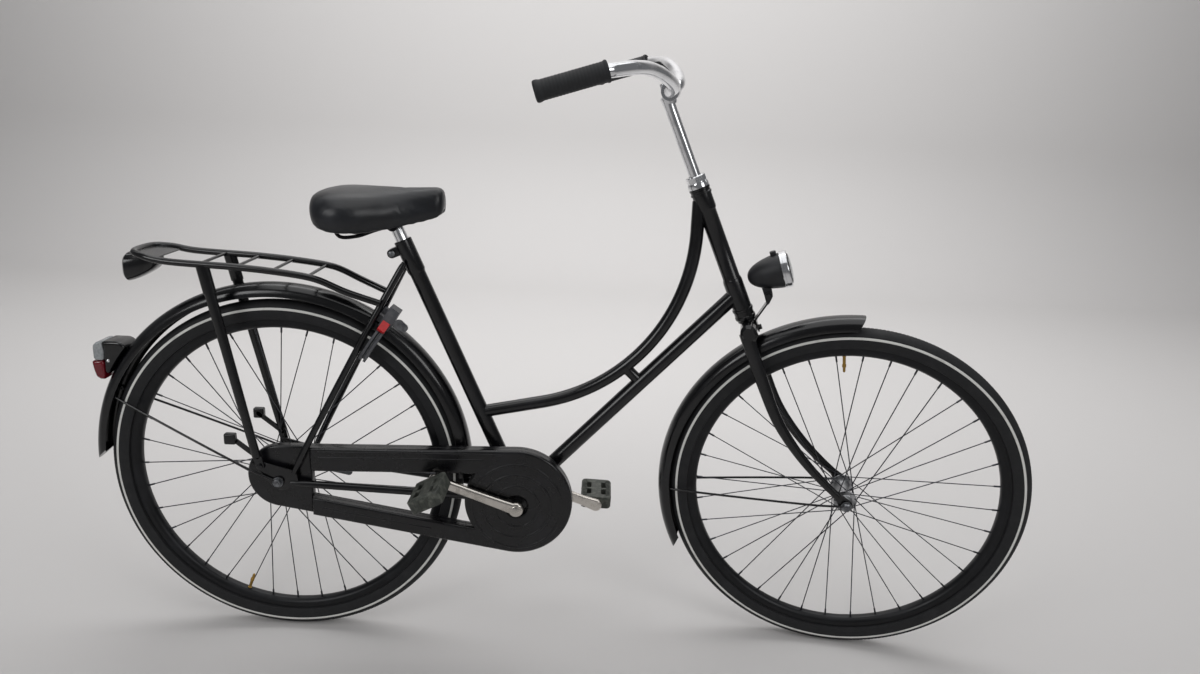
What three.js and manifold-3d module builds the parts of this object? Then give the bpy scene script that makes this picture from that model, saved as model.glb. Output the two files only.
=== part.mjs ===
// A Dutch city bike: step-through frame with a swan-neck top tube, closed chain case, rear rack,
// mudguards, coaster brake hub, ring lock, headlamp and tail lamp. Millimetres, +Z up, +X forward,
// +Y to the rider's left. The origin is on the ground below the rear axle.
import * as THREE from "three";
import { mergeVertices } from "three/addons/utils/BufferGeometryUtils.js";
import Module from "manifold-3d";

const wasm = await Module();
wasm.setup();

// Clearances, cutting allowance and the degrees of a whole turn
const seatGap = 0.3;
const sleeveGap = 0.6;
const runningGap = 0.5;
const overrun = 4;
const fullTurn = 360;

// Wheels
const wheelRadius = 356;
const wheelbase = 1136;
const tyreWidth = 40;
const rimWidth = 26.6;
const tyreHeight = 35;
const rimFlangeRadius = wheelRadius - tyreHeight;
const rimHookDepth = 4;
const tyreBeadRadius = rimFlangeRadius - rimHookDepth;
const rimDepth = 21.5;
const rimInnerRadius = rimFlangeRadius - rimDepth;
const rimWall = 1.6;
const spokeRadius = 1;
const spokeCount = 36;
const spokeCrossDegrees = 62;
const spokeOffsetAtFlange = 1.7;
const wheelSteps = 26;

// Hubs and wheel axles
const frontFlangeRadius = 23;
const frontFlangeOffset = 33;
const frontBarrelRadius = 14;
const frontHubHalfWidth = 44;
const rearFlangeRadius = 37;
const rearFlangeOffset = 28;
const rearBarrelRadius = 27;
const rearHubHalfWidth = 38;
const flangeThickness = 3.2;
const hubEndRadius = 11;
const hubSteps = 10;
const axleRadius = 4.8;
const coneRadius = 9.5;
const frontHubSpace = 50;
const rearHubSpace = 60;
const dropoutThickness = 4.4;
const washerRadius = 10.5;
const washerThickness = 1.6;
const boltHeadRadius = 5.5;
const boltHeadHeight = 3.5;
const axleNutRadius = 9.2;
const axleNutLength = 7;
const axleStub = 2;

// Frame
const bottomBracketX = 471;
const bottomBracketHeight = 320;
const seatAngleDegrees = 66.05;
const headAngleDegrees = 66.2;
const seatTubeRadius = 15;
const seatTubeLength = 566;
const seatTubeBore = 12.9;
const seatTubeBoreDepth = 270;
const collarLength = 66;
const collarStart = seatTubeLength - collarLength;
const collarRadius = 17;
const headTubeRadius = 16.5;
const headTubeLength = 234;
const headLugRadius = 18.6;
const headLugLength = 62;
const cupRadius = 20;
const cupBore = 13.3;
const lowerCupHeight = 23.4;
const upperCupHeight = 12;
const downTubeRadius = 15;
const downTubeJointHeight = 30;
const swanTubeRadius = 12.7;
const swanBendRadius = 361;
const swanSlopeDegrees = 12.1;
const swanSeatJoint = 193;
const swanHeadCrossing = 8;
const swanTopDrop = 14;
const bridgePlace = 346;
const bridgeRadius = 11;
const shellRadius = 20;
const shellHalfWidth = 34;
const shellBore = 9;

// Stays and dropouts
const chainStayFrontRadius = 9.5;
const chainStayRearRadius = 7.5;
const chainStayFrontOffset = 26;
const chainStayFrontX = 452;
const chainStayFrontHeight = 322;
const chainStayRearOffset = 64;
const chainStayEndX = 30;
const chainStayEndHeight = 354;
const seatStayRadius = 6.5;
const seatStayTopDrop = 40;
const seatStayTopDistance = seatTubeLength - seatStayTopDrop;
const seatStayTopSetback = 11;
const seatStayTopOffset = 17.5;
const seatStayWaistX = 190;
const seatStayWaistHeight = 688;
const seatStayWaistOffset = 37;
const seatStayLowX = 56;
const seatStayLowHeight = 428;
const seatStayLowOffset = 60.5;
const seatStayEndX = 31;
const seatStayEndHeight = 375;
const seatStayEndOffset = 64;
const dropoutBossRadius = 17;
const dropoutEyeletX = -33;
const dropoutEyeletHeight = 389;
const dropoutEyeletRadius = 8;
const eyeletHoleRadius = 3;
const dropoutForwardRadius = 10;
const stayBridgeRadius = 6;
const clampEarDrop = 16;
const clampEarDistance = seatTubeLength - clampEarDrop;
const clampEarSetback = 28;
const clampEarRadius = 9;
const clampEarHalfWidth = 10;
const clampSlitWidth = 2.6;
const clampSlitLength = 44;
const clampBoltRadius = 3.6;
const clampBoltHeadRadius = 6.5;
const clampBoltHeadHeight = 4;

// Steering assembly
const steerDegrees = -10.27;
const forkRake = 67;
const forkLength = 418;
const steererRadius = 12.7;
const steererBore = 11.4;
const crownHeight = 38;
const crownHalfDepth = 16;
const crownSides = 8;
const guardBossRadius = 8;
const bladeTopOffset = 40.5;
const bladeEndOffset = 52.2;
const bladeTopRadius = 10;
const bladeTopDepth = 14;
const bladeEndDepth = 7.5;
const raceRadius = 17;
const raceHeight = 4;
const bladeEndRadius = 6.5;
const forkDropoutRadius = 13;
const locknutRadius = 18.4;
const locknutHeight = 12;
const adjustingCupRadius = 20;
const adjustingCupHeight = 12.6;
const quillRadius = 11;
const quillDepth = 75;
const stemRise = 158;
const stemForward = 11;
const stemClampRadius = 17.5;
const stemClampWidth = 34;
const barRadius = 11.6;
const barHalfWidth = 282;
const barSweep = 180;
const barRise = 44;
const gripRadius = 16.4;
const gripLipRadius = 17.6;
const gripLipLength = 5;
const gripStart = 2;
const gripEndCap = 4;

// Mudguards
const guardRadius = 380;
const guardHalfWidth = 27;
const guardDepth = 24;
const guardThickness = 1.3;
const guardSteps = 17;
const rearGuardShiftX = -4;
const rearGuardShiftZ = 10;
const frontGuardStartDegrees = 91;
const frontGuardEndDegrees = 207;
const rearGuardStartDegrees = -1;
const rearGuardEndDegrees = 180;
const guardFrontSkewDegrees = 2.2;
const guardTailSkewDegrees = 4;
const guardTongueHalfWidth = 12;
const guardTongueDegrees = 5;
const guardStayRadius = 2.4;
const guardEyeletRadius = 8.6;
const guardEyeletThickness = 2;
const frontGuardStayDegrees = 184;
const rearGuardStayDegrees = 157;

// Rack
const rackRailRadius = 6.5;
const rackRodRadius = 3;
const rackHalfWidth = 60;
const rackRearX = -258;
const rackRodFirstX = -122;
const rackRodSpacing = 66;
const rackRodCount = 4;
const rackFrontX = 206;
const rackFrontHeight = 722;
const rackRearHeight = 801;
const rackStayTopX = -116;
const rackStayRadius = 6;
const rackStayTopDepth = 11;
const rackStayEndDepth = 8.5;
const rackSocketRadius = 7.5;
const rackSocketDepth = 12.5;
const rackSocketLength = 52;
const rackStayTabThickness = 4;
const rackPlateThickness = 2.4;
const rackLampHalfWidth = 35;
const rackLampRound = 5;
const rackLampLength = 88;
const rackLampBottom = 738;
const rackLampFrontX = -197;
const rackPlateFrontX = -205;
const hookReach = 52;
const hookRise = 58;
const hookArmWidth = 10;
const hookBlockSize = 22;
const hookBlockDepthShare = 0.6;

// Chain drive
const chainPitch = 12.7;
const chainringTeeth = 44;
const sprocketTeeth = 19;
const chainLine = 45;
const chainHalfWidth = 4;
const chainHalfHeight = 4.3;
const chainPlate = 1.2;
const plateHalfThickness = 1.4;
const toothHeight = 1.8;
const chainringHubRadius = 17;
const chainringWindowInnerRadius = 34;
const chainringWindowOuterRadius = 72;
const chainringWindowDegrees = 56;
const chainringWindowCount = 4;
const driverRadius = 17;
const chainringHubGap = 2;

// Chain case
const caseFrontRadius = 111;
const caseRearRadius = 66;
const caseFrontRise = 8;
const caseRearRise = 5;
const caseOuterOffset = 62;
const caseMiddleOffset = 47;
const caseInnerOffset = 33;
const caseSkin = 1.4;
const caseEdgeRound = 7;
const caseSeamX = 63;
const caseUpperRun = 50;
const caseLowerRun = 30;
const caseDiscRadius = 104;
const caseSlotClearance = 1.6;
const caseCrankHole = 21;
const caseBackOpening = 60;
const caseBackPanelEndX = 115;
const capOuterOffset = 52;
const capEdgeRound = 5;
const capHubHole = 30;

// Cranks and pedals
const crankLength = 169;
const crankDegrees = 160.4;
const crankInnerOffset = 67;
const crankThickness = 13;
const crankBevel = 2.5;
const crankBoreDepth = 11;
const crankBossRadius = 14.5;
const crankWaist = 9;
const crankEyeRadius = 13;
const crankAxleRadius = 8.2;
const pedalSpindleRadius = 4.4;
const pedalLength = 92;
const pedalDepth = 64;
const pedalThickness = 27;
const pedalGap = 3;
const pedalCorner = 9;
const pedalWindowLength = 27;
const pedalWindowDepth = 17;
const pedalWindowPlace = 19;
const pedalCoreRadius = 10;
const pedalBore = 5;
const pedalTreadHeight = 1.6;
const pedalTreadWidth = 4;
const rightPedalDegrees = 27;
const leftPedalDegrees = -2;

// Coaster brake arm
const brakeArmLength = 104;
const brakeArmDrop = 28;
const brakeArmWidth = 15;
const brakeArmThickness = 3;
const brakeClipWidth = 12;
const brakeClipThickness = 2;

// Headlamp
const lampFaceX = 978;
const lampFaceHeight = 818;
const lampTiltDegrees = 19;
const lampRadius = 33.5;
const bezelRadius = 35.5;
const lensRadius = 31.2;
const lampLength = 66;
const bezelLength = 14;
const bezelLip = 1.6;
const lensDepth = 5;
const lampButtonRadius = 6;
const lampButtonHeight = 6;
const lampButtonTravel = 2;
const lampButtonSetback = 23.5;
const lampEarRadius = 8;
const lampPivotDrop = 41.5;
const lampEarHalfWidth = 6;
const lampPivotSetback = 50;
const lampBracketWidth = 20;
const lampBracketThickness = 3;
const lampBracketCrownDrop = 12;
const lampBoltRadius = 3;

// Tail lamp
const tailLampLow = 540;
const tailLampHalfWidth = 25;
const tailLampRearX = -366;
const tailLampDepth = 64;
const tailLampLean = 8;
const tailLampRound = 3;
const tailLensHeight = 39;
const tailReflectorHeight = 40;
const tailLampSplit = tailLampLow + tailLensHeight;
const tailLampHigh = tailLampSplit + tailReflectorHeight;
const tailLensDepth = 17;
const reflectorSetback = 8;

// Saddle and seat post
const postRadius = 12.5;
const postInsertion = 150;
const postRise = 22;
const saddleRearReach = 158.84238;
const saddleLength = 256;
const saddleTopRise = 72.57387;
const saddleHeight = 92;
const saddleHalfWidth = 104;
const saddleBaseThickness = 4;
const saddleSkirt = 9;
const saddleBaseRearDrop = 68;
const saddleBaseFrontDrop = 43;
const saddleClampRadius = 11;
const saddleRailDrop = 104;
const railRadius = 3.5;
const railHalfSpacing = 22;
const saddleClampHalfWidth = 30;

// Ring lock
const lockPolarDegrees = 56.5;
const lockRingCentre = 343;
const lockRingInner = 46;
const lockRingOuter = 58;
const lockRingThickness = 15;
const lockLugLength = 16;
const lockLugDegrees = 28;
const lockLugHeight = 14;
const lockMouthDegrees = 42;
const lockBoltRadius = 3.6;
const lockChannelRadius = 4.8;
const lockSlotWidth = 5;
const lockSlotMarginDegrees = 8;
const lockBoltSweepDegrees = 96;
const lockBoltPathRadius = 51.8;
const lockHousingWidth = 26;
const lockHousingHeight = 44;
const lockHousingThickness = 21;
const lockHousingDegrees = 28;
const lockKnobLength = 20;
const lockKnobWidth = 15;
const lockKnobHeight = 10;
const lockKnobDegrees = 131;
const keyHoleRadius = 3.4;
const keyShaftRadius = 3;
const keyShaftLength = 14;
const keyBowRadius = 10;
const keyBowThickness = 4;
const keyBowGap = 2;
const keyBowStretch = 13;

// Derived places
const radians = THREE.MathUtils.degToRad;
const radiansToDegrees = THREE.MathUtils.radToDeg;
const point = (x, y, z) => new THREE.Vector3(x, y, z);
const direction = (degrees) => point(Math.cos(radians(degrees)), 0, Math.sin(radians(degrees)));
const forward = point(1, 0, 0);
const leftward = point(0, 1, 0);
const upward = point(0, 0, 1);
const zero = point(0, 0, 0);
const rearAxle = point(0, 0, wheelRadius);
const frontAxle = point(wheelbase, 0, wheelRadius);
const bottomBracket = point(bottomBracketX, 0, bottomBracketHeight);
const headUp = direction(180 - headAngleDegrees);
const headForward = direction(90 - headAngleDegrees);
const seatUp = direction(180 - seatAngleDegrees);
const seatForward = direction(90 - seatAngleDegrees);
const steerBase = frontAxle.clone().addScaledVector(headForward, -forkRake);
const headBottom = forkLength + lowerCupHeight;
const headTop = headBottom + headTubeLength;
const locknutTop = headTop + upperCupHeight + adjustingCupHeight + locknutHeight;
const chainringRadius = chainPitch / (2 * Math.sin(Math.PI / chainringTeeth));
const sprocketRadius = chainPitch / (2 * Math.sin(Math.PI / sprocketTeeth));
const caseFront = point(bottomBracketX, 0, bottomBracketHeight + caseFrontRise);
const caseRear = point(0, 0, wheelRadius + caseRearRise);
const guardCentre = point(rearGuardShiftX, 0, wheelRadius + rearGuardShiftZ);

// A point from a base along two directions and to the left.
function along(base, up, upDirection, ahead, aheadDirection, left) {
  return base
    .clone()
    .addScaledVector(upDirection, up)
    .addScaledVector(aheadDirection, ahead)
    .addScaledVector(leftward, left);
}

// A point of the steering assembly: its distance up the steering axis, ahead of it and to the left.
const headPoint = (up, ahead = 0, left = 0) => along(steerBase, up, headUp, ahead, headForward, left);

// A point near the seat tube: its distance up the tube's axis, ahead of it and to the left.
const seatPoint = (up, ahead = 0, left = 0) => along(bottomBracket, up, seatUp, ahead, seatForward, left);

// A point at a distance and an angle from a centre in the bike's side view.
function polarPoint(centre, radius, degrees, left = 0) {
  return centre.clone().addScaledVector(direction(degrees), radius).addScaledVector(leftward, left);
}

// Materials
const finish = (color, roughness, metalness) => new THREE.MeshStandardMaterial(
  { color, roughness, metalness },
);
const blackPaint = finish(0x0b0b0f, 0.22, 0.1);
const caseBlack = finish(0x101014, 0.38, 0.05);
const rimBlack = finish(0x131316, 0.35, 0.6);
const tyreRubber = finish(0x17171a, 0.85, 0);
const chrome = finish(0xd6d7d9, 0.12, 1);
const alloy = finish(0xb9babb, 0.35, 1);
const steel = finish(0x8d8f92, 0.4, 1);
const gripRubber = finish(0x1b1c20, 0.75, 0);
const saddleVinyl = finish(0x1a1c21, 0.45, 0);
const blackPlastic = finish(0x141518, 0.55, 0);
const pedalResin = finish(0x2a2c2c, 0.7, 0);
const greyPlastic = finish(0x77797c, 0.6, 0);
const redPlastic = finish(0xc4161c, 0.35, 0);
const redLens = finish(0x8f0f18, 0.15, 0);
const clearLens = finish(0xb9c4c6, 0.12, 0);

// Turns a closed geometry into a solid that faces out and can be joined and cut.
function solid(geometry) {
  const bare = geometry.index ? geometry.toNonIndexed() : geometry.clone();
  bare.deleteAttribute("normal");
  bare.deleteAttribute("uv");
  const merged = mergeVertices(bare);
  const vertProperties = merged.attributes.position.array;
  const triVerts = new Uint32Array(merged.index.array);
  const made = new wasm.Manifold(new wasm.Mesh({ numProp: 3, vertProperties, triVerts }));
  if (made.volume() > 0) return made;
  return new wasm.Manifold(
    new wasm.Mesh({ numProp: 3, vertProperties, triVerts: triVerts.slice().reverse() }),
  );
}

// Turns a solid back into a geometry.
function geometryOf(made) {
  const mesh = made.getMesh();
  const geometry = new THREE.BufferGeometry();
  geometry.setAttribute("position", new THREE.BufferAttribute(new Float32Array(mesh.vertProperties), 3));
  geometry.setIndex(new THREE.BufferAttribute(new Uint32Array(mesh.triVerts), 1));
  return geometry;
}

const join = (first, ...others) => others.reduce((sum, next) => sum.add(next), first);
const cut = (first, ...tools) => tools.reduce((sum, next) => sum.subtract(next), first);

// Skins a row of rings of points, with a fan over each end.
function loft(rings) {
  const count = rings[0].length;
  const positions = [];
  const faces = [];
  const middle = (ring) => ring.reduce((sum, p) => sum.add(p), point(0, 0, 0)).divideScalar(count);
  rings.forEach((ring) => ring.forEach((p) => positions.push(p.x, p.y, p.z)));
  for (let row = 0; row < rings.length - 1; row += 1) {
    for (let k = 0; k < count; k += 1) {
      const a = row * count + k;
      const b = row * count + ((k + 1) % count);
      faces.push(a, b, b + count, a, b + count, a + count);
    }
  }
  const start = positions.length / 3;
  const last = (rings.length - 1) * count;
  [middle(rings[0]), middle(rings[rings.length - 1])].forEach((p) => positions.push(p.x, p.y, p.z));
  for (let k = 0; k < count; k += 1) {
    const next = (k + 1) % count;
    faces.push(start, next, k, start + 1, last + k, last + next);
  }
  const geometry = new THREE.BufferGeometry();
  geometry.setAttribute("position", new THREE.Float32BufferAttribute(positions, 3));
  geometry.setIndex(faces);
  return solid(geometry);
}

// A tube through points whose section is an ellipse that may change along it.
// The first radius lies along the side direction, the second one square to it.
function taperedTube(points, radiiAt, sides, side = leftward) {
  const rings = points.map((centre, i) => {
    const before = points[Math.max(i - 1, 0)];
    const after = points[Math.min(i + 1, points.length - 1)];
    const heading = after.clone().sub(before).normalize();
    const across = side.clone().addScaledVector(heading, -side.dot(heading)).normalize();
    const up = heading.clone().cross(across);
    const [wide, high] = radiiAt(i / (points.length - 1));
    return Array.from({ length: sides }, (unused, k) => {
      const angle = (2 * Math.PI * (k + 0.5)) / sides;
      return along(centre, wide * Math.cos(angle), across, high * Math.sin(angle), up, 0);
    });
  });
  return loft(rings);
}

const mix = (from, to, share) => from + (to - from) * share;
const taper = (from, to) => (share) => [mix(from[0], to[0], share), mix(from[1], to[1], share)];

// A straight round bar between two points.
function rod(from, to, radius, sides = 14, endRadius = radius) {
  const span = to.clone().sub(from);
  const geometry = new THREE.CylinderGeometry(endRadius, radius, span.length(), sides);
  geometry.applyQuaternion(new THREE.Quaternion().setFromUnitVectors(leftward, span.normalize()));
  const middle = from.clone().add(to).divideScalar(2);
  return solid(geometry.translate(middle.x, middle.y, middle.z));
}

// A round bar across the bike.
function crossRod(centre, radius, fromY, toY, sides = 20) {
  return rod(point(centre.x, fromY, centre.z), point(centre.x, toY, centre.z), radius, sides);
}

// A round tube of one size along a smooth path through points.
function pipe(points, radius, steps, sides) {
  const section = Array.from({ length: sides }, (unused, k) => {
    const angle = (2 * Math.PI * k) / sides;
    return new THREE.Vector2(radius * Math.cos(angle), radius * Math.sin(angle));
  });
  const extrudePath = new THREE.CatmullRomCurve3(points, false, "centripetal");
  return solid(new THREE.ExtrudeGeometry(new THREE.Shape(section), { steps, extrudePath }));
}

// Points of an arc in the side view, from one angle to another.
function arcPoints(centre, radius, fromDegrees, toDegrees, steps) {
  return Array.from({ length: steps + 1 }, (unused, i) =>
    polarPoint(centre, radius, mix(fromDegrees, toDegrees, i / steps)),
  );
}

// A turned piece from a profile of radius and height along an axis. A profile that doesn't begin
// on the axis closes on itself.
function turned(profile, base, axis, segments) {
  const loop = profile.map(([radius, height]) => new THREE.Vector2(radius, height));
  if (profile[0][0] > 0) loop.push(loop[0].clone());
  const geometry = new THREE.LatheGeometry(loop, segments);
  geometry.applyQuaternion(new THREE.Quaternion().setFromUnitVectors(leftward, axis));
  return solid(geometry.translate(base.x, base.y, base.z));
}

// A profile that is the same on both sides of the middle, from its left half, listed outwards.
function mirrored(side) {
  const right = side.map(([radius, y]) => [radius, -y]);
  return [...right, ...side.slice().reverse()];
}

// A flat piece: an outline in the side view with a thickness between two places along Y.
function sidePlate(outline, fromY, toY, bevel = 0) {
  const geometry = new THREE.ExtrudeGeometry(outline, {
    depth: toY - fromY - 2 * bevel,
    bevelEnabled: bevel > 0,
    bevelThickness: bevel,
    bevelSize: bevel,
    bevelOffset: -bevel,
    bevelSegments: 2,
    curveSegments: 8,
  });
  return solid(geometry.rotateX(Math.PI / 2).translate(0, toY - bevel, 0));
}

// An outline in the side view through points.
const outlineOf = (points) => new THREE.Shape(points.map((p) => new THREE.Vector2(p.x, p.z)));

// The outline stretched round discs in the side view, grown by a margin.
function roundedHull(discs, growth = 0, steps = 24) {
  const all = discs.flatMap(([centre, radius]) =>
    Array.from({ length: steps }, (unused, i) => polarPoint(centre, radius + growth, (fullTurn * i) / steps)),
  );
  all.sort((a, b) => a.x - b.x || a.z - b.z);
  const turn = (a, b, c) => (b.x - a.x) * (c.z - a.z) - (b.z - a.z) * (c.x - a.x);
  const half = (row) => {
    const kept = [];
    row.forEach((p) => {
      while (kept.length > 1 && turn(kept[kept.length - 2], kept[kept.length - 1], p) <= 0) kept.pop();
      kept.push(p);
    });
    return kept.slice(0, -1);
  };
  return outlineOf([...half(all), ...half(all.slice().reverse())]);
}

// A box between two corners.
function block(low, high) {
  const size = high.clone().sub(low);
  const middle = low.clone().add(high).divideScalar(2);
  return solid(new THREE.BoxGeometry(size.x, size.y, size.z).translate(middle.x, middle.y, middle.z));
}

// A bar of rectangular section in the side view, from one point to another.
function bar(from, to, thickness, fromY, toY) {
  const side = to.clone().sub(from).cross(leftward).normalize().multiplyScalar(thickness / 2);
  const corners = [
    from.clone().add(side),
    to.clone().add(side),
    to.clone().sub(side),
    from.clone().sub(side),
  ];
  return sidePlate(outlineOf(corners), fromY, toY);
}

// Moves a geometry from zero to an origin, its X and Z axes turned to two directions.
function placed(geometry, origin, xAxis, zAxis) {
  const yAxis = zAxis.clone().cross(xAxis);
  return solid(
    geometry.applyMatrix4(new THREE.Matrix4().makeBasis(xAxis, yAxis, zAxis).setPosition(origin)),
  );
}

// Scene graph: the steering assembly hangs in a group turned about the steering axis.
const bike = new THREE.Group();
bike.name = "dutch_city_bike";
const steeringAxis = new THREE.Group();
steeringAxis.position.copy(steerBase);
steeringAxis.quaternion.setFromAxisAngle(headUp, radians(steerDegrees));
const steered = new THREE.Group();
steered.position.copy(steerBase).negate();
steeringAxis.add(steered);
const frontWheel = new THREE.Group();
frontWheel.position.copy(frontAxle);
steered.add(frontWheel);
const rearWheel = new THREE.Group();
rearWheel.position.copy(rearAxle);
bike.add(steeringAxis, rearWheel);

function piece(name, made, material, parent = bike) {
  const mesh = new THREE.Mesh(geometryOf(made), material);
  mesh.name = name;
  parent.add(mesh);
}

// Tyre: a rounded casing whose beads sit between the rim's flanges.
function tyre() {
  const bead = rimWidth / 2 - rimWall - seatGap;
  const wallShares = [
    [0.3, 0.98],
    [0.72, 0.92],
  ];
  const wall = wallShares.map(([up, out]) => [mix(tyreBeadRadius, wheelRadius, up), (out * tyreWidth) / 2]);
  const side = [[tyreBeadRadius, bead], [rimFlangeRadius + seatGap, bead], ...wall];
  const profile = [...side.map(([radius, y]) => [radius, -y]), [wheelRadius, 0], ...side.reverse()];
  return turned(profile, zero, leftward, wheelSteps);
}

// Rim: a hooked channel with a rounded back.
function rim() {
  const backShares = [
    [0, 0.4],
    [0.3, 1],
    [1, 1],
  ];
  const back = backShares.map(
    ([up, out]) => [mix(rimInnerRadius, rimFlangeRadius, up), (out * rimWidth) / 2],
  );
  const inside = rimWidth / 2 - rimWall;
  const channel = [
    [rimFlangeRadius, inside],
    [tyreBeadRadius - seatGap, inside],
  ];
  return turned(mirrored([...back, ...channel]), zero, leftward, wheelSteps);
}

// Hub shell with two flanges, laced with crossed spokes that reach the rim.
function lacedHub(barrel, flange, offset, rightEnd, leftEnd) {
  const half = flangeThickness / 2;
  const bore = axleRadius + runningGap;
  const sideOf = (end) => [
    [bore, end],
    [hubEndRadius, end],
    [barrel, offset + half],
    [flange, offset + half],
    [flange, offset - half],
    [barrel, offset - half],
  ];
  const right = sideOf(rightEnd).map(([radius, y]) => [radius, -y]);
  const shell = turned([...right, ...sideOf(leftEnd).reverse()], zero, leftward, hubSteps);
  const reach = rimInnerRadius * Math.cos(Math.PI / wheelSteps) - seatGap;
  const spokes = Array.from({ length: spokeCount }, (unused, i) => {
    const hand = i % 2 ? 1 : -1;
    const lean = i % 4 < 2 ? 1 : -1;
    const rimDegrees = (fullTurn * i) / spokeCount;
    const flangeY = hand * (offset + lean * spokeOffsetAtFlange);
    const from = polarPoint(zero, flange - flangeThickness, rimDegrees + lean * spokeCrossDegrees, flangeY);
    return pipe([from, polarPoint(zero, reach, rimDegrees, hand * spokeRadius)], spokeRadius, 1, 3);
  });
  return join(shell, ...spokes);
}

// Wheel axle with its cones, washers and domed nuts.
function wheelAxle(space) {
  const cone = space - 3 * washerThickness;
  const washer = space + dropoutThickness + guardEyeletThickness + 2 * seatGap;
  const nut = washer + washerThickness;
  const tip = nut + axleNutLength;
  const side = [
    [axleRadius, cone],
    [coneRadius, cone],
    [coneRadius, space - seatGap],
    [axleRadius, space - seatGap],
    [axleRadius, washer],
    [washerRadius, washer],
    [washerRadius, nut],
    [axleNutRadius, nut],
    [axleNutRadius, tip],
    [axleRadius, tip],
    [axleRadius, tip + axleStub],
  ];
  const right = side.map(([radius, y]) => [radius, -y]).reverse();
  const end = tip + axleStub;
  return turned([[0, -end], ...right, ...side, [0, end]], zero, leftward, 8);
}

function addWheels() {
  const coneRoom = 3 * washerThickness + seatGap;
  const leftEnd = rearHubSpace - coneRoom - brakeArmThickness - seatGap;
  piece("front_tyre", tyre(), tyreRubber, frontWheel);
  piece("front_rim", rim(), rimBlack, frontWheel);
  piece(
    "front_hub",
    lacedHub(frontBarrelRadius, frontFlangeRadius, frontFlangeOffset, frontHubHalfWidth, frontHubHalfWidth),
    alloy,
    frontWheel,
  );
  piece("front_axle", wheelAxle(frontHubSpace), steel, frontWheel);
  piece("rear_tyre", tyre(), tyreRubber, rearWheel);
  piece("rear_rim", rim(), rimBlack, rearWheel);
  piece(
    "rear_hub",
    lacedHub(rearBarrelRadius, rearFlangeRadius, rearFlangeOffset, rearHubHalfWidth, leftEnd),
    alloy,
    rearWheel,
  );
  piece("rear_axle", wheelAxle(rearHubSpace), steel, rearWheel);
}

// Head tube with a lug at each end and the headset's two cups.
function headOutline(growth) {
  const low = forkLength + seatGap;
  const high = headTop + upperCupHeight;
  return [
    [cupRadius + growth, low - growth],
    [cupRadius + growth, headBottom],
    [headLugRadius + growth, headBottom],
    [headLugRadius + growth, headBottom + headLugLength],
    [headTubeRadius + growth, headBottom + headLugLength + growth],
    [headTubeRadius + growth, headTop - headLugLength / 2],
    [headLugRadius + growth, headTop - headLugLength / 2],
    [headLugRadius + growth, headTop],
    [cupRadius + growth, headTop],
    [cupRadius + growth, high + growth],
  ];
}

function headTube() {
  const low = forkLength + seatGap;
  const high = headTop + upperCupHeight;
  const bore = [
    [cupBore, high],
    [cupBore, low],
  ];
  return turned([...headOutline(0), ...bore], steerBase, headUp, 10);
}

function headEnvelope() {
  const outline = headOutline(seatGap);
  return turned([[0, outline[0][1]], ...outline, [0, outline.at(-1)[1]]], steerBase, headUp, 10);
}

// Seat tube with its collar, the two clamp ears behind it and the slit between them.
function seatTube() {
  const top = seatPoint(seatTubeLength);
  const tube = rod(bottomBracket, top, seatTubeRadius, 12);
  const collar = rod(seatPoint(collarStart), top, collarRadius, 12);
  const ears = [seatPoint(clampEarDistance, -clampEarSetback), seatPoint(clampEarDistance)];
  const earOutline = roundedHull(ears.map((place) => [place, clampEarRadius]), 0, 8);
  const earBlock = sidePlate(earOutline, -clampEarHalfWidth, clampEarHalfWidth, 1);
  const slitEnd = seatPoint(seatTubeLength - clampSlitLength, -clampEarSetback);
  const slitTop = seatPoint(seatTubeLength + overrun, -clampEarSetback);
  const slit = bar(slitEnd, slitTop, 2 * clampEarSetback, -clampSlitWidth / 2, clampSlitWidth / 2);
  const bore = rod(
    seatPoint(seatTubeLength - seatTubeBoreDepth),
    seatPoint(seatTubeLength + overrun),
    seatTubeBore,
    12,
  );
  const hole = crossRod(
    ears[0],
    clampBoltRadius + seatGap,
    -clampEarHalfWidth - overrun,
    clampEarHalfWidth + overrun,
    6,
  );
  return cut(join(tube, collar, earBlock), slit, bore, hole, shellEnvelope());
}

function clampBolt() {
  const place = seatPoint(clampEarDistance, -clampEarSetback);
  const head = clampEarHalfWidth + seatGap;
  const end = head + clampBoltHeadHeight;
  return join(
    crossRod(place, clampBoltRadius, -end, end, 6),
    crossRod(place, clampBoltHeadRadius, -end, -head, 6),
    crossRod(place, clampBoltHeadRadius, head, end, 6),
  );
}

// Bottom bracket shell, and the room the tubes leave round it.
function bottomBracketShell() {
  const side = [
    [shellBore, shellHalfWidth],
    [shellRadius, shellHalfWidth],
  ];
  return turned(mirrored(side), bottomBracket, leftward, 16);
}

const shellEnvelope = () =>
  crossRod(bottomBracket, shellRadius + seatGap, -shellHalfWidth - seatGap, shellHalfWidth + seatGap, 16);

// The swan-neck tube rises from the seat tube, bends through one large arc and runs up the head tube.
function swanPath() {
  const start = seatPoint(swanSeatJoint);
  const topX = headPoint(headTop + swanHeadCrossing).x;
  const topHeight = headPoint(headTop).z - swanTopDrop;
  const slope = direction(swanSlopeDegrees);
  const bend = radians(90 - swanSlopeDegrees);
  const straight = (topX - start.x) / slope.x - swanBendRadius * Math.tan(bend / 2);
  const bendStart = start.clone().addScaledVector(slope, straight);
  const centre = point(topX - swanBendRadius, 0, 0);
  centre.z = bendStart.z + swanBendRadius * slope.x;
  const arc = arcPoints(centre, swanBendRadius, swanSlopeDegrees - 90, 0, 6);
  const middle = start.clone().lerp(bendStart, 0.5);
  const rise = point(topX, 0, mix(centre.z, topHeight, 0.5));
  return { points: [start, middle, ...arc, rise, point(topX, 0, topHeight)], centre };
}

const swanTube = (radius) => pipe(swanPath().points, radius, 13, 10);

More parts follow.
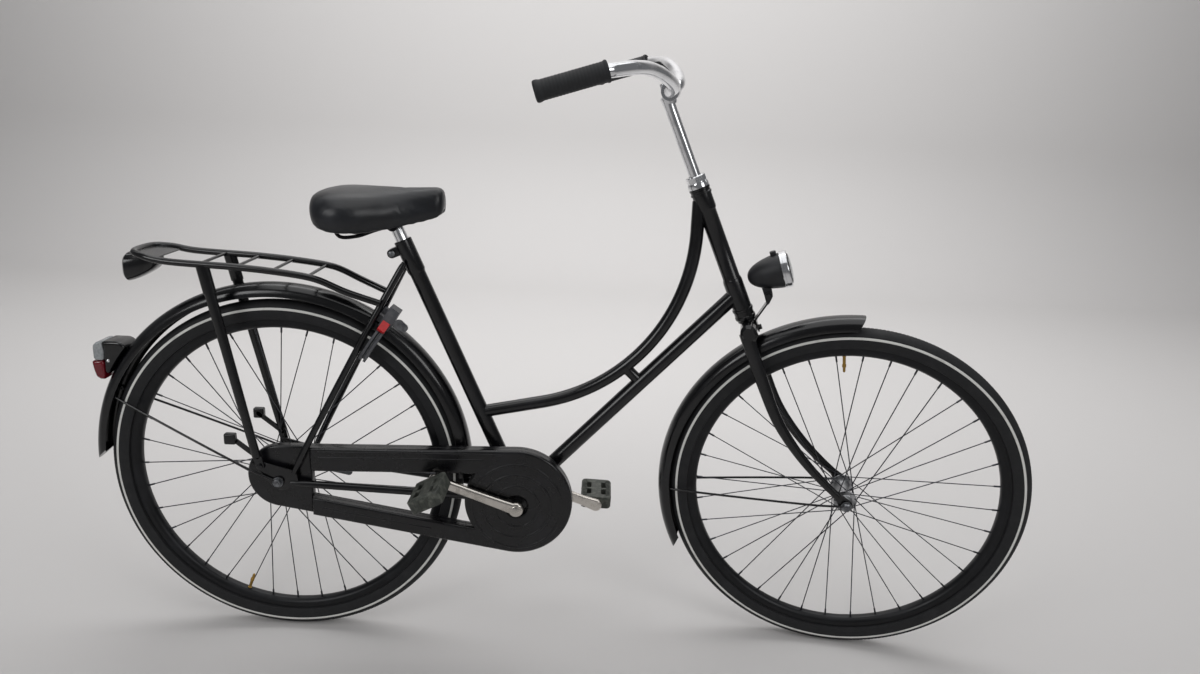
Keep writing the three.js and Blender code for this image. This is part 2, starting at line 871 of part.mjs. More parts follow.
// Down tube, with the short bridge between it and the swan-neck tube.
function downTube() {
  const top = headPoint(headBottom + downTubeJointHeight);
  const heading = top.clone().sub(bottomBracket).normalize();
  const foot = bottomBracket.clone().addScaledVector(heading, bridgePlace);
  const upTo = point(-heading.z, 0, heading.x);
  const offset = foot.clone().sub(swanPath().centre);
  const reach = -offset.dot(upTo) - Math.sqrt(
    offset.dot(upTo) ** 2 - offset.lengthSq() + swanBendRadius ** 2,
  );
  const bridge = rod(foot, foot.clone().addScaledVector(upTo, reach), bridgeRadius, 8);
  return cut(
    join(rod(bottomBracket, top, downTubeRadius, 12), bridge),
    rod(bottomBracket, seatPoint(seatTubeLength), seatTubeRadius + seatGap, 12),
    shellEnvelope(),
    headEnvelope(),
    swanTube(swanTubeRadius + seatGap),
  );
}

// The centre line of a chain stay at a place along the bike.
function chainStayPoint(x, hand) {
  const share = (x - chainStayFrontX) / (chainStayEndX - chainStayFrontX);
  const y = mix(chainStayFrontOffset, chainStayRearOffset, share);
  return point(x, hand * y, mix(chainStayFrontHeight, chainStayEndHeight, share));
}

function chainStayTube(hand, growth) {
  const front = chainStayFrontRadius + growth;
  const rear = chainStayRearRadius + growth;
  const rearPlace = chainStayPoint(chainStayEndX - growth, hand);
  return rod(chainStayPoint(chainStayFrontX + growth, hand), rearPlace, front, 12, rear);
}

// The dropout plate that holds the axle and carries the rack stay's eyelet.
function dropoutPlate(hand, growth) {
  const discs = [
    [rearAxle, dropoutBossRadius],
    [point(dropoutEyeletX, 0, dropoutEyeletHeight), dropoutEyeletRadius],
    [point(chainStayEndX, 0, chainStayEndHeight), dropoutForwardRadius],
    [point(seatStayEndX, 0, seatStayEndHeight), dropoutForwardRadius / 2],
  ];
  const inner = rearHubSpace - growth;
  const outer = rearHubSpace + dropoutThickness + growth;
  const span = [hand * inner, hand * outer].sort((a, b) => a - b);
  return sidePlate(roundedHull(discs, growth, 12), ...span);
}

function chainStay(hand) {
  const axleHole = crossRod(
    rearAxle,
    axleRadius + seatGap,
    hand * (rearHubSpace - overrun),
    hand * 2 * rearHubSpace,
    10,
  );
  const eyelet = point(dropoutEyeletX, 0, dropoutEyeletHeight);
  const eyeletHole = crossRod(
    eyelet,
    eyeletHoleRadius,
    hand * (rearHubSpace - overrun),
    hand * 2 * rearHubSpace,
    6,
  );
  return cut(join(chainStayTube(hand, 0), dropoutPlate(hand, 0)), axleHole, eyeletHole, shellEnvelope());
}

// The left chain stay carries the bridge that the mudguard's tongue is fixed to.
function chainStayWithBridge() {
  const degrees = rearGuardStartDegrees - guardTongueDegrees + 1;
  const place = polarPoint(guardCentre, guardRadius + seatGap + stayBridgeRadius, degrees);
  const reach = chainStayPoint(place.x, 1).y;
  const bridge = crossRod(place, stayBridgeRadius, -reach, reach, 8);
  return join(chainStay(1), cut(bridge, chainStayTube(-1, seatGap)));
}

// Seat stay: from the collar, out round the wheel, down to the outside of the dropout.
function seatStayPath(hand) {
  const top = seatPoint(seatStayTopDistance, -seatStayTopSetback, hand * seatStayTopOffset);
  return [
    top,
    point(seatStayWaistX, hand * seatStayWaistOffset, seatStayWaistHeight),
    point(seatStayLowX, hand * seatStayLowOffset, seatStayLowHeight),
    point(seatStayEndX, hand * seatStayEndOffset, seatStayEndHeight),
  ];
}

const seatStayTube = (hand, growth) => pipe(seatStayPath(hand), seatStayRadius + growth, 9, 8);

function seatStay(hand) {
  const collar = rod(bottomBracket, seatPoint(seatTubeLength), collarRadius + seatGap, 12);
  return cut(seatStayTube(hand, 0), collar, dropoutPlate(hand, seatGap), chainStayTube(hand, seatGap));
}

function addFrame() {
  piece("head_tube", headTube(), blackPaint);
  piece("seat_tube", seatTube(), blackPaint);
  piece("seat_clamp_bolt", clampBolt(), steel);
  piece("bottom_bracket_shell", bottomBracketShell(), blackPaint);
  const seatRoom = rod(bottomBracket, seatPoint(seatTubeLength), seatTubeRadius + seatGap, 12);
  piece("swan_tube", cut(swanTube(swanTubeRadius), seatRoom, headEnvelope()), blackPaint);
  piece("down_tube", downTube(), blackPaint);
  piece("chain_stay_right", chainStay(-1), blackPaint);
  piece("chain_stay_left", chainStayWithBridge(), blackPaint);
  piece("seat_stay_right", seatStay(-1), blackPaint);
  piece("seat_stay_left", seatStay(1), blackPaint);
}

// The height of a run's edge at a place along the bike, drawn in from the chain case's outline.
function runEdge(side, inset, x) {
  const span = caseFront.clone().sub(caseRear);
  const lean = Math.acos((caseRearRadius - caseFrontRadius) / span.length());
  const angle = Math.atan2(span.z, span.x) + side * lean;
  const normal = point(Math.cos(angle), 0, Math.sin(angle));
  return caseRear.z + (caseRearRadius - inset - (x - caseRear.x) * normal.x) / normal.z;
}

// The open space between the two runs, from a place along the bike to the round front.
function caseWindow(startX, growth) {
  const upper = caseUpperRun - growth;
  const lower = caseLowerRun - growth;
  const corners = [
    point(startX, 0, runEdge(1, upper, startX)),
    point(bottomBracketX, 0, runEdge(1, upper, bottomBracketX)),
    point(bottomBracketX, 0, runEdge(-1, lower, bottomBracketX)),
    point(startX, 0, runEdge(-1, lower, startX)),
  ];
  const fromY = -caseOuterOffset - overrun;
  const toY = -caseInnerOffset + overrun;
  const disc = crossRod(caseFront, caseDiscRadius - growth, fromY - overrun, toY + overrun, 24);
  return cut(sidePlate(outlineOf(corners), fromY, toY), disc);
}

// A slice of the chain case's outline between two places along Y, with rounded edges.
function caseBelt(inset, fromY, toY, rounding) {
  const discs = [
    [caseFront, caseFrontRadius - inset],
    [caseRear, caseRearRadius - inset],
  ];
  return sidePlate(roundedHull(discs, 0, 24), fromY, toY, rounding);
}

// A slab that keeps part of the chain case.
function caseSlab(fromX, toX, fromY, toY) {
  return block(point(fromX, fromY, 0), point(toX, toY, 2 * wheelRadius));
}

const caseFrontEnd = bottomBracketX + caseFrontRadius + overrun;
const caseRearEnd = -caseRearRadius - overrun;

// Outer half of the case, open to its back, with a hole for the crank.
function caseCover() {
  const depth = caseOuterOffset - caseMiddleOffset;
  const innerRound = caseEdgeRound - caseSkin;
  const outer = caseBelt(0, -caseOuterOffset, -caseOuterOffset + 2 * depth, caseEdgeRound);
  const kept = caseSlab(
    caseSeamX + seatGap / 2,
    caseFrontEnd,
    -caseOuterOffset - overrun,
    -caseMiddleOffset,
  );
  const hollow = caseBelt(caseSkin, -caseOuterOffset + caseSkin, -caseOuterOffset + 2 * depth, innerRound);
  const rear = caseSeamX - overrun;
  const crankHole = crossRod(
    bottomBracket,
    caseCrankHole,
    -caseOuterOffset - overrun,
    -caseMiddleOffset,
    16,
  );
  return cut(outer.intersect(kept), cut(hollow, caseWindow(rear, caseSkin)), caseWindow(rear, 0), crankHole);
}

// Inner half of the case, open to the cover, with the opening for the bracket and the chain stay.
function caseBack() {
  const depth = caseMiddleOffset - caseInnerOffset;
  const innerRound = caseEdgeRound - caseSkin;
  const inside = -caseInnerOffset - 2 * depth;
  const outer = caseBelt(0, inside, -caseInnerOffset, caseEdgeRound);
  const kept = caseSlab(
    caseSeamX + seatGap / 2,
    caseFrontEnd,
    -caseMiddleOffset + seatGap,
    -caseInnerOffset + overrun,
  );
  const hollow = caseBelt(caseSkin, inside, -caseInnerOffset - caseSkin, innerRound);
  const opening = crossRod(
    bottomBracket,
    caseBackOpening,
    -caseMiddleOffset,
    -caseInnerOffset + overrun,
    20,
  );
  const slotStart = bottomBracketX - caseDiscRadius - 2 * overrun;
  const entry = chainStayPoint(slotStart, -1).z + chainStayFrontRadius + caseSlotClearance;
  const low = chainStayFrontHeight - chainStayFrontRadius - caseSlotClearance;
  const slot = block(
    point(slotStart, -caseMiddleOffset, low),
    point(bottomBracketX, -caseInnerOffset + overrun, entry),
  );
  const inner = cut(hollow, caseWindow(caseBackPanelEndX - caseSkin, caseSkin));
  return cut(outer.intersect(kept), inner, caseWindow(caseBackPanelEndX, 0), opening, slot);
}

// Rear end of the case, round the sprocket, with holes for the axle and the hub.
function caseEnd() {
  const end = caseSeamX - seatGap / 2;
  const outer = caseBelt(0, -capOuterOffset, -caseInnerOffset, capEdgeRound);
  const kept = caseSlab(caseRearEnd, end, -capOuterOffset - overrun, -caseInnerOffset + overrun);
  const hollow = caseBelt(
    caseSkin,
    -capOuterOffset + caseSkin,
    -caseInnerOffset - caseSkin,
    capEdgeRound - caseSkin,
  );
  const inner = cut(hollow, caseWindow(end - caseSkin, caseSkin));
  const middle = -caseMiddleOffset;
  const axleHole = crossRod(rearAxle, coneRadius + runningGap, -capOuterOffset - overrun, middle, 14);
  const hubHole = crossRod(rearAxle, capHubHole, middle, -caseInnerOffset + overrun, 16);
  return cut(outer.intersect(kept), inner, axleHole, hubHole);
}

// Chain: a band of side plates and rollers wrapped round the chainring and the sprocket.
function chain() {
  const belt = (growth, half) => {
    const discs = [
      [bottomBracket, chainringRadius + growth],
      [rearAxle, sprocketRadius + growth],
    ];
    return sidePlate(roundedHull(discs, 0, 24), -chainLine - half, -chainLine + half);
  };
  const inside = chainHalfWidth - chainPlate;
  return cut(
    belt(chainHalfHeight, chainHalfWidth),
    belt(-chainHalfHeight, chainHalfWidth + overrun),
    belt(chainHalfHeight - chainPlate, inside),
  );
}

// The toothed outline of a chain wheel.
function toothedOutline(centre, radius, teeth) {
  const points = Array.from({ length: 2 * teeth }, (unused, i) => {
    const reach = i % 2 ? radius + toothHeight : radius - toothHeight;
    return polarPoint(centre, reach, (180 * i) / teeth);
  });
  return outlineOf(points);
}

// Chainring with five windows and a hub on the bottom bracket axle.
function chainring() {
  const fromY = -chainLine - plateHalfThickness;
  const toY = -chainLine + plateHalfThickness;
  const plate = sidePlate(toothedOutline(bottomBracket, chainringRadius, chainringTeeth), fromY, toY);
  const windows = Array.from({ length: chainringWindowCount }, (unused, i) => {
    const start = (fullTurn * i) / chainringWindowCount;
    const outer = arcPoints(
      bottomBracket,
      chainringWindowOuterRadius,
      start,
      start + chainringWindowDegrees,
      1,
    );
    const inner = arcPoints(
      bottomBracket,
      chainringWindowInnerRadius,
      start,
      start + chainringWindowDegrees,
      1,
    );
    return sidePlate(outlineOf([...outer, ...inner.reverse()]), fromY - overrun, toY + overrun);
  });
  const hub = crossRod(bottomBracket, chainringHubRadius, fromY, -shellHalfWidth - chainringHubGap, 12);
  const bore = crossRod(bottomBracket, crankAxleRadius + seatGap, fromY - overrun, 0, 12);
  return cut(join(plate, hub), ...windows, bore);
}

function rearSprocket() {
  const fromY = -chainLine - plateHalfThickness;
  const toY = -chainLine + plateHalfThickness;
  const plate = sidePlate(toothedOutline(rearAxle, sprocketRadius, sprocketTeeth), fromY, toY);
  const driver = crossRod(rearAxle, driverRadius, fromY, -rearHubHalfWidth - runningGap, 12);
  const bore = crossRod(rearAxle, axleRadius + runningGap, fromY - overrun, 0, 10);
  return cut(join(plate, driver), bore);
}

// Crank: a tapering arm with a blind axle hole and the pedal's spindle at its end.
function crank(hand, degrees) {
  const outline = new THREE.Shape();
  outline.absarc(0, 0, crankBossRadius, radians(50), radians(310), false);
  outline.lineTo(crankLength / 3, -crankWaist);
  outline.absarc(crankLength, 0, crankEyeRadius, radians(-105), radians(105), false);
  outline.lineTo(crankLength / 3, crankWaist);
  const arm = new THREE.ExtrudeGeometry(outline, {
    depth: crankThickness - 2 * crankBevel,
    bevelThickness: crankBevel,
    bevelSize: crankBevel,
    bevelOffset: -crankBevel,
    bevelSegments: 1,
    curveSegments: 5,
  });
  arm.translate(0, 0, crankBevel);
  const outward = point(0, hand, 0);
  const base = bottomBracket.clone().addScaledVector(outward, crankInnerOffset);
  const eye = polarPoint(base, crankLength, degrees);
  const reach = (distance) => eye.clone().addScaledVector(outward, distance);
  const spindleEnd = crankThickness + pedalGap + pedalLength - pedalCorner;
  const spindle = rod(reach(crankThickness / 2), reach(spindleEnd), pedalSpindleRadius, 10);
  const collar = rod(reach(crankThickness / 2), reach(crankThickness + pedalGap / 2), pedalCoreRadius, 10);
  const hole = rod(
    bottomBracket,
    base.clone().addScaledVector(outward, crankBoreDepth),
    crankAxleRadius + seatGap,
    12,
  );
  return cut(join(placed(arm, base, direction(degrees), outward), spindle, collar), hole);
}

// Pedal: a moulded frame round a bored core, with ribs along its treads.
function pedal(hand, crankAngle, tilt) {
  const outline = new THREE.Shape();
  const half = pedalDepth / 2;
  outline.moveTo(-half, pedalCorner);
  outline.lineTo(-half + pedalCorner, 0);
  outline.lineTo(half - pedalCorner, 0);
  outline.lineTo(half, pedalCorner);
  outline.lineTo(half, pedalLength - pedalCorner);
  outline.lineTo(half - pedalCorner, pedalLength);
  outline.lineTo(-half + pedalCorner, pedalLength);
  outline.lineTo(-half, pedalLength - pedalCorner);
  const middle = pedalLength / 2;
  const outward = point(0, hand, 0);
  const flat = direction(tilt);
  const eye = polarPoint(
    bottomBracket,
    crankLength,
    crankAngle,
    hand * (crankInnerOffset + crankThickness + pedalGap),
  );
  const body = new THREE.ExtrudeGeometry(outline, { depth: pedalThickness, bevelEnabled: false });
  const normal = flat.clone().cross(outward);
  const frame = placed(body, eye.clone().addScaledVector(normal, -pedalThickness / 2), flat, normal);
  const ribAt = (side, face) => {
    const centre = eye
      .clone()
      .addScaledVector(flat, side * (half - pedalTreadWidth))
      .addScaledVector(normal, (face * pedalThickness) / 2);
    const rib = new THREE.BoxGeometry(pedalTreadWidth, 2 * pedalTreadHeight, pedalLength - 2 * pedalCorner);
    return placed(rib, centre.addScaledVector(outward, middle), flat, outward);
  };
  const ribs = [ribAt(-1, -1), ribAt(-1, 1), ribAt(1, -1), ribAt(1, 1)];
  const reach = (distance) => eye.clone().addScaledVector(outward, distance);
  const windows = [-1, 1].flatMap((row) =>
    [-1, 1].map((column) => {
      const out = middle + column * (pedalWindowLength / 2 + pedalTreadWidth / 2);
      const centre = reach(out).addScaledVector(flat, row * pedalWindowPlace);
      const box = new THREE.BoxGeometry(pedalWindowDepth, pedalThickness + overrun, pedalWindowLength);
      return placed(box, centre, flat, outward);
    }),
  );
  const core = rod(reach(0), reach(pedalLength), pedalCoreRadius, 10);
  const bore = rod(reach(-overrun), reach(pedalLength - pedalCorner + runningGap), pedalBore, 10);
  return cut(join(cut(frame, ...windows), core, ...ribs), bore);
}

function bottomBracketAxle() {
  const end = crankInnerOffset + crankBoreDepth - seatGap;
  return crossRod(bottomBracket, crankAxleRadius, -end, end, 12);
}

// Coaster brake's reaction arm, clipped round the left chain stay.
function brakeArm() {
  const outer = rearHubSpace - 3 * washerThickness - seatGap;
  const inner = outer - brakeArmThickness;
  const end = point(brakeArmLength, 0, wheelRadius - brakeArmDrop);
  const discs = [
    [rearAxle, brakeArmWidth],
    [end, brakeArmWidth / 2],
  ];
  const arm = sidePlate(roundedHull(discs, 0, 12), inner, outer);
  const hole = crossRod(rearAxle, axleRadius + seatGap, inner - overrun, outer + overrun, 10);
  const stay = (x) => chainStayPoint(x, 1);
  const clipFrom = stay(end.x - brakeClipWidth / 2);
  const clipTo = stay(end.x + brakeClipWidth / 2);
  const clip = rod(clipFrom, clipTo, chainStayFrontRadius + brakeClipThickness, 12);
  const lug = block(
    point(end.x - brakeClipWidth / 2, inner, end.z),
    point(end.x + brakeClipWidth / 2, outer, stay(end.x).z),
  );
  return cut(join(arm, clip, lug), hole, chainStayTube(1, seatGap));
}

function addDrive() {
  piece("chain_case_cover", caseCover(), caseBlack);
  piece("chain_case_back", caseBack(), caseBlack);
  piece("chain_case_end", caseEnd(), caseBlack);
  piece("chain", chain(), steel);
  piece("chainring", chainring(), steel);
  piece("rear_sprocket", rearSprocket(), steel);
  piece("bottom_bracket_axle", bottomBracketAxle(), steel);
  piece("crank_right", crank(-1, crankDegrees), chrome);
  piece("crank_left", crank(1, crankDegrees - 180), chrome);
  piece("pedal_right", pedal(-1, crankDegrees, rightPedalDegrees), pedalResin);
  piece("pedal_left", pedal(1, crankDegrees - 180, leftPedalDegrees), pedalResin);
  piece("brake_arm", brakeArm(), steel);
}

const guardStepDegrees = (rearGuardEndDegrees - rearGuardStartDegrees) / guardSteps;

// Half of a mudguard's section: the drop below its crest and the width there.
const guardShares = [
  [1, 1],
  [0.4, 0.92],
  [0.08, 0.54],
];

function guardSection(inset) {
  const half = guardShares.map(([down, out]) => [
    inset + down * (guardDepth - inset),
    out * (guardHalfWidth - inset),
  ]);
  const right = half.map(([down, out]) => [down, -out]);
  return [...right, [inset, 0], ...half.slice().reverse()];
}

// Rings of a mudguard's section, whose side edges stop short of the crest at both ends.
function guardRings(section, centre, from, to, steps, fromSkew, toSkew) {
  return Array.from({ length: steps + 1 }, (unused, i) =>
    section.map(([down, out]) => {
      const share = down / guardDepth;
      const degrees = mix(from + fromSkew * share, to - toSkew * share, i / steps);
      return polarPoint(centre, guardRadius - down, degrees, out);
    }),
  );
}

function mudguard(centre, from, to, steps, fromSkew, toSkew) {
  const section = [...guardSection(0), ...guardSection(guardThickness).reverse()];
  return loft(guardRings(section, centre, from, to, steps, fromSkew, toSkew));
}

// Each mudguard's centre, first and last angle, steps, and how far its side edges stop short.
const frontGuardSteps = Math.round((frontGuardEndDegrees - frontGuardStartDegrees) / guardStepDegrees);
const rearGuardSweep = [
  guardCentre,
  rearGuardStartDegrees,
  rearGuardEndDegrees,
  guardSteps,
  0,
  guardTailSkewDegrees,
];
const frontGuardSweep = [
  frontAxle,
  frontGuardStartDegrees,
  frontGuardEndDegrees,
  frontGuardSteps,
  guardFrontSkewDegrees,
  guardTailSkewDegrees,
];

// The room that a mudguard and what it covers take up, with a gap round them.
const guardRoom = (sweep) => loft(guardRings(guardSection(-seatGap), ...sweep));

// The inside of a mudguard's crest at an angle, where its facets are flatter than the circle.
function crestInside(degrees, [, from, to, steps]) {
  const step = (to - from) / steps;
  const offset = ((degrees - from) % step) - step / 2;
  return (guardRadius * Math.cos(radians(step / 2))) / Math.cos(radians(offset)) - guardThickness;
}

function rearMudguard() {
  const guard = mudguard(...rearGuardSweep);
  const edge = (radius) => {
    const start = polarPoint(guardCentre, radius, rearGuardStartDegrees);
    const next = polarPoint(guardCentre, radius, rearGuardStartDegrees + guardStepDegrees);
    return [
      polarPoint(guardCentre, radius, rearGuardStartDegrees - guardTongueDegrees),
      start,
      start.clone().lerp(next, 0.3),
    ];
  };
  const outer = edge(guardRadius - guardThickness / 4);
  const inner = edge(guardRadius - (3 * guardThickness) / 4);
  const tongue = sidePlate(
    outlineOf([...outer, ...inner.reverse()]),
    -guardTongueHalfWidth,
    guardTongueHalfWidth,
  );
  return join(guard, tongue);
}

// A mudguard's wire stay: a hoop from one end of the axle, inside the guard, to the other.
function guardStay(centre, axle, degrees, crest, eyeletY) {
  const inside = crest - guardStayRadius - seatGap;
  const rim = guardRadius - guardDepth;
  const edge = guardHalfWidth - guardThickness - 2 * guardStayRadius;
  const turnShares = [
    [0.5, 1.15],
    [0.1, 1.02],
    [-0.35, 0.86],
    [-0.85, 0.45],
  ];
  const half = turnShares.map(([inward, out]) => [rim - inward * (inside - rim), out * edge]);
  const place = ([radius, y]) => polarPoint(centre, radius, degrees, y);
  const left = half.map(place);
  const right = half.map(([radius, y]) => place([radius, -y])).reverse();
  const heading = left[0].clone().sub(axle).setY(0).normalize();
  const wireY = eyeletY - guardEyeletThickness / 2 + guardStayRadius;
  const foot = (distance, y) => point(axle.x, y, axle.z).addScaledVector(heading, distance);
  const leave = 3.5 * dropoutBossRadius;
  const points = [
    foot(guardEyeletRadius, wireY),
    foot(leave, wireY),
    ...left,
    polarPoint(centre, inside, degrees),
    ...right,
    foot(leave, -wireY),
    foot(guardEyeletRadius, -wireY),
  ];
  const wire = pipe(points, guardStayRadius, 20, 5);
  const eyelets = [-1, 1].map((hand) => {
    const span = [hand * (eyeletY - guardEyeletThickness / 2), hand * (eyeletY + guardEyeletThickness / 2)];
    return crossRod(axle, guardEyeletRadius + guardStayRadius, ...span.sort((a, b) => a - b), 10);
  });
  const room = [-1, 1].map((hand) => {
    const span = [hand * (eyeletY - 3 * guardEyeletThickness), hand * (eyeletY - guardEyeletThickness / 2)];
    return crossRod(axle, 2 * guardEyeletRadius, ...span.sort((a, b) => a - b), 10);
  });
  const washers = [-1, 1].map((hand) => {
    const span = [hand * (eyeletY + guardEyeletThickness / 2), hand * (eyeletY + 3 * guardEyeletThickness)];
    return crossRod(axle, washerRadius + 2 * runningGap, ...span.sort((a, b) => a - b), 10);
  });
  const hole = crossRod(axle, axleRadius + seatGap, -eyeletY - overrun, eyeletY + overrun, 10);
  return cut(join(wire, ...eyelets), hole, ...room, ...washers);
}

const eyeletPlace = (space) => space + dropoutThickness + seatGap + guardEyeletThickness / 2;

function addMudguards() {
  const rearCrest = crestInside(rearGuardStayDegrees, rearGuardSweep);
  const frontCrest = crestInside(frontGuardStayDegrees, frontGuardSweep);
  piece("rear_mudguard", rearMudguard(), blackPaint);
  piece(
    "front_mudguard",
    mudguard(...frontGuardSweep),
    blackPaint,
    steered,
  );
  piece(
    "rear_mudguard_stay",
    guardStay(guardCentre, rearAxle, rearGuardStayDegrees, rearCrest, eyeletPlace(rearHubSpace)),
    blackPaint,
  );
  piece(
    "front_mudguard_stay",
    guardStay(frontAxle, frontAxle, frontGuardStayDegrees, frontCrest, eyeletPlace(frontHubSpace)),
    blackPaint,
    steered,
  );
}

// Half of the rack's hoop from a seat stay to the rear end: back, out and up.
const rackShares = [
  [0, 0.742, 0],
  [0.131, 0.95, 0.29],
  [0.228, 1, 0.54],
  [0.282, 1, 0.62],
  [0.422, 1, 0.72],
  [0.573, 1, 0.785],
  [0.853, 1, 0.86],
  [0.929, 0.95, 0.94],
  [0.983, 0.68, 0.99],
];

function rackPoint([back, out, up], hand) {
  return point(
    mix(rackFrontX, rackRearX, back),
    hand * out * rackHalfWidth,
    mix(rackFrontHeight, rackRearHeight, up),
  );
}

function rackHoop(growth) {
  const right = rackShares.map((shares) => rackPoint(shares, -1));
  const left = rackShares.map((shares) => rackPoint(shares, 1)).reverse();
  const points = [...right, point(rackRearX, 0, rackRearHeight), ...left];
  return pipe(points, rackRailRadius + growth, 21, 6);
}

// The height of the rack's rail at a place along the bike.
function rackHeight(x) {
  const back = (rackFrontX - x) / (rackFrontX - rackRearX);
  const after = rackShares.findIndex((shares) => shares[0] > back);
  const [low, high] = [rackShares[after - 1], rackShares[after]];
  return mix(rackFrontHeight, rackRearHeight, mix(low[2], high[2], (back - low[0]) / (high[0] - low[0])));
}

function rackFrame() {
  const rods = Array.from({ length: rackRodCount }, (unused, i) => {
    const x = rackRodFirstX + i * rackRodSpacing;
    return crossRod(point(x, 0, rackHeight(x)), rackRodRadius, -rackHalfWidth, rackHalfWidth, 6);
  });
  const rear = point(rackRearX, 0, rackRearHeight);
  const front = point(rackPlateFrontX, 0, rackHeight(rackPlateFrontX));
  const plate = bar(rear, front, rackPlateThickness, -rackHalfWidth * 0.7, rackHalfWidth * 0.7);
  return cut(join(rackHoop(0), ...rods, plate), seatStayTube(-1, seatGap), seatStayTube(1, seatGap));
}

// Rack stay: a flattened tube with a socket under the rail, a tab on the dropout and a strap hook.
function rackStay(hand) {
  const tabInner = rearHubSpace + dropoutThickness + seatGap;
  const tabOuter = tabInner + rackStayTabThickness;
  const eyelet = point(dropoutEyeletX, 0, dropoutEyeletHeight);
  const top = point(rackStayTopX, hand * rackHalfWidth, rackHeight(rackStayTopX));
  const lowY = hand * (tabInner + rackStayRadius);
  const low = point(eyelet.x, lowY, eyelet.z).lerp(top, 0.05);
  const neck = low.clone().lerp(top, 1 - rackSocketLength / top.distanceTo(low));
  const tube = taperedTube(
    [low, neck, top],
    taper([rackStayRadius, rackStayEndDepth], [rackStayRadius, rackStayTopDepth]),
    8,
  );
  const socket = taperedTube([neck, top], () => [rackSocketRadius, rackSocketDepth], 8);
  const flat = [hand * tabInner, hand * tabOuter].sort((a, b) => a - b);
  const tab = sidePlate(
    roundedHull([[eyelet, dropoutEyeletRadius], [low, rackStayEndDepth]], 0, 12),
    ...flat,
  );
  const pin = crossRod(
    eyelet,
    eyeletHoleRadius - seatGap,
    hand * rearHubSpace,
    hand * (tabOuter + boltHeadHeight),
    6,
  );
  const head = crossRod(eyelet, boltHeadRadius, hand * tabInner, hand * (tabOuter + boltHeadHeight), 6);
  const hookEnd = point(eyelet.x - hookReach, 0, eyelet.z + hookRise);
  const arm = bar(low, hookEnd, hookArmWidth, ...flat);
  const rodPlace = point(rackRodFirstX, 0, rackHeight(rackRodFirstX));
  const firstRod = crossRod(rodPlace, rackRodRadius + seatGap, -rackHalfWidth, rackHalfWidth, 6);
  const half = hookBlockSize / 2;
  const hookOuter = hand * (tabInner + hookBlockSize * hookBlockDepthShare);
  const hook = block(
    point(hookEnd.x - half, Math.min(flat[0], hookOuter), hookEnd.z - half),
    point(hookEnd.x + half, Math.max(flat[1], hookOuter), hookEnd.z + half),
  );
  return cut(join(tube, socket, tab, pin, head, arm, hook), rackHoop(seatGap), rodRoom(hand), firstRod);
}

// The room over the rack's rail, so that nothing of a stay stands above it.
function rodRoom(hand) {
  const high = rackHeight(rackStayTopX);
  const half = 2 * rackSocketDepth;
  const span = [hand * (rackHalfWidth - half), hand * (rackHalfWidth + half)].sort((a, b) => a - b);
  return block(
    point(rackStayTopX - half, span[0], high - seatGap),
    point(rackStayTopX + half, span[1], high + half),
  );
}

// The moulded end piece under the rack's rear loop.
function rackEnd() {
  const top = rackRearHeight - rackRailRadius * 0.8;
  const shares = [
    [0.03, 0],
    [0.38, 0.04],
    [0.96, 0.42],
    [1, 0.53],
    [0.95, 0.68],
    [0.55, 0.8],
    [0.31, 1],
    [0.06, 0.93],
    [0, 0.7],
  ];
  const rear = rackLampFrontX - rackLampLength;
  const points = shares.map(([x, z]) => point(mix(rear, rackLampFrontX, x), 0, mix(rackLampBottom, top, z)));
  const body = sidePlate(outlineOf(points), -rackLampHalfWidth, rackLampHalfWidth, rackLampRound);
  const plateRoom = bar(
    point(rackRearX, 0, rackRearHeight),
    point(rackPlateFrontX, 0, rackHeight(rackPlateFrontX)),
    rackPlateThickness + 2 * seatGap,
    -rackHalfWidth,
    rackHalfWidth,
  );
  return cut(body, rackHoop(seatGap), plateRoom);
}

// The tail lamp's rear edge leans: its place along the bike at a height.
function tailEdge(height) {
  const share = (height - tailLampLow) / (tailLampHigh - tailLampLow);
  return tailLampRearX + tailLampLean * share;
}

function tailSlice(low, high, setback, depth, halfWidth) {
  const points = [
    point(tailEdge(low) + setback, 0, low),
    point(tailEdge(low) + depth, 0, low),
    point(tailEdge(high) + depth, 0, high),
    point(tailEdge(high) + setback, 0, high),
  ];
  return sidePlate(outlineOf(points), -halfWidth, halfWidth, tailLampRound);
}

function addTailLamp() {
  const back = tailLensDepth + seatGap;
  const inside = crossRod(guardCentre, guardRadius - guardDepth / 2, -guardHalfWidth, guardHalfWidth, 32);
  const housing = cut(
    tailSlice(tailLampLow, tailLampHigh, back, tailLampDepth, tailLampHalfWidth),
    guardRoom(rearGuardSweep),
    inside,
  );
  piece("tail_lamp_housing", housing, blackPlastic);
  const lens = tailSlice(tailLampLow, tailLampSplit - seatGap / 2, 0, tailLensDepth, tailLampHalfWidth);
  piece("tail_lamp_lens", lens, redLens);
  const clear = tailSlice(
    tailLampSplit + seatGap / 2,
    tailLampHigh,
    reflectorSetback,
    tailLensDepth,
    tailLampHalfWidth,
  );
  piece("tail_reflector", clear, clearLens);
}

function addRack() {
  piece("rack_frame", rackFrame(), blackPaint);
  piece("rack_stay_right", rackStay(-1), blackPaint);
  piece("rack_stay_left", rackStay(1), blackPaint);
  piece("rack_end_light", rackEnd(), blackPlastic);
}

// Fork: steerer, crown, two raked blades that taper towards the axle, and their dropouts.
const bladeShares = [
  [0.96, -0.07],
  [0.72, -0.1],
  [0.515, -0.07],
  [0.383, 0.08],
  [0.25, 0.33],
  [0.13, 0.64],
  [0.055, 0.87],
];

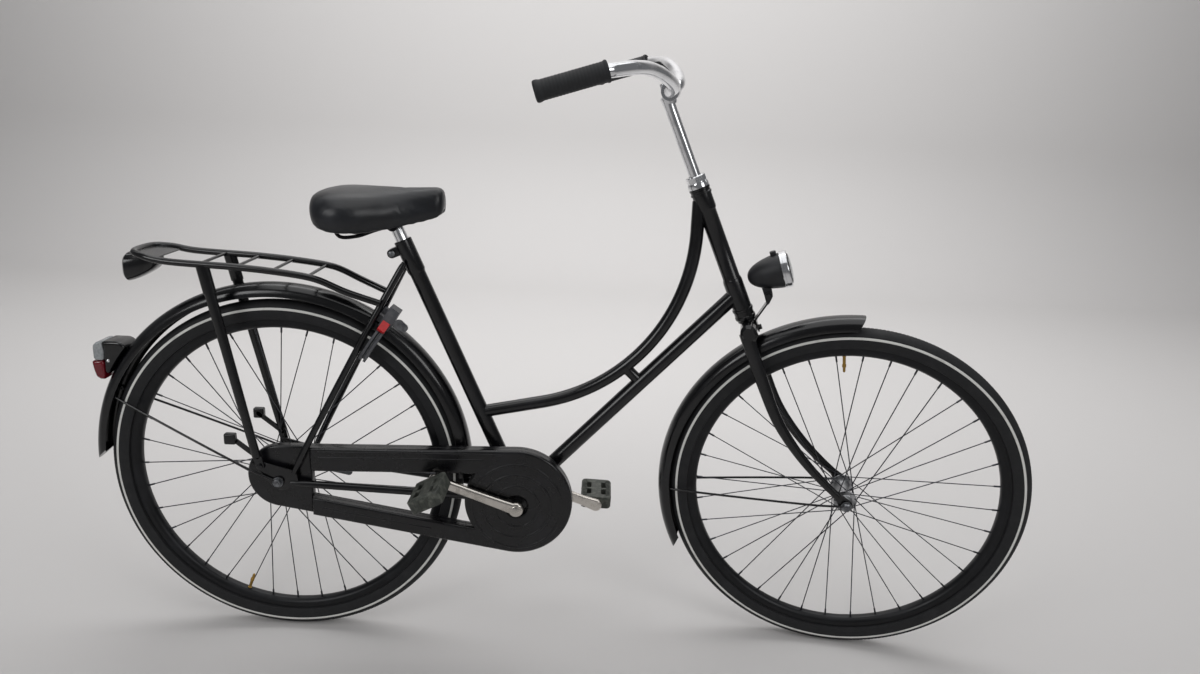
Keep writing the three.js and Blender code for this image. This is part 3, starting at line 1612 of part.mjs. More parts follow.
function forkBlade(hand) {
  const bottom = bladeShares[bladeShares.length - 1][0];
  const points = bladeShares.map(([up, ahead]) => {
    const share = (bladeShares[0][0] - up) / (bladeShares[0][0] - bottom);
    return headPoint(up * forkLength, ahead * forkRake, hand * mix(bladeTopOffset, bladeEndOffset, share));
  });
  const path = new THREE.CatmullRomCurve3(points, false, "centripetal").getPoints(7);
  return taperedTube(path, taper([bladeTopRadius, bladeTopDepth], [bladeEndRadius, bladeEndDepth]), 8);
}

function forkDropout(hand) {
  const [up, ahead] = bladeShares[bladeShares.length - 1];
  const discs = [
    [frontAxle, forkDropoutRadius],
    [headPoint(up * forkLength, ahead * forkRake), bladeEndDepth],
  ];
  const span = [hand * frontHubSpace, hand * (frontHubSpace + dropoutThickness)].sort((a, b) => a - b);
  return sidePlate(roundedHull(discs, 0, 10), ...span);
}

function fork() {
  const crownUp = forkLength - crownHeight / 2;
  const crownEnds = [-1, -0.94, 0.94, 1];
  const crownPoints = crownEnds.map(
    (share) => headPoint(crownUp, 0, share * (bladeTopOffset + bladeTopRadius)),
  );
  const crownRadii = (share) => (share === 0 || share === 1 ? 0.7 : 1);
  const crown = taperedTube(
    crownPoints,
    (share) => [crownRadii(share) * crownHalfDepth, (crownRadii(share) * crownHeight) / 2],
    crownSides,
    headForward,
  );
  const steerer = rod(headPoint(crownUp), headPoint(locknutTop - seatGap), steererRadius, 10);
  const race = rod(headPoint(forkLength - raceHeight), headPoint(forkLength), raceRadius, 10);
  const blades = [-1, 1].map((hand) => join(forkBlade(hand), forkDropout(hand)));
  const bossEnd = headPoint(forkLength - crownHeight - guardBossRadius);
  const boss = cut(rod(headPoint(crownUp), bossEnd, guardBossRadius, 10), guardRoom(frontGuardSweep));
  const bore = rod(headPoint(crownUp - crownHeight), headPoint(locknutTop + overrun), steererBore, 10);
  const reach = frontHubSpace + 2 * dropoutThickness;
  const axleHole = crossRod(frontAxle, axleRadius + seatGap, -reach, reach, 10);
  return cut(join(crown, steerer, race, boss, ...blades), bore, axleHole);
}

function headsetLocknut() {
  const low = headTop + upperCupHeight + seatGap;
  const bore = steererRadius + seatGap;
  const middle = headTop + upperCupHeight + adjustingCupHeight;
  const profile = [
    [bore, low],
    [adjustingCupRadius, low],
    [adjustingCupRadius, middle - seatGap * 4],
    [locknutRadius, middle],
    [locknutRadius, locknutTop - seatGap * 4],
    [locknutRadius - seatGap * 4, locknutTop],
    [bore, locknutTop],
  ];
  return turned(profile, steerBase, headUp, 10);
}

const barCentre = headPoint(locknutTop + stemRise, stemForward);

// Quill stem: a tube from inside the steerer up to the handlebar's clamp.
function stem() {
  const quill = rod(headPoint(locknutTop - quillDepth), headPoint(locknutTop + stemRise), quillRadius, 10);
  const clamp = crossRod(barCentre, stemClampRadius, -stemClampWidth / 2, stemClampWidth / 2, 16);
  const bolt = rod(
    headPoint(locknutTop + stemRise),
    headPoint(locknutTop + stemRise + stemClampRadius),
    boltHeadRadius,
    8,
  );
  const bore = crossRod(barCentre, barRadius + sleeveGap, -stemClampWidth, stemClampWidth, 14);
  return cut(join(quill, clamp, bolt), bore);
}

// Half of the handlebar: across, back and up, as shares of its half width, sweep and rise.
const barShares = [
  [0.18, -0.05, 0.23],
  [0.355, 0, 0.61],
  [0.53, 0.117, 0.93],
  [0.71, 0.228, 1],
  [0.887, 0.405, 0.91],
  [1, 1, 0.14],
];

function barPoint([across, back, up], hand) {
  return point(barCentre.x - back * barSweep, hand * across * barHalfWidth, barCentre.z + up * barRise);
}

// The bar is straight inside the stem's clamp, then bends up, out and back to its straight ends.
function handlebar() {
  const clampEdge = [(stemClampWidth / 2 + overrun) / barHalfWidth, 0, 0];
  const half = (hand) => {
    const bend = [clampEdge, ...barShares.slice(0, -1)].map((shares) => barPoint(shares, hand));
    const curve = new THREE.CatmullRomCurve3(bend, false, "centripetal").getPoints(9);
    return [...curve, barPoint(barShares.at(-1), hand)];
  };
  return taperedTube([...half(-1).reverse(), ...half(1)], () => [barRadius, barRadius], 8, upward);
}

// Grip: a sleeve with a lip at the front and a closed cap at the rear.
function grip(hand) {
  const start = barPoint(barShares.at(-2), hand);
  const end = barPoint(barShares.at(-1), hand);
  const axis = end.clone().sub(start).normalize();
  const length = start.distanceTo(end);
  const profile = [
    [0, gripStart],
    [gripLipRadius, gripStart],
    [gripLipRadius, gripStart + gripLipLength],
    [gripRadius, gripStart + gripLipLength],
    [gripRadius, length - gripLipLength],
    [gripLipRadius, length],
    [gripRadius, length + gripEndCap],
    [0, length + gripEndCap],
  ];
  const bore = rod(start, end.clone().addScaledVector(axis, seatGap), barRadius + sleeveGap, 10);
  return cut(turned(profile, start, axis, 10), bore);
}

function addSteering() {
  piece("fork", fork(), blackPaint, steered);
  piece("headset_locknut", headsetLocknut(), chrome, steered);
  piece("stem", stem(), chrome, steered);
  piece("handlebar", handlebar(), chrome, steered);
  piece("grip_right", grip(-1), gripRubber, steered);
  piece("grip_left", grip(1), gripRubber, steered);
}

// Headlamp: a turned shell with a bowl behind the lens, on a pivot over the fork crown.
const lampAxis = direction(lampTiltDegrees);
const lampUp = direction(lampTiltDegrees + 90);
const lampFace = point(lampFaceX, 0, lampFaceHeight);
const lampPoint = (ahead, up, left = 0) => along(lampFace, up, lampUp, ahead, lampAxis, left);
const lampPivot = lampPoint(-lampPivotSetback, -lampPivotDrop);

function lampShell() {
  const back = -bezelLength - lampLength;
  const mouth = -bezelLength - seatGap;
  const shellShares = [
    [0, 0],
    [0.34, 0.015],
    [0.62, 0.1],
    [0.84, 0.3],
    [0.96, 0.6],
    [1, 1],
    [0.8, 1],
    [0.58, 0.72],
    [0.3, 0.56],
    [0, 0.5],
  ];
  const profile = shellShares.map(([radius, share]) => [radius * lampRadius, mix(back, mouth, share)]);
  const shell = turned(profile, lampFace, lampAxis, 14);
  const ears = [
    [lampPivot, lampEarRadius],
    [lampPoint(-lampPivotSetback, -lampRadius / 2), lampEarRadius],
  ];
  const ear = sidePlate(roundedHull(ears, 0, 10), -lampEarHalfWidth, lampEarHalfWidth);
  const pinHole = crossRod(
    lampPivot,
    lampBoltRadius + seatGap,
    -lampEarHalfWidth * 2,
    lampEarHalfWidth * 2,
    8,
  );
  const buttonFloor = lampRadius - lampButtonHeight - lampButtonTravel;
  const socket = rod(
    lampPoint(-lampButtonSetback, buttonFloor),
    lampPoint(-lampButtonSetback, lampRadius + overrun),
    lampButtonRadius + seatGap,
    12,
  );
  return cut(join(shell, ear), pinHole, socket);
}

function lampBezel() {
  const lipInner = lensRadius - bezelLip;
  const profile = [
    [lensRadius + seatGap, -bezelLength],
    [bezelRadius, -bezelLength],
    [bezelRadius, -bezelLip],
    [bezelRadius - bezelLip, 0],
    [lipInner, 0],
    [lipInner, -bezelLip],
    [lensRadius + seatGap, -bezelLip],
  ];
  return turned(profile, lampFace, lampAxis, 14);
}

function lampLens() {
  const shoulder = -bezelLip - seatGap;
  const lipInner = lensRadius - bezelLip - seatGap;
  const profile = [
    [0, shoulder - lensDepth],
    [lensRadius, shoulder - lensDepth],
    [lensRadius, shoulder],
    [lipInner, shoulder],
    [lipInner, 0],
    [lipInner * 0.6, lensDepth * 0.7],
    [0, lensDepth],
  ];
  return turned(profile, lampFace, lampAxis, 14);
}

function lampButton() {
  const floor = lampRadius - lampButtonHeight;
  return rod(
    lampPoint(-lampButtonSetback, floor + seatGap),
    lampPoint(-lampButtonSetback, lampRadius + lampButtonHeight),
    lampButtonRadius,
    12,
  );
}

// Lamp bracket: a strap bolted to the crown that rises to two cheeks round the lamp's ear.
function lampBracket() {
  const crownUp = forkLength - crownHeight / 2;
  const face = crownHalfDepth * Math.cos(Math.PI / crownSides) + seatGap + lampBracketThickness / 2;
  const foot = headPoint(crownUp - lampBracketCrownDrop, face);
  const bend = headPoint(crownUp + lampBracketCrownDrop, face);
  const seat = lampPivot.clone().addScaledVector(upward, -lampEarRadius - 2 * lampBracketThickness);
  const half = lampBracketWidth / 2;
  const strapLow = bar(foot, bend, lampBracketThickness, -half, half);
  const strapHigh = bar(bend, seat, lampBracketThickness, -half, half);
  const elbow = crossRod(bend, lampBracketThickness / 2, -half, half, 6);
  const cheekInner = lampEarHalfWidth + seatGap;
  const cheeks = [-1, 1].map((hand) => {
    const span = [hand * cheekInner, hand * half].sort((a, b) => a - b);
    const discs = [
      [lampPivot, lampEarRadius],
      [seat, lampBracketThickness],
    ];
    return sidePlate(roundedHull(discs, 0, 10), ...span);
  });
  const base = crossRod(seat, lampBracketThickness, -half, half, 8);
  const pin = crossRod(lampPivot, lampBoltRadius, -half - boltHeadHeight, half + boltHeadHeight, 6);
  const heads = [-1, 1].map(
    (hand) => crossRod(lampPivot, boltHeadRadius, hand * half, hand * (half + boltHeadHeight), 6),
  );
  const crownBolt = rod(
    headPoint(crownUp - lampBracketCrownDrop / 2, face),
    headPoint(crownUp - lampBracketCrownDrop / 2, face + boltHeadHeight * 2),
    boltHeadRadius,
    6,
  );
  return join(strapLow, elbow, strapHigh, base, ...cheeks, pin, ...heads, crownBolt);
}

function addLamp() {
  piece("lamp_bracket", lampBracket(), blackPaint, steered);
  piece("lamp_shell", lampShell(), blackPlastic, steered);
  piece("lamp_bezel", lampBezel(), chrome, steered);
  piece("lamp_lens", lampLens(), clearLens, steered);
  piece("lamp_button", lampButton(), blackPlastic, steered);
}

// Saddle sections from the rear to the nose: place, half width, lower edge and crown.
const saddleShares = [
  [0, 0.3, 0.42, 0.7],
  [0.03, 0.58, 0.22, 0.82],
  [0.09, 0.82, 0.09, 0.9],
  [0.18, 0.96, 0.02, 0.945],
  [0.28, 1, 0, 0.955],
  [0.38, 0.93, 0.02, 0.94],
  [0.48, 0.78, 0.07, 0.915],
  [0.58, 0.6, 0.14, 0.895],
  [0.68, 0.45, 0.2, 0.89],
  [0.78, 0.35, 0.28, 0.92],
  [0.88, 0.29, 0.36, 0.97],
  [0.95, 0.25, 0.43, 1],
  [0.985, 0.19, 0.5, 0.95],
  [1, 0.1, 0.6, 0.82],
];

// Half of a saddle section, from the crown round the drawn-in side to the lower edge.
const saddleSideShares = [
  [0.3, 0.985],
  [0.6, 0.925],
  [0.83, 0.79],
  [0.97, 0.57],
  [1, 0.36],
  [0.96, 0.14],
  [0.87, 0],
];

// The saddle stands on the clamp at the seat post's top.
const saddleClamp = seatPoint(seatTubeLength + postRise + saddleClampRadius);
const saddleTop = saddleClamp.z + saddleTopRise;
const saddleBottom = saddleTop - saddleHeight;
const saddleX = (share) => saddleClamp.x - saddleRearReach + share * saddleLength;
const saddleBaseTop = (share) => saddleTop - mix(saddleBaseRearDrop, saddleBaseFrontDrop, share);

function saddleRing([place, width, low, high]) {
  const half = width * saddleHalfWidth;
  const bottom = saddleBottom + low * saddleHeight;
  const top = saddleBottom + high * saddleHeight;
  const side = saddleSideShares.map(([out, up]) => [out * half, mix(bottom, top, up)]);
  const left = side.map(([y, z]) => point(saddleX(place), y, z));
  const right = side.map(([y, z]) => point(saddleX(place), -y, z)).reverse();
  return [point(saddleX(place), 0, top), ...left, ...right];
}

// The room under the saddle's skirt, up to its base plate.
function saddleRoomRing([place, width], inset, bottom, top) {
  const half = width * saddleHalfWidth * saddleSideShares[5][0] - inset;
  const x = saddleX(place);
  return [point(x, half, top), point(x, half, bottom), point(x, -half, bottom), point(x, -half, top)];
}

const saddleRoomShares = saddleShares.slice(2, -2);

function saddleCover() {
  const room = saddleRoomShares.map((shares) =>
    saddleRoomRing(shares, saddleSkirt, saddleBottom - overrun, saddleBaseTop(shares[0]) + seatGap),
  );
  return cut(loft(saddleShares.map(saddleRing)), loft(room));
}

// The base plate under the cushion, grown by a margin.
function saddleBase(growth) {
  const rings = saddleRoomShares.map((shares) => {
    const top = saddleBaseTop(shares[0]) + growth;
    const bottom = saddleBaseTop(shares[0]) - saddleBaseThickness - growth;
    return saddleRoomRing(shares, saddleSkirt + seatGap - growth, bottom, top);
  });
  const rear = saddleX(saddleRoomShares[0][0]) + seatGap - growth;
  const front = saddleX(saddleRoomShares.at(-1)[0]) - seatGap + growth;
  const high = point(front, saddleHalfWidth, saddleTop);
  return loft(rings).intersect(block(point(rear, -saddleHalfWidth, saddleBottom), high));
}

// Two rails from the rear of the base, through the clamp, to the nose.
function saddleRails() {
  const under = (share) => saddleBaseTop(share) - saddleBaseThickness - seatGap;
  const railShares = [
    [0.2, 1.5, 0],
    [0.24, 1.5, 0.9],
    [0.36, 1.3, 1],
    [0.5, 1.05, 0.72],
  ];
  const drop = under(0) - saddleTop + saddleRailDrop;
  const rails = [-1, 1].map((hand) => {
    const rear = railShares.map(([place, out, down]) =>
      point(saddleX(place), hand * out * railHalfSpacing, under(place) - down * drop),
    );
    const clamp = point(saddleClamp.x, hand * railHalfSpacing, saddleClamp.z);
    const nose = point(saddleX(0.86), (hand * railHalfSpacing) / 2, under(0.86) - railRadius);
    return pipe([...rear, clamp, nose], railRadius, 9, 5);
  });
  const clamp = crossRod(saddleClamp, saddleClampRadius, -saddleClampHalfWidth, saddleClampHalfWidth, 12);
  const [barShare, barOut] = railShares[2];
  const barHalf = barOut * railHalfSpacing;
  const rearBar = crossRod(
    point(saddleX(barShare), 0, under(barShare) - drop),
    railRadius,
    -barHalf,
    barHalf,
    6,
  );
  return cut(join(...rails, clamp, rearBar), saddleBase(seatGap));
}

function seatPost() {
  const bottom = seatPoint(seatTubeLength - postInsertion);
  const post = rod(bottom, saddleClamp, postRadius, 12);
  return cut(post, crossRod(saddleClamp, saddleClampRadius + seatGap, -2 * postRadius, 2 * postRadius, 14));
}

function addSaddle() {
  piece("saddle_cover", saddleCover(), saddleVinyl);
  piece("saddle_base", saddleBase(0), blackPlastic);
  piece("saddle_rails", saddleRails(), steel);
  piece("seat_post", seatPost(), chrome);
}

// Ring lock: a horseshoe body round the rear wheel with a bolt that turns across its mouth.
const lockCentre = polarPoint(rearAxle, lockRingCentre, lockPolarDegrees);
const lockUp = direction(lockPolarDegrees);
const lockNormal = direction(lockPolarDegrees - 90);

// A point of the lock at a radius and an angle from its mouth towards the right side.
function lockPoint(radius, degrees, out = 0) {
  const angle = radians(degrees);
  return along(lockCentre, -radius * Math.cos(angle), lockUp, out, lockNormal, -radius * Math.sin(angle));
}

// A flat piece in the lock's plane, centred on it.
function lockPlate(outline, thickness, out = 0) {
  const geometry = new THREE.ExtrudeGeometry(
    outline,
    { depth: thickness, bevelEnabled: false, curveSegments: 7 },
  );
  geometry.translate(0, 0, out - thickness / 2);
  return placed(geometry, lockCentre, leftward, lockNormal);
}

function lockSector(inner, outer, fromDegrees, toDegrees) {
  const shape = new THREE.Shape();
  const from = radians(-90 - toDegrees);
  const to = radians(-90 - fromDegrees);
  shape.absarc(0, 0, outer, from, to, false);
  shape.absarc(0, 0, inner, to, from, true);
  return shape;
}

function lockBox(width, height, thickness, degrees, radius, out) {
  const geometry = new THREE.BoxGeometry(width, height, thickness);
  return placed(geometry, lockPoint(radius, degrees, out), leftward, lockNormal);
}

// The part of the ring round from the mouth that the knob's slot takes, out to a radius.
function lockSlot(inner, outer, width, degrees) {
  return lockPlate(lockSector(inner, outer, 0, degrees), width);
}

// A lug that reaches back from the ring to a seat stay.
function lockLug(hand) {
  const radius = (lockRingInner + lockRingOuter) / 2;
  const reach = lockRingThickness / 2 + lockLugLength;
  const place = lockPoint(radius, 90 - hand * (90 + lockLugDegrees) - 90 * (1 + hand), -reach / 2);
  const width = lockRingOuter - lockRingInner - 2 * seatGap;
  return placed(new THREE.BoxGeometry(width, lockLugHeight, reach), place, leftward, lockNormal);
}

function lockBody() {
  const ringShape = lockSector(lockRingInner, lockRingOuter, lockMouthDegrees, fullTurn - lockMouthDegrees);
  const housing = placed(
    new THREE.BoxGeometry(lockHousingWidth, lockHousingHeight, lockHousingThickness),
    lockPoint(lockRingInner + lockHousingHeight / 2, 180 - lockHousingDegrees),
    leftward,
    lockNormal,
  );
  const wheelRoom = rod(
    lockPoint(0, 0, -2 * lockRingThickness),
    lockPoint(0, 0, 2 * lockRingThickness),
    lockRingInner,
    16,
  );
  const channel = new THREE.TorusGeometry(lockBoltPathRadius, lockChannelRadius, 6, 18);
  const slotEnd = lockKnobDegrees + lockSlotMarginDegrees;
  const knobReach = lockRingOuter + 2 * runningGap + lockKnobHeight + runningGap;
  const knobEnd = lockKnobDegrees + radiansToDegrees(Math.atan2(lockKnobLength / 2, lockRingOuter)) + 1;
  const keyFloor = lockHousingThickness / 2 - keyShaftLength;
  return cut(
    join(lockPlate(ringShape, lockRingThickness), cut(housing, wheelRoom), lockLug(-1), lockLug(1)),
    placed(channel, lockCentre, leftward, lockNormal),
    lockSlot(lockBoltPathRadius, knobReach, lockSlotWidth, slotEnd),
    lockSlot(lockRingOuter + seatGap, knobReach, lockKnobWidth + 2 * runningGap, knobEnd),
    rod(lockKeyPlace(keyFloor), lockKeyPlace(lockHousingThickness), keyHoleRadius, 8),
    seatStayTube(-1, seatGap),
    seatStayTube(1, seatGap),
  );
}

const lockKeyPlace = (out) => lockPoint(lockRingOuter + keyHoleRadius * 2, 180 - lockHousingDegrees, out);

function lockBolt() {
  const start = lockMouthDegrees + 4;
  const steps = 12;
  const points = Array.from({ length: steps + 1 }, (unused, i) =>
    lockPoint(lockBoltPathRadius, mix(start, start + lockBoltSweepDegrees, i / steps)),
  );
  const bolt = pipe(points, lockBoltRadius, 12, 6);
  const stem = lockStem(lockSlotWidth - 2 * seatGap, 0);
  return join(bolt, stem);
}

// The stem that carries the knob out of the slot.
function lockStem(width, growth) {
  const from = lockPoint(lockBoltPathRadius, lockKnobDegrees);
  const to = lockPoint(lockRingOuter + runningGap * 2 + lockKnobHeight / 2 + growth, lockKnobDegrees);
  return rod(from, to, width / 2, 10);
}

function lockKnob() {
  const inner = lockRingOuter + 2 * runningGap;
  const centre = lockPoint(inner + lockKnobHeight / 2, lockKnobDegrees);
  const out = centre.clone().sub(lockCentre).normalize();
  const geometry = new THREE.BoxGeometry(lockKnobLength, lockKnobHeight, lockKnobWidth, 1, 1, 1);
  const body = placed(geometry, centre, out.clone().cross(lockNormal), lockNormal);
  return cut(body, lockStem(lockSlotWidth - 2 * seatGap + 2 * seatGap, seatGap));
}

function lockKey() {
  const seat = lockHousingThickness / 2;
  const shaft = rod(
    lockKeyPlace(seat - keyShaftLength + runningGap),
    lockKeyPlace(seat + keyBowGap),
    keyShaftRadius,
    12,
  );
  const bowCentre = lockKeyPlace(seat + keyBowGap + keyBowRadius - keyBowThickness / 2);
  const far = lockKeyPlace(seat + keyBowGap + keyBowRadius + keyBowStretch - keyBowThickness);
  const bow = sidePlate(
    roundedHull([[bowCentre, keyBowRadius], [far, keyBowRadius * 0.8]], 0, 12),
    bowCentre.y - keyBowThickness / 2,
    bowCentre.y + keyBowThickness / 2,
  );
  return join(shaft, bow);
}

function addLock() {
  piece("lock_body", lockBody(), greyPlastic);
  piece("lock_bolt", lockBolt(), steel);
  piece("lock_knob", lockKnob(), redPlastic);
  piece("lock_key", lockKey(), steel);
}

addWheels();
addFrame();
addDrive();
addMudguards();
addRack();
addTailLamp();
addSteering();
addLamp();
addSaddle();
addLock();

export default bike;
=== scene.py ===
"""The looks of a step-through city bicycle with a closed chain case, a rear rack and a ring lock.

Every shape is worked out in millimetres: +X runs forward, +Y to the rider's left and +Z up, with
the origin on the ground below the rear axle. Meshes are made in metres.
"""

import logging
from dataclasses import dataclass
from enum import Enum
from typing import Sequence

import bmesh
import bpy
import numpy as np
from mathutils import Matrix, geometry

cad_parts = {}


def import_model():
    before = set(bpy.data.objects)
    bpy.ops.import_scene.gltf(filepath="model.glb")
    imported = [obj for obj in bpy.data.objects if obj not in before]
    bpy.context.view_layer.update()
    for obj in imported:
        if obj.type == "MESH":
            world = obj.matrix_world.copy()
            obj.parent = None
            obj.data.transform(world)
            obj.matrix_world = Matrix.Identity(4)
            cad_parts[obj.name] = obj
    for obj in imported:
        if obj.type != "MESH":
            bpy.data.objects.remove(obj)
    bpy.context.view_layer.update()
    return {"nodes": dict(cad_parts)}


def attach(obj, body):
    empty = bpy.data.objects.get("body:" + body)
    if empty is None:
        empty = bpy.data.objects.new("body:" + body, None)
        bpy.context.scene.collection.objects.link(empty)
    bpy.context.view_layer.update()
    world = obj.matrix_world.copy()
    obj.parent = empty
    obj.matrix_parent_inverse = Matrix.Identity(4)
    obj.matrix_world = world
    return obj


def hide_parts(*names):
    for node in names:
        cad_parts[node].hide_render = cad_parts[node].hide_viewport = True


LOG = logging.getLogger("bicycle")
Array = np.ndarray
Pair = tuple[float, float]
Triple = tuple[float, float, float]
MM = 0.001
LEFT = np.array([0.0, 1.0, 0.0])
UP = np.array([0.0, 0.0, 1.0])
AHEAD = np.array([1.0, 0.0, 0.0])
ORIGIN = np.zeros(3)
RIGHT_HAND, LEFT_HAND = -1, 1
HANDS = ((RIGHT_HAND, "right"), (LEFT_HAND, "left"))
SHARP_DEGREES = 38.0
KEPT_SHARP_DEGREES = 34.0


def unit(vector: Sequence[float] | Array) -> Array:
    """The vector at length one, or each row of an array of them."""
    found = np.asarray(vector, float)
    return found / np.linalg.norm(found, axis=-1, keepdims=True)


def heading(degrees: float | Array) -> Array:
    """The direction at an angle above forward in the side view."""
    turn = np.radians(degrees)
    return np.stack([np.cos(turn), np.zeros_like(turn), np.sin(turn)], -1)


def at(x: float, y: float, z: float) -> Array:
    """A place in millimetres."""
    return np.array([x, y, z], float)


def rotation(axis: Array, degrees: float) -> Array:
    """The matrix of a turn about an axis, by Rodrigues' formula.

    Args:
        axis: The axis.
        degrees: The turn's angle.

    Returns:
        The 3x3 matrix.
    """
    x, y, z = unit(axis)
    cross = np.array([[0, -z, y], [z, 0, -x], [-y, x, 0]])
    turn = np.radians(degrees)
    return np.eye(3) + np.sin(turn) * cross + (1 - np.cos(turn)) * cross @ cross


# ---- Surfaces ----


@dataclass
class Skin:
    """A surface: its points in millimetres, and arrays of its faces by their number of corners."""

    points: Array
    faces: list[Array]

    def __add__(self, other: "Skin") -> "Skin":
        """Both surfaces as one."""
        return joined([self, other])

    def turned(self, matrix: Array, centre: Array) -> "Skin":
        """The surface turned by a 3x3 matrix about a centre."""
        return Skin((self.points - centre) @ matrix.T + centre, self.faces)

    def moved(self, shift: Array) -> "Skin":
        """The surface moved by a vector."""
        return Skin(self.points + shift, self.faces)


def joined(skins: Sequence[Skin]) -> Skin:
    """Several surfaces as one.

    Args:
        skins: The surfaces.

    Returns:
        The surface that holds them all.
    """
    starts = np.cumsum([0] + [len(skin.points) for skin in skins])
    faces = [face + start for skin, start in zip(skins, starts) for face in skin.faces]
    return Skin(np.vstack([skin.points for skin in skins]), faces)


def woven(grid: Array, wrap_rows: bool = False, wrap_columns: bool = True) -> Skin:
    """Quads between neighbouring points of a grid.

    Args:
        grid: Points as rows, columns and coordinates.
        wrap_rows: True where the last row meets the first.
        wrap_columns: True where the last column meets the first.

    Returns:
        The surface.
    """
    rows, columns = grid.shape[:2]
    number = np.arange(rows * columns).reshape(rows, columns)
    if wrap_rows:
        number = np.vstack([number, number[:1]])
    if wrap_columns:
        number = np.hstack([number, number[:, :1]])
    quads = np.stack([number[:-1, :-1], number[:-1, 1:], number[1:, 1:], number[1:, :-1]], -1)
    return Skin(grid.reshape(-1, 3), [quads.reshape(-1, 4)])


def capped(grid: Array) -> Skin:
    """A grid of closed rings whose first and last ring are drawn in to their middles."""
    ends = [np.repeat(ring.mean(0)[None], len(ring), 0)[None] for ring in (grid[0], grid[-1])]
    return woven(np.vstack([ends[0], grid, ends[1]]))


def smooth_path(points: Sequence[Array] | Array, count: int) -> Array:
    """A centripetal Catmull-Rom curve through points, at even steps of its length.

    Args:
        points: The points that the curve passes.
        count: How many points to return.

    Returns:
        The curve's points.
    """
    through = np.asarray(points, float)
    ghosts = [2 * through[0] - through[1], 2 * through[-1] - through[-2]]
    knots = np.vstack([ghosts[0], through, ghosts[1]])
    steps = np.sqrt(np.linalg.norm(np.diff(knots, axis=0), axis=1))
    times = np.concatenate([[0], np.cumsum(steps)])
    sample = np.linspace(times[1], times[-2], 40 * len(through))
    first = np.clip(np.searchsorted(times, sample, side="right") - 1, 1, len(through) - 1)
    t = [times[first + k][:, None] for k in (-1, 0, 1, 2)]
    p = [knots[first + k] for k in (-1, 0, 1, 2)]
    now = sample[:, None]

    def between(a: Array, b: Array, start: Array, end: Array) -> Array:
        """The mix of two rows of points at the sampled time."""
        return ((end - now) * a + (now - start) * b) / (end - start)

    low = [between(p[k], p[k + 1], t[k], t[k + 1]) for k in range(3)]
    middle = [between(low[k], low[k + 1], t[k], t[k + 2]) for k in range(2)]
    curve = between(middle[0], middle[1], t[1], t[2])
    run = np.concatenate([[0], np.cumsum(np.linalg.norm(np.diff(curve, axis=0), axis=1))])
    even = np.linspace(0, run[-1], count)
    return np.stack([np.interp(even, run, curve[:, k]) for k in range(3)], -1)


def tube(
    path: Array,
    wide: float | Array,
    high: float | Array | None = None,
    across: Array = LEFT,
    sides: int = 20,
) -> Skin:
    """An elliptical section carried along a path and closed at both ends.

    Args:
        path: The centre line.
        wide: The section's radius along the across direction, at each point or for all.
        high: Its radius square to that, or None for a round section.
        across: A direction that the path never runs along.
        sides: Points round the section.

    Returns:
        The surface.
    """
    route = np.asarray(path, float)
    ahead = unit(np.gradient(route, axis=0))
    side = unit(across - (ahead @ across)[:, None] * ahead)
    rise = np.cross(ahead, side)
    turn = 2 * np.pi * (np.arange(sides) + 0.5) / sides
    widths = np.broadcast_to(np.asarray(wide, float), len(route))
    heights = widths if high is None else np.broadcast_to(np.asarray(high, float), len(route))
    reach = widths[:, None, None] * np.cos(turn)[None, :, None] * side[:, None]
    lift = heights[:, None, None] * np.sin(turn)[None, :, None] * rise[:, None]
    return capped(route[:, None] + reach + lift)


def rod(start: Array, end: Array, radius: float, end_radius: float | None = None, sides: int = 24) -> Skin:
    """A straight round bar, which may taper.

    Args:
        start: The middle of its first end.
        end: The middle of its other end.
        radius: Its radius at the first end.
        end_radius: Its radius at the other end, or None for the same.
        sides: Points round it.

    Returns:
        The surface.
    """
    route = np.stack([start, end])
    along = unit(end - start)
    across = LEFT if abs(along @ LEFT) < 0.8 else AHEAD
    radii = np.array([radius, radius if end_radius is None else end_radius])
    return tube(route, radii, None, across, sides)


def cross_rod(centre: Array, radius: float, from_y: float, to_y: float, sides: int = 24) -> Skin:
    """A round bar across the bike at a place of the side view."""
    return rod(at(centre[0], from_y, centre[2]), at(centre[0], to_y, centre[2]), radius, None, sides)


def rods(starts: Array, ends: Array, radius: float, sides: int = 6) -> Skin:
    """Many straight bars of one radius: a ring at both ends of each, as one array.

    Args:
        starts: The middles of their first ends.
        ends: The middles of their other ends.
        radius: Their radius.
        sides: Points round each.

    Returns:
        The surface.
    """
    along = unit(ends - starts)
    across = unit(np.cross(along, LEFT + 0.3 * AHEAD))
    rise = np.cross(along, across)
    turn = 2 * np.pi * np.arange(sides) / sides
    ring = radius * (np.cos(turn)[:, None, None] * across + np.sin(turn)[:, None, None] * rise)
    points = np.stack([starts + ring, ends + ring])  # end, side, bar
    return joined([capped(points[:, :, k]) for k in range(len(starts))])


def lathe(
    profile: Sequence[Sequence[float]] | Array,
    base: Array,
    axis: Array = LEFT,
    steps: int = 48,
) -> Skin:
    """A profile turned round an axis.

    Args:
        profile: Radius and height of each point. It starts and ends on the axis, or closes on itself.
        base: The axis' point at height zero.
        axis: The axis' direction.
        steps: Points round it.

    Returns:
        The surface.
    """
    rows = np.asarray(profile, float)
    along = unit(axis)
    across = unit(np.cross(along, UP if abs(along @ UP) < 0.8 else AHEAD))
    rise = np.cross(along, across)
    turn = 2 * np.pi * np.arange(steps) / steps
    out = np.cos(turn)[:, None] * across + np.sin(turn)[:, None] * rise
    grid = base + rows[None, :, :1] * out[:, None] + rows[None, :, 1:] * along
    return woven(grid, True, bool(rows[0, 0] > 1e-6))


def mirrored(profile: Sequence[Sequence[float]]) -> list[list[float]]:
    """A profile's points in the opposite order, at opposite heights."""
    return [[radius, -height] for radius, height in reversed(profile)]


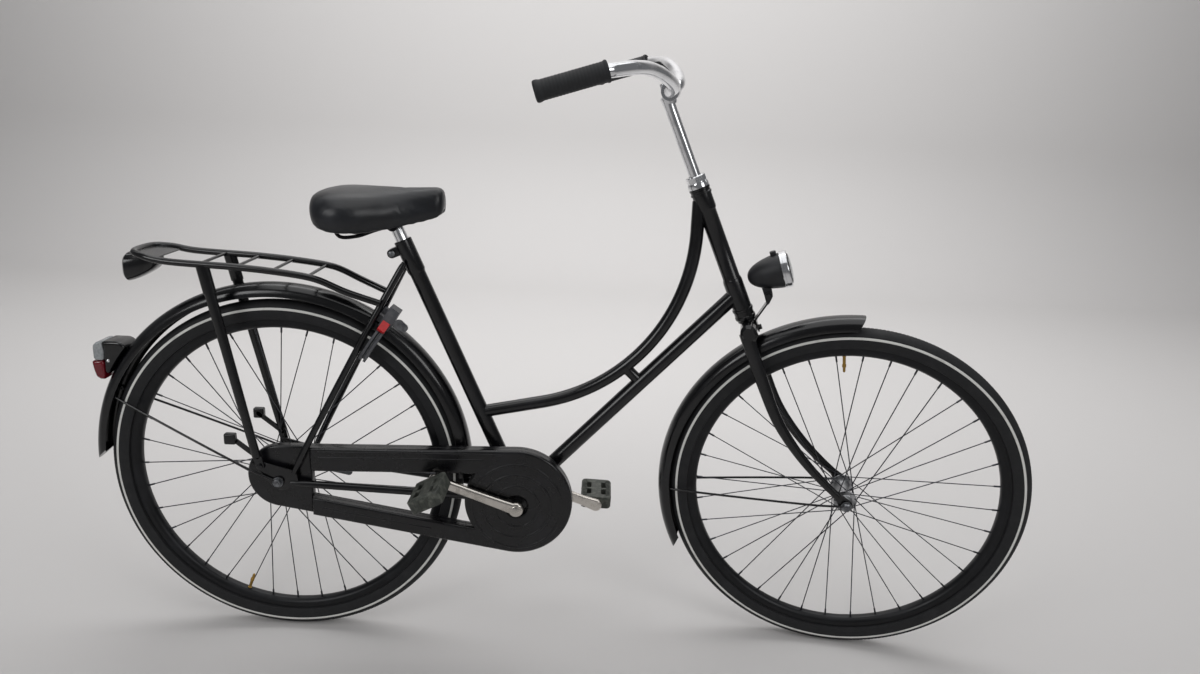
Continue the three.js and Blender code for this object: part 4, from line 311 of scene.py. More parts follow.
def superellipse(turn: Array, power: float) -> tuple[Array, Array]:
    """The points with |x|^power + |y|^power = 1, as their two coordinates.

    Args:
        turn: The angle of each point, in radians.
        power: The power.

    Returns:
        The places across and up.
    """
    across, up = np.cos(turn), np.sin(turn)
    power = 2 / power
    return np.sign(across) * np.abs(across) ** power, np.sign(up) * np.abs(up) ** power


def hull_loop(discs: Sequence[tuple[Array, float]], steps: int = 96) -> Array:
    """The outline stretched round discs of the side view: in each direction, the farthest point.

    Args:
        discs: The middle and the radius of each disc.
        steps: How many directions to look in.

    Returns:
        The outline, anticlockwise.
    """
    centres = np.array([[centre[0], centre[2]] for centre, _ in discs])
    radii = np.array([radius for _, radius in discs])
    turn = 2 * np.pi * np.arange(steps) / steps
    out = np.stack([np.cos(turn), np.sin(turn)], -1)
    best = np.argmax(centres @ out.T + radii[:, None], axis=0)
    return centres[best] + radii[best][:, None] * out


def inside(loop: Array, points: Array) -> Array:
    """Which points lie within a closed outline, by the even-odd rule.

    Args:
        loop: The outline.
        points: The points.

    Returns:
        True for each point that does.
    """
    after = np.roll(loop, -1, 0)
    x, y = points[:, 0, None], points[:, 1, None]
    spans = (loop[:, 1] > y) != (after[:, 1] > y)
    rise = np.where(after[:, 1] == loop[:, 1], 1e-9, after[:, 1] - loop[:, 1])
    crossing = loop[:, 0] + (y - loop[:, 1]) * (after[:, 0] - loop[:, 0]) / rise
    return (spans & (x < crossing)).sum(1) % 2 == 1


def inset_loop(loop: Array, inset: float) -> Array:
    """A loop drawn into the material that lies on its left, with mitred corners.

    Args:
        loop: The loop.
        inset: How far it is drawn in.

    Returns:
        The new loop.
    """
    edge = unit(np.roll(loop, -1, 0) - loop)
    after = np.stack([edge[:, 1], -edge[:, 0]], -1)
    before = np.roll(after, 1, 0)
    spread = 1 + np.clip((after * before).sum(1, keepdims=True), -0.5, 1)
    return loop - inset * (after + before) / spread


@dataclass(frozen=True)
class Plane:
    """Where a plate lies: its origin, the directions of its outline's two axes and its thickness'."""

    origin: Array
    right: Array
    up: Array
    out: Array

    def place(self, loop: Array, depth: float) -> Array:
        """An outline's points at a depth."""
        return self.origin + loop[:, :1] * self.right + loop[:, 1:] * self.up + depth * self.out


SIDE_VIEW = Plane(at(0, 0, 0), AHEAD, UP, LEFT)


def plate(
    loops: Sequence[Array],
    low: float,
    high: float,
    round_low: float = 0.0,
    round_high: float = 0.0,
    plane: Plane = SIDE_VIEW,
    segments: int = 4,
) -> Skin:
    """A flat plate with rounded edges and holes.

    Each edge's rounding is a quarter circle: at angle a the outline is drawn in by
    radius (1 - sin a) and lies radius (1 - cos a) from the face. The faces are triangulated.

    Args:
        loops: The outline, anticlockwise, and then the holes, clockwise.
        low: The depth of the first face.
        high: The depth of the second face.
        round_low: The rounding at the first face.
        round_high: The rounding at the second face.
        plane: Where the plate lies.
        segments: Steps in a rounding.

    Returns:
        The closed surface.
    """
    turn = np.linspace(0, np.pi / 2, segments + 1)
    start = np.stack([round_low * (1 - np.sin(turn)), low + round_low * (1 - np.cos(turn))], -1)
    end = np.stack([round_high * (1 - np.sin(turn)), high - round_high * (1 - np.cos(turn))], -1)[::-1]
    rows = np.vstack([start if round_low else [[0.0, low]], end if round_high else [[0.0, high]]])
    walls = [
        woven(np.stack([plane.place(inset_loop(loop, inset), depth) for inset, depth in rows]))
        for loop in loops
    ]
    caps = []
    for inset, depth in (rows[0], rows[-1]):
        drawn = [inset_loop(loop, inset) for loop in loops]
        corners = np.vstack(drawn)
        starts = np.cumsum([0] + [len(loop) for loop in drawn])
        edges = [
            (int(first + k), int(first + (k + 1) % len(loop)))
            for first, loop in zip(starts, drawn)
            for k in range(len(loop))
        ]
        found = geometry.delaunay_2d_cdt([tuple(p) for p in corners], edges, [], 1, 1e-5)
        spots = np.array([tuple(p) for p in found[0]])
        faces = np.array(found[2])
        middles = spots[faces].mean(1)
        kept = inside(drawn[0], middles)
        for hole in drawn[1:]:
            kept &= ~inside(hole, middles)
        caps.append(Skin(plane.place(spots, depth), [faces[kept]]))
    return joined([*walls, *caps])


def circle(
    centre: Sequence[float] | Array,
    radius: float,
    steps: int = 48,
    clockwise: bool = False,
) -> Array:
    """A round loop in a plate's own plane."""
    turn = 2 * np.pi * np.arange(steps) / steps * (-1 if clockwise else 1)
    return np.asarray(centre, float) + radius * np.stack([np.cos(turn), np.sin(turn)], -1)


def flat(place: Array) -> Array:
    """A place's two coordinates in the side view."""
    return np.array([place[0], place[2]])


def rounded_loop(centre: Sequence[float], size: Sequence[float], corner: float) -> Array:
    """A rectangle with round corners in a plate's own plane.

    Args:
        centre: Its middle.
        size: Its two lengths.
        corner: The radius of its corners.

    Returns:
        The loop, anticlockwise.
    """
    half = np.asarray(size, float) / 2
    turn = np.linspace(0, np.pi / 2, 5)
    signs = [((-1, -1), np.pi), ((1, -1), 1.5 * np.pi), ((1, 1), 0.0), ((-1, 1), np.pi / 2)]
    arcs = []
    for sign, start in signs:
        bend = np.stack([np.cos(turn + start), np.sin(turn + start)], -1)
        arcs.append(np.array(sign) * (half - corner) + corner * bend)
    return np.asarray(centre, float) + np.vstack(arcs)


def rounded_box(
    size: Sequence[float],
    centre: Array,
    right: Array,
    up: Array,
    rounding: float,
) -> Skin:
    """A box with rounded edges.

    Args:
        size: Its lengths along right, up and their cross direction.
        centre: Its middle.
        right: Its first direction.
        up: Its second direction.
        rounding: The radius of its edges.

    Returns:
        The surface.
    """
    where = Plane(centre, unit(right), unit(up), unit(np.cross(right, up)))
    outline = rounded_loop((0.0, 0.0), size[:2], rounding)
    return plate([outline], -size[2] / 2, size[2] / 2, rounding * 0.98, rounding * 0.98, where)


# ---- Finishes ----


def linear(hex_colour: str) -> tuple[float, float, float, float]:
    """A colour written as sRGB hex, as linear light.

    Args:
        hex_colour: A hash and six hex digits.

    Returns:
        Red, green, blue and full alpha.
    """
    levels = np.array([int(hex_colour[k : k + 2], 16) / 255 for k in (1, 3, 5)])
    light = np.where(levels <= 0.04045, levels / 12.92, ((levels + 0.055) / 1.055) ** 2.4)
    return (float(light[0]), float(light[1]), float(light[2]), 1.0)


def add_node(
    tree: bpy.types.NodeTree,
    kind: str,
    inputs: dict[str, object] | None = None,
    **settings: object,
) -> bpy.types.Node:
    """Adds a node.

    Args:
        tree: The material's node tree.
        kind: The node's type.
        inputs: For each input, a value or the socket that it is linked to.
        **settings: The node's own properties.

    Returns:
        The node.
    """
    node = tree.nodes.new(kind)
    for name, value in settings.items():
        setattr(node, name, value)
    for name, value in (inputs or {}).items():
        if isinstance(value, bpy.types.NodeSocket):
            tree.links.new(value, node.inputs[name])
        else:
            node.inputs[name].default_value = value
    return node


class Relief(Enum):
    """What the fine surface of a finish is made of."""

    FLECKS = "soft uneven flecks"
    CELLS = "small raised cells"
    STROKES = "fine strokes"


@dataclass(frozen=True)
class Finish:
    """One finish: its colours, gloss and the size of its fine surface."""

    name: str
    slot: str
    colour: str
    worn_colour: str
    roughness: Pair
    metallic: float = 0.0
    relief: Relief = Relief.FLECKS
    relief_size: float = 1.5
    relief_height: float = 0.03
    patch_size: float = 70.0
    worn_share: float = 0.62
    coat: float = 0.0
    coat_roughness: float = 0.08
    transmission: float = 0.0
    ior: float = 1.5
    glow: float = 0.0

    def material(self) -> bpy.types.Material:
        """The node material: patches of wear over the colour and gloss, and a fine relief.

        Returns:
            The material.
        """
        found = bpy.data.materials.get(self.name)
        if found:
            return found
        made = bpy.data.materials.new(self.name)
        made.use_nodes = True
        made.diffuse_color = linear(self.colour)
        tree = made.node_tree
        tree.nodes.clear()
        place = add_node(tree, "ShaderNodeTexCoord").outputs["Object"]
        noise = {"Vector": place, "Scale": 1 / (self.patch_size * MM), "Detail": 6.0, "Roughness": 0.62}
        patches = add_node(tree, "ShaderNodeTexNoise", noise).outputs["Fac"]
        ramp = add_node(tree, "ShaderNodeValToRGB", {"Fac": patches})
        fresh, worn = ramp.color_ramp.elements
        fresh.position, worn.position = self.worn_share - 0.14, self.worn_share + 0.16
        fresh.color, worn.color = linear(self.colour), linear(self.worn_colour)
        smooth, rough = self.roughness
        spread = {"Value": patches, "From Min": 0.3, "From Max": 0.75, "To Min": smooth, "To Max": rough}
        gloss = add_node(tree, "ShaderNodeMapRange", spread).outputs["Result"]
        fine = {"Height": self._height(tree, place), "Distance": self.relief_height * MM, "Strength": 1.0}
        inputs = {
            "Base Color": ramp.outputs["Color"],
            "Roughness": gloss,
            "Normal": add_node(tree, "ShaderNodeBump", fine).outputs["Normal"],
            "Metallic": self.metallic,
            "IOR": self.ior,
            "Coat Weight": self.coat,
            "Coat Roughness": self.coat_roughness,
            "Transmission Weight": self.transmission,
            "Emission Color": linear(self.colour),
            "Emission Strength": self.glow,
        }
        shader = add_node(tree, "ShaderNodeBsdfPrincipled", inputs)
        add_node(tree, "ShaderNodeOutputMaterial", {"Surface": shader.outputs["BSDF"]})
        return made

    def _height(self, tree: bpy.types.NodeTree, place: bpy.types.NodeSocket) -> bpy.types.NodeSocket:
        """The nodes of the fine relief.

        Args:
            tree: The material's node tree.
            place: The socket of each point's place on the object.

        Returns:
            The socket of the relief's height.
        """
        scale = 1 / (self.relief_size * MM)
        if self.relief is Relief.CELLS:
            cells = {"Vector": place, "Scale": scale, "Randomness": 0.9}
            made = add_node(tree, "ShaderNodeTexVoronoi", cells, feature="DISTANCE_TO_EDGE")
            return made.outputs["Distance"]
        if self.relief is Relief.STROKES:
            stretched = {"Vector": place, "Scale": (1.0, 0.12, 0.5)}
            place = add_node(tree, "ShaderNodeMapping", stretched).outputs["Vector"]
        flecks = {"Vector": place, "Scale": scale, "Detail": 3.0}
        return add_node(tree, "ShaderNodeTexNoise", flecks).outputs["Fac"]


# Stoved enamel on steel: deep black with sharp reflections, dulled by dust in patches.
ENAMEL = Finish(
    "stoved_black_enamel", "black_paint", "#060608", "#121317", (0.14, 0.3),
    relief_size=9.0, relief_height=0.04, coat=0.1, patch_size=90.0,
)
# Vacuum-formed hard plastic of the chain case: black, a little softer in its reflections.
CASE_PLASTIC = Finish(
    "moulded_black_case", "case_black", "#070709", "#141419", (0.2, 0.36),
    relief_size=18.0, relief_height=0.1, patch_size=60.0,
)
# Black anodised rim: a dark metal with a soft sheen and brake-free sides.
RIM_METAL = Finish(
    "black_anodised_rim", "rim_black", "#0e0f12", "#1e1f23", (0.3, 0.5),
    metallic=0.4, relief=Relief.STROKES, relief_size=2.0,
)
# Tyre rubber: dull charcoal with road dust in its patches.
TYRE_RUBBER = Finish(
    "vulcanised_tyre_rubber", "tyre", "#0f1013", "#2b2b2d", (0.6, 0.85),
    relief_size=1.2, relief_height=0.12, patch_size=40.0, worn_share=0.66,
)
# Reflective band moulded into the sidewall: off-white, slightly soiled.
WHITE_BAND = Finish(
    "reflective_sidewall_band", "tyre", "#dcdcd8", "#a9a9a4", (0.45, 0.65),
    relief_size=1.0, relief_height=0.04, patch_size=30.0, worn_share=0.7,
)
# Chromium plate: a bright mirror with faint haze.
CHROME = Finish(
    "chromium_plate", "chrome", "#e4e5e7", "#b9babd", (0.06, 0.22),
    metallic=1.0, relief=Relief.STROKES, relief_size=3.0, relief_height=0.01, patch_size=35.0,
)
# Cast aluminium of the hubs: grey with a soft, uneven sheen.
CAST_ALLOY = Finish(
    "cast_aluminium", "alloy", "#b4b5b7", "#7d7e80", (0.28, 0.5),
    metallic=1.0, relief_size=1.2, relief_height=0.05, patch_size=18.0, worn_share=0.55,
)
# Zinc-plated steel of spokes, nuts and arms: mid grey, going dull.
ZINC_STEEL = Finish(
    "zinc_plated_steel", "steel", "#8b8d90", "#55565a", (0.32, 0.55),
    metallic=1.0, relief_size=1.0, relief_height=0.04, patch_size=14.0, worn_share=0.55,
)
# Galvanised spoke wire, dull with age: it reads as thin dark lines.
SPOKE_STEEL = Finish(
    "galvanised_spoke_wire", "steel", "#4c4d51", "#35363a", (0.35, 0.55), metallic=1.0, patch_size=20.0,
)
# Spring steel of the saddle's rails, blued black.
BLUED_STEEL = Finish(
    "blued_spring_steel", "steel", "#1d1c1f", "#3a3531", (0.3, 0.5), metallic=0.8, patch_size=16.0,
)
# Forged aluminium of the cranks: warm silver with a satin polish.
SATIN_ALLOY = Finish(
    "forged_satin_aluminium", "chrome", "#d3cec7", "#a29d96", (0.18, 0.34),
    metallic=1.0, relief=Relief.STROKES, relief_size=2.5, relief_height=0.015, patch_size=24.0,
)
# Smoked hard plastic of the piece at the rack's end: black and glossy.
GLOSS_BLACK = Finish(
    "glossy_black_plastic", "black_plastic", "#08080a", "#151518", (0.12, 0.26), coat=0.15, patch_size=30.0,
)
# Brass of the tyre valve: warm yellow under a dull film.
VALVE_BRASS = Finish(
    "valve_brass", "steel", "#b08d4a", "#6e5a34", (0.3, 0.5), metallic=1.0, patch_size=8.0,
)
# Soft rubber of the grips: near black, matt, with a fine pebbled surface.
GRIP_RUBBER = Finish(
    "pebbled_grip_rubber", "grip_rubber", "#18191c", "#2b2c30", (0.55, 0.75),
    relief=Relief.CELLS, relief_size=2.2, relief_height=0.25, patch_size=40.0,
)
# Vinyl over foam: black with a leather grain and a soft shine.
SADDLE_VINYL = Finish(
    "grained_saddle_vinyl", "saddle_vinyl", "#0f1115", "#1c1f25", (0.3, 0.42),
    relief=Relief.CELLS, relief_size=1.4, relief_height=0.08, patch_size=90.0,
)
# Injection-moulded plastic: black with a fine spark-eroded texture.
MOULDED_BLACK = Finish(
    "moulded_black_plastic", "black_plastic", "#111216", "#232428", (0.36, 0.55),
    relief_size=0.9, relief_height=0.06, patch_size=50.0,
)
# Filled resin of the pedals: grey-black, scuffed paler on its edges and treads.
PEDAL_RESIN = Finish(
    "scuffed_pedal_resin", "pedal_resin", "#353833", "#6a6c64", (0.5, 0.75),
    relief_size=0.8, relief_height=0.12, patch_size=12.0, worn_share=0.6,
)
# Grey moulded housing of the lock.
GREY_MOULDED = Finish(
    "moulded_grey_plastic", "grey_plastic", "#4b4c50", "#6c6d70", (0.4, 0.6),
    relief_size=0.9, relief_height=0.06, patch_size=20.0,
)
# Red ABS of the lock's knob.
RED_ABS = Finish("red_abs", "red_plastic", "#c21a1f", "#9c1418", (0.25, 0.4), patch_size=15.0)
# Tail lamp's red acrylic: deep, glossy and a little clear.
RED_ACRYLIC = Finish(
    "red_acrylic_lens", "red_lens", "#74061a", "#5c0512", (0.06, 0.14),
    coat=0.4, transmission=0.25, ior=1.49, relief_size=4.0, relief_height=0.2, patch_size=20.0, glow=0.02,
)
# Reflector's clear acrylic over its small prisms: pale grey with bright cells.
CLEAR_PRISMS = Finish(
    "prism_reflector", "clear_lens", "#9a9ea0", "#6f7477", (0.1, 0.25),
    relief=Relief.CELLS, relief_size=3.0, relief_height=0.6, coat=0.6, patch_size=10.0,
)
# Headlamp glass: clear polycarbonate.
LAMP_GLASS = Finish(
    "clear_polycarbonate", "clear_lens", "#f4f7f8", "#eef2f3", (0.02, 0.06),
    transmission=1.0, ior=1.45, relief_size=6.0, relief_height=0.05,
)
# Aluminised bowl behind the glass.
MIRROR_BOWL = Finish(
    "aluminised_bowl", "clear_lens", "#eceeef", "#d4d6d8", (0.08, 0.16), metallic=1.0, patch_size=25.0,
)


# ---- Pieces ----


def new_mesh(name: str, skin: Skin) -> bpy.types.Mesh:
    """A mesh in metres from a surface.

    Args:
        name: The mesh's name.
        skin: The surface.

    Returns:
        The mesh.
    """
    made = bpy.data.meshes.new(name)
    faces = [face for group in skin.faces for face in group.tolist()]
    made.from_pydata((skin.points * MM).tolist(), [], faces)
    return made


def new_object(name: str, data: bpy.types.ID) -> bpy.types.Object:
    """Puts an object into the scene.

    Args:
        name: The object's name.
        data: Its mesh, light or camera.

    Returns:
        The object.
    """
    made = bpy.data.objects.new(name, data)
    bpy.context.scene.collection.objects.link(made)
    return made


def add_piece(
    name: str,
    skin: Skin,
    finish: Finish,
    body: str,
    replaces: Sequence[str] = (),
) -> bpy.types.Object:
    """Makes a piece of the object from a surface.

    Args:
        name: The piece's name.
        skin: Its closed surface, in millimetres.
        finish: Its finish.
        body: The body that it rides on.
        replaces: The nodes that it stands for.

    Returns:
        The new object.
    """
    mesh = new_mesh(name, skin)
    shape = bmesh.new()
    shape.from_mesh(mesh)
    bmesh.ops.remove_doubles(shape, verts=shape.verts, dist=0.004 * MM)
    bmesh.ops.dissolve_degenerate(shape, edges=shape.edges, dist=0.001 * MM)
    bmesh.ops.recalc_face_normals(shape, faces=shape.faces)
    shape.to_mesh(mesh)
    shape.free()
    mesh.polygons.foreach_set("use_smooth", np.ones(len(mesh.polygons), bool))
    mesh.set_sharp_from_angle(angle=np.radians(SHARP_DEGREES))
    mesh.materials.append(finish.material())
    made = new_object(name, mesh)
    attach(made, body)
    if replaces:
        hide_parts(*replaces)
    LOG.info("%s: %d faces on %s", name, len(mesh.polygons), body)
    return made


def dress_node(frame: dict, name: str, finish: Finish) -> None:
    """Gives a solid that stays a finish and smooth shading.

    Args:
        name: The node's name.
        finish: Its finish.
    """
    node = frame["nodes"][name]
    node.data.materials.clear()
    node.data.materials.append(finish.material())
    node.data.polygons.foreach_set("use_smooth", np.ones(len(node.data.polygons), bool))
    weld = node.modifiers.new("weld", "WELD")
    weld.merge_threshold = 0.02 * MM
    split = node.modifiers.new("sharp", "EDGE_SPLIT")
    split.split_angle = np.radians(KEPT_SHARP_DEGREES)
    LOG.info("%s: kept, %s", name, finish.name)


# ---- The bike's shared places ----


@dataclass(frozen=True)
class Layout:
    """The places and sizes that the sub-assemblies share, in millimetres and degrees."""

    wheel_radius: float = 356.0
    wheelbase: float = 1136.0
    front_space: float = 50.0
    rear_space: float = 60.0
    dropout_thickness: float = 4.4
    axle_hole: float = 5.1
    bracket_x: float = 471.0
    bracket_height: float = 320.0
    seat_degrees: float = 66.05
    head_degrees: float = 66.2
    steer_degrees: float = -10.27
    fork_rake: float = 67.0
    fork_length: float = 418.0
    lower_cup: float = 23.4
    head_length: float = 234.0
    upper_cup: float = 12.0
    adjusting_cup: float = 12.6
    locknut: float = 12.0
    guard_radius: float = 380.0
    guard_shift: Pair = (-4.0, 10.0)
    eyelet_place: Pair = (-33.0, 389.0)

    @property
    def rear_axle(self) -> Array:
        """The middle of the rear axle."""
        return at(0, 0, self.wheel_radius)

    @property
    def front_axle(self) -> Array:
        """The middle of the front axle with the wheel straight."""
        return at(self.wheelbase, 0, self.wheel_radius)

    @property
    def rear_guard(self) -> Array:
        """The middle of the rear mudguard's arc."""
        return self.rear_axle + self.guard_shift[0] * AHEAD + self.guard_shift[1] * UP

    @property
    def eyelet(self) -> Array:
        """The middle of the rack's eyelets on the dropouts."""
        return at(self.eyelet_place[0], 0, self.eyelet_place[1])

    @property
    def bracket(self) -> Array:
        """The middle of the bottom bracket."""
        return at(self.bracket_x, 0, self.bracket_height)

    @property
    def head_up(self) -> Array:
        """The steering axis' direction."""
        return heading(180 - self.head_degrees)

    @property
    def head_ahead(self) -> Array:
        """The direction forward, square to the steering axis."""
        return heading(90 - self.head_degrees)

    @property
    def steer_base(self) -> Array:
        """The steering axis' point nearest the front axle."""
        return self.front_axle - self.fork_rake * self.head_ahead

    @property
    def head_bottom(self) -> float:
        """The head tube's lower end along the steering axis."""
        return self.fork_length + self.lower_cup

    @property
    def head_top(self) -> float:
        """The head tube's upper end along the steering axis."""
        return self.head_bottom + self.head_length

    @property
    def locknut_top(self) -> float:
        """The locknut's upper end along the steering axis."""
        return self.head_top + self.upper_cup + self.adjusting_cup + self.locknut

    def head(self, up: float, ahead: float = 0.0, left: float = 0.0) -> Array:
        """A place of the steering assembly, by its distances up the axis, ahead and to the left."""
        return self.steer_base + up * self.head_up + ahead * self.head_ahead + left * LEFT

    def seat(self, up: float, ahead: float = 0.0, left: float = 0.0) -> Array:
        """A place near the seat tube, by its distances up the tube, ahead and to the left."""
        rise, front = heading(180 - self.seat_degrees), heading(90 - self.seat_degrees)
        return self.bracket + up * rise + ahead * front + left * LEFT

    def steered(self, skin: Skin) -> Skin:
        """A surface of the steering assembly, turned as the wheel stands in the photograph."""
        return skin.turned(rotation(self.head_up, self.steer_degrees), self.steer_base)


BIKE = Layout()


def polar(centre: Array, radius: float | Array, degrees: float | Array, left: float | Array = 0.0) -> Array:
    """Places at a distance and an angle from a centre in the side view."""
    return centre + np.asarray(radius)[..., None] * heading(degrees) + np.asarray(left)[..., None] * LEFT


# ---- Wheels ----


@dataclass
class Wheel:
    """A spoked wheel: tyre, rim, hub, spokes, valve and axle."""

    name: str
    body: str
    axle_body: str
    centre: Array
    steers: bool
    flange: float
    flange_offset: float
    barrel: float
    hub_half: float
    hub_space: float
    valve_degrees: float
    tyre_width: float = 40.0
    tyre_power: float = 2.3
    tyre_middle: float = 334.5
    tread_pitch: float = 7.5
    tread_depth: float = 1.1
    band_radius: float = 340.5
    band_width: float = 4.6
    bead_radius: float = 317.0
    rim_inner: float = 299.5
    rim_flange: float = 321.0
    rim_width: float = 26.6
    spoke_radius: float = 1.1
    spoke_count: int = 36
    spoke_cross: float = 62.0
    spoke_lean: float = 1.7
    nipple_length: float = 13.0
    flange_thickness: float = 3.2
    axle_radius: float = 4.6
    washer_thickness: float = 1.6
    nut_length: float = 7.0

    def build(self) -> None:
        """Makes every piece of the wheel."""
        self._add("tyre", self._tyre(), TYRE_RUBBER, self.body, [f"{self.name}_tyre"])
        self._add("tyre_band", self._band(), WHITE_BAND, self.body)
        self._add("rim", self._rim(), RIM_METAL, self.body, [f"{self.name}_rim"])
        self._add("hub_shell", self._shell(), CAST_ALLOY, self.body, [f"{self.name}_hub"])
        self._add("spokes", self._spokes(), SPOKE_STEEL, self.body)
        self._add("valve", self._valve(), VALVE_BRASS, self.body)
        self._add("axle_nuts", self._axle(), ZINC_STEEL, self.axle_body, [f"{self.name}_axle"])

    def _add(self, part: str, skin: Skin, finish: Finish, body: str, nodes: Sequence[str] = ()) -> None:
        """Moves a wheel's surface to its axle and makes it a piece.

        Args:
            part: The piece's name after the wheel's.
            skin: Its surface, about the axle's middle.
            finish: Its finish.
            body: The body that it rides on.
            nodes: The nodes that it stands for.
        """
        placed = skin.moved(self.centre)
        placed = BIKE.steered(placed) if self.steers else placed
        add_piece(f"{self.name}_{part}", placed, finish, body, nodes)

    def _tyre_profile(self, count: int = 22) -> Array:
        """The casing's outline over the rim: a superellipse |y / a|^2.3 + |(r - r0) / b|^2.3 = 1.

        Args:
            count: How many points run from bead to bead.

        Returns:
            Radius and place across of each point.
        """
        across, up = superellipse(np.linspace(-0.16 * np.pi, 1.16 * np.pi, count), self.tyre_power)
        crown = BIKE.wheel_radius - self.tyre_middle
        below = (self.tyre_middle - self.rim_flange + 2.0) * 1.9
        radius = self.tyre_middle + np.where(up > 0, up * crown, up * below)
        return np.stack([radius, across * self.tyre_width / 2], -1)

    def _tyre(self) -> Skin:
        """A rounded casing with shallow tread blocks.

        The tread is drawn in where a slanted cosine wave round the tyre is low, outside a rib along
        the middle and above the shoulders, so that rows of blocks stand between grooves.

        Returns:
            The surface.
        """
        bead = self.rim_width / 2 - 2.0
        ends = [[[self.bead_radius, bead]], [[self.bead_radius, -bead]]]
        profile = np.vstack([ends[0], self._tyre_profile(), ends[1]])
        blocks = 2 * np.pi * BIKE.wheel_radius / self.tread_pitch
        steps = int(blocks) * 4
        turn = 2 * np.pi * np.arange(steps) / steps
        radius = np.repeat(profile[None, :, 0], steps, 0)
        across = np.repeat(profile[None, :, 1], steps, 0)
        slant = np.abs(across) / self.tread_pitch * 1.6
        wave = np.cos(turn[:, None] * np.round(blocks) + slant * np.pi)
        crown = np.clip((radius - (BIKE.wheel_radius - 7.0)) / 3.0, 0, 1)
        beside_rib = np.clip(np.abs(across) / 2.5 - 0.6, 0, 1)
        groove = crown * beside_rib * np.clip(-wave - 0.35, 0, 1) * 1.5
        radius = radius - np.minimum(groove, self.tread_depth)
        out = np.stack([np.cos(turn), np.zeros(steps), np.sin(turn)], -1)
        return woven(radius[:, :, None] * out[:, None] + across[:, :, None] * LEFT, True, True)

    def _band(self) -> Skin:
        """Flat raised bands on both sidewalls, following the casing's outline.

        Returns:
            The surface.
        """
        profile = self._tyre_profile(400)
        half = self.band_width / 2
        radii = np.linspace(self.band_radius - half, self.band_radius + half, 5)
        rise = np.array([0.02, 0.35, 0.4, 0.35, 0.02])
        skins = []
        for hand, _ in HANDS:
            wall = profile[profile[:, 1] * hand > 0]
            wall = wall[np.argsort(wall[:, 0])]
            out = np.interp(radii, wall[:, 0], np.abs(wall[:, 1]))
            top = np.stack([radii, hand * (out + rise)], -1)
            under = np.stack([radii, hand * (out - 0.8)], -1)[::-1]
            skins.append(lathe(np.vstack([top, under]), ORIGIN, LEFT, 240))
        return joined(skins)

    def _rim(self) -> Skin:
        """A hooked channel with a rounded back.

        Returns:
            The surface.
        """
        half, inner, flange = self.rim_width / 2, self.rim_inner, self.rim_flange
        left = [
            [inner, 0], [inner, 0.3 * half], [inner + 1.6, 0.58 * half], [inner + 5, 0.86 * half],
            [inner + 8, 0.97 * half], [inner + 11, half], [flange - 0.6, half], [flange, half - 0.5],
            [flange, half - 1.3], [flange - 1, half - 1.7], [self.bead_radius - 0.3, half - 1.7],
        ]
        return lathe([*left, *mirrored(left[1:])], ORIGIN, LEFT, 220)

    def _shell(self) -> Skin:
        """The hub's turned shell with its two flanges and end caps.

        Returns:
            The surface.
        """
        barrel, flange, end = self.barrel, self.flange, self.hub_half
        inner = self.flange_offset - self.flange_thickness / 2
        outer = self.flange_offset + self.flange_thickness / 2
        left = [
            [barrel * 0.94, self.flange_offset * 0.4], [barrel, inner - 2.5], [barrel + 1.5, inner],
            [flange - 0.7, inner], [flange, inner + 0.7], [flange, outer - 0.7], [flange - 0.7, outer],
            [barrel + 1, outer], [barrel, outer + 0.6], [12.5, outer + 3], [11.4, end - 1.2], [10.2, end],
            [5.4, end],
        ]
        return lathe([*mirrored(left), *left], ORIGIN, LEFT, 64)

    def _spokes(self) -> Skin:
        """Crossed spokes with their heads and nipples.

        Returns:
            The surface.
        """
        number = np.arange(self.spoke_count)
        hand = np.where(number % 2, 1.0, -1.0)
        lean = np.where(number % 4 < 2, 1.0, -1.0)
        turn = 360.0 * number / self.spoke_count
        flange_y = hand * (self.flange_offset + lean * self.spoke_lean)
        start = polar(ORIGIN, self.flange - 3.2, turn + lean * self.spoke_cross, flange_y)
        end = polar(ORIGIN, self.rim_inner + 1.0, turn, hand)
        head = start - (hand * lean)[:, None] * LEFT * 2.6
        nipple = end - unit(end - start) * self.nipple_length
        return joined([
            rods(start, end, self.spoke_radius),
            rods(head, start, 1.7),
            rods(nipple, end, 1.9, 8),
        ])

    def _valve(self) -> Skin:
        """A valve stem with its cap, standing in from the rim.

        Returns:
            The surface.
        """
        profile = [
            [0, -2], [4, -2], [4, 4], [3, 4.5], [3, 20], [3.9, 20.5], [3.9, 26], [2.6, 27], [2.6, 35],
            [1.8, 36.5], [0, 36.5],
        ]
        out = heading(self.valve_degrees)
        return lathe(profile, out * (self.rim_inner + 2), -out, 20)

    def _axle(self) -> Skin:
        """The axle with cones, washers and hexagonal domed nuts at both ends.

        Returns:
            The surface.
        """
        bore, space = self.axle_radius, self.hub_space
        washer = space + BIKE.dropout_thickness + 2.6
        nut = washer + self.washer_thickness
        tip = nut + self.nut_length
        cone = [[bore, space - 4.8], [9.5, space - 4.2], [9.5, space - 0.3], [bore, space - 0.3]]
        disc = [
            [bore, washer], [10.3, washer], [10.5, washer + 0.4], [10.5, nut - 0.4], [10.3, nut],
            [bore, nut],
        ]
        dome = [[bore, nut], [9, nut], [9, nut + 5.2], [7.4, tip], [bore, tip]]
        skins = [cross_rod(ORIGIN, bore, -tip - 2, tip + 2)]
        for hand, _ in HANDS:
            for profile, steps in ((cone, 32), (disc, 36), (dome, 6)):
                skins.append(lathe(np.array(profile) * [1, hand], ORIGIN, LEFT, steps))
        return joined(skins)


# ---- Frame ----


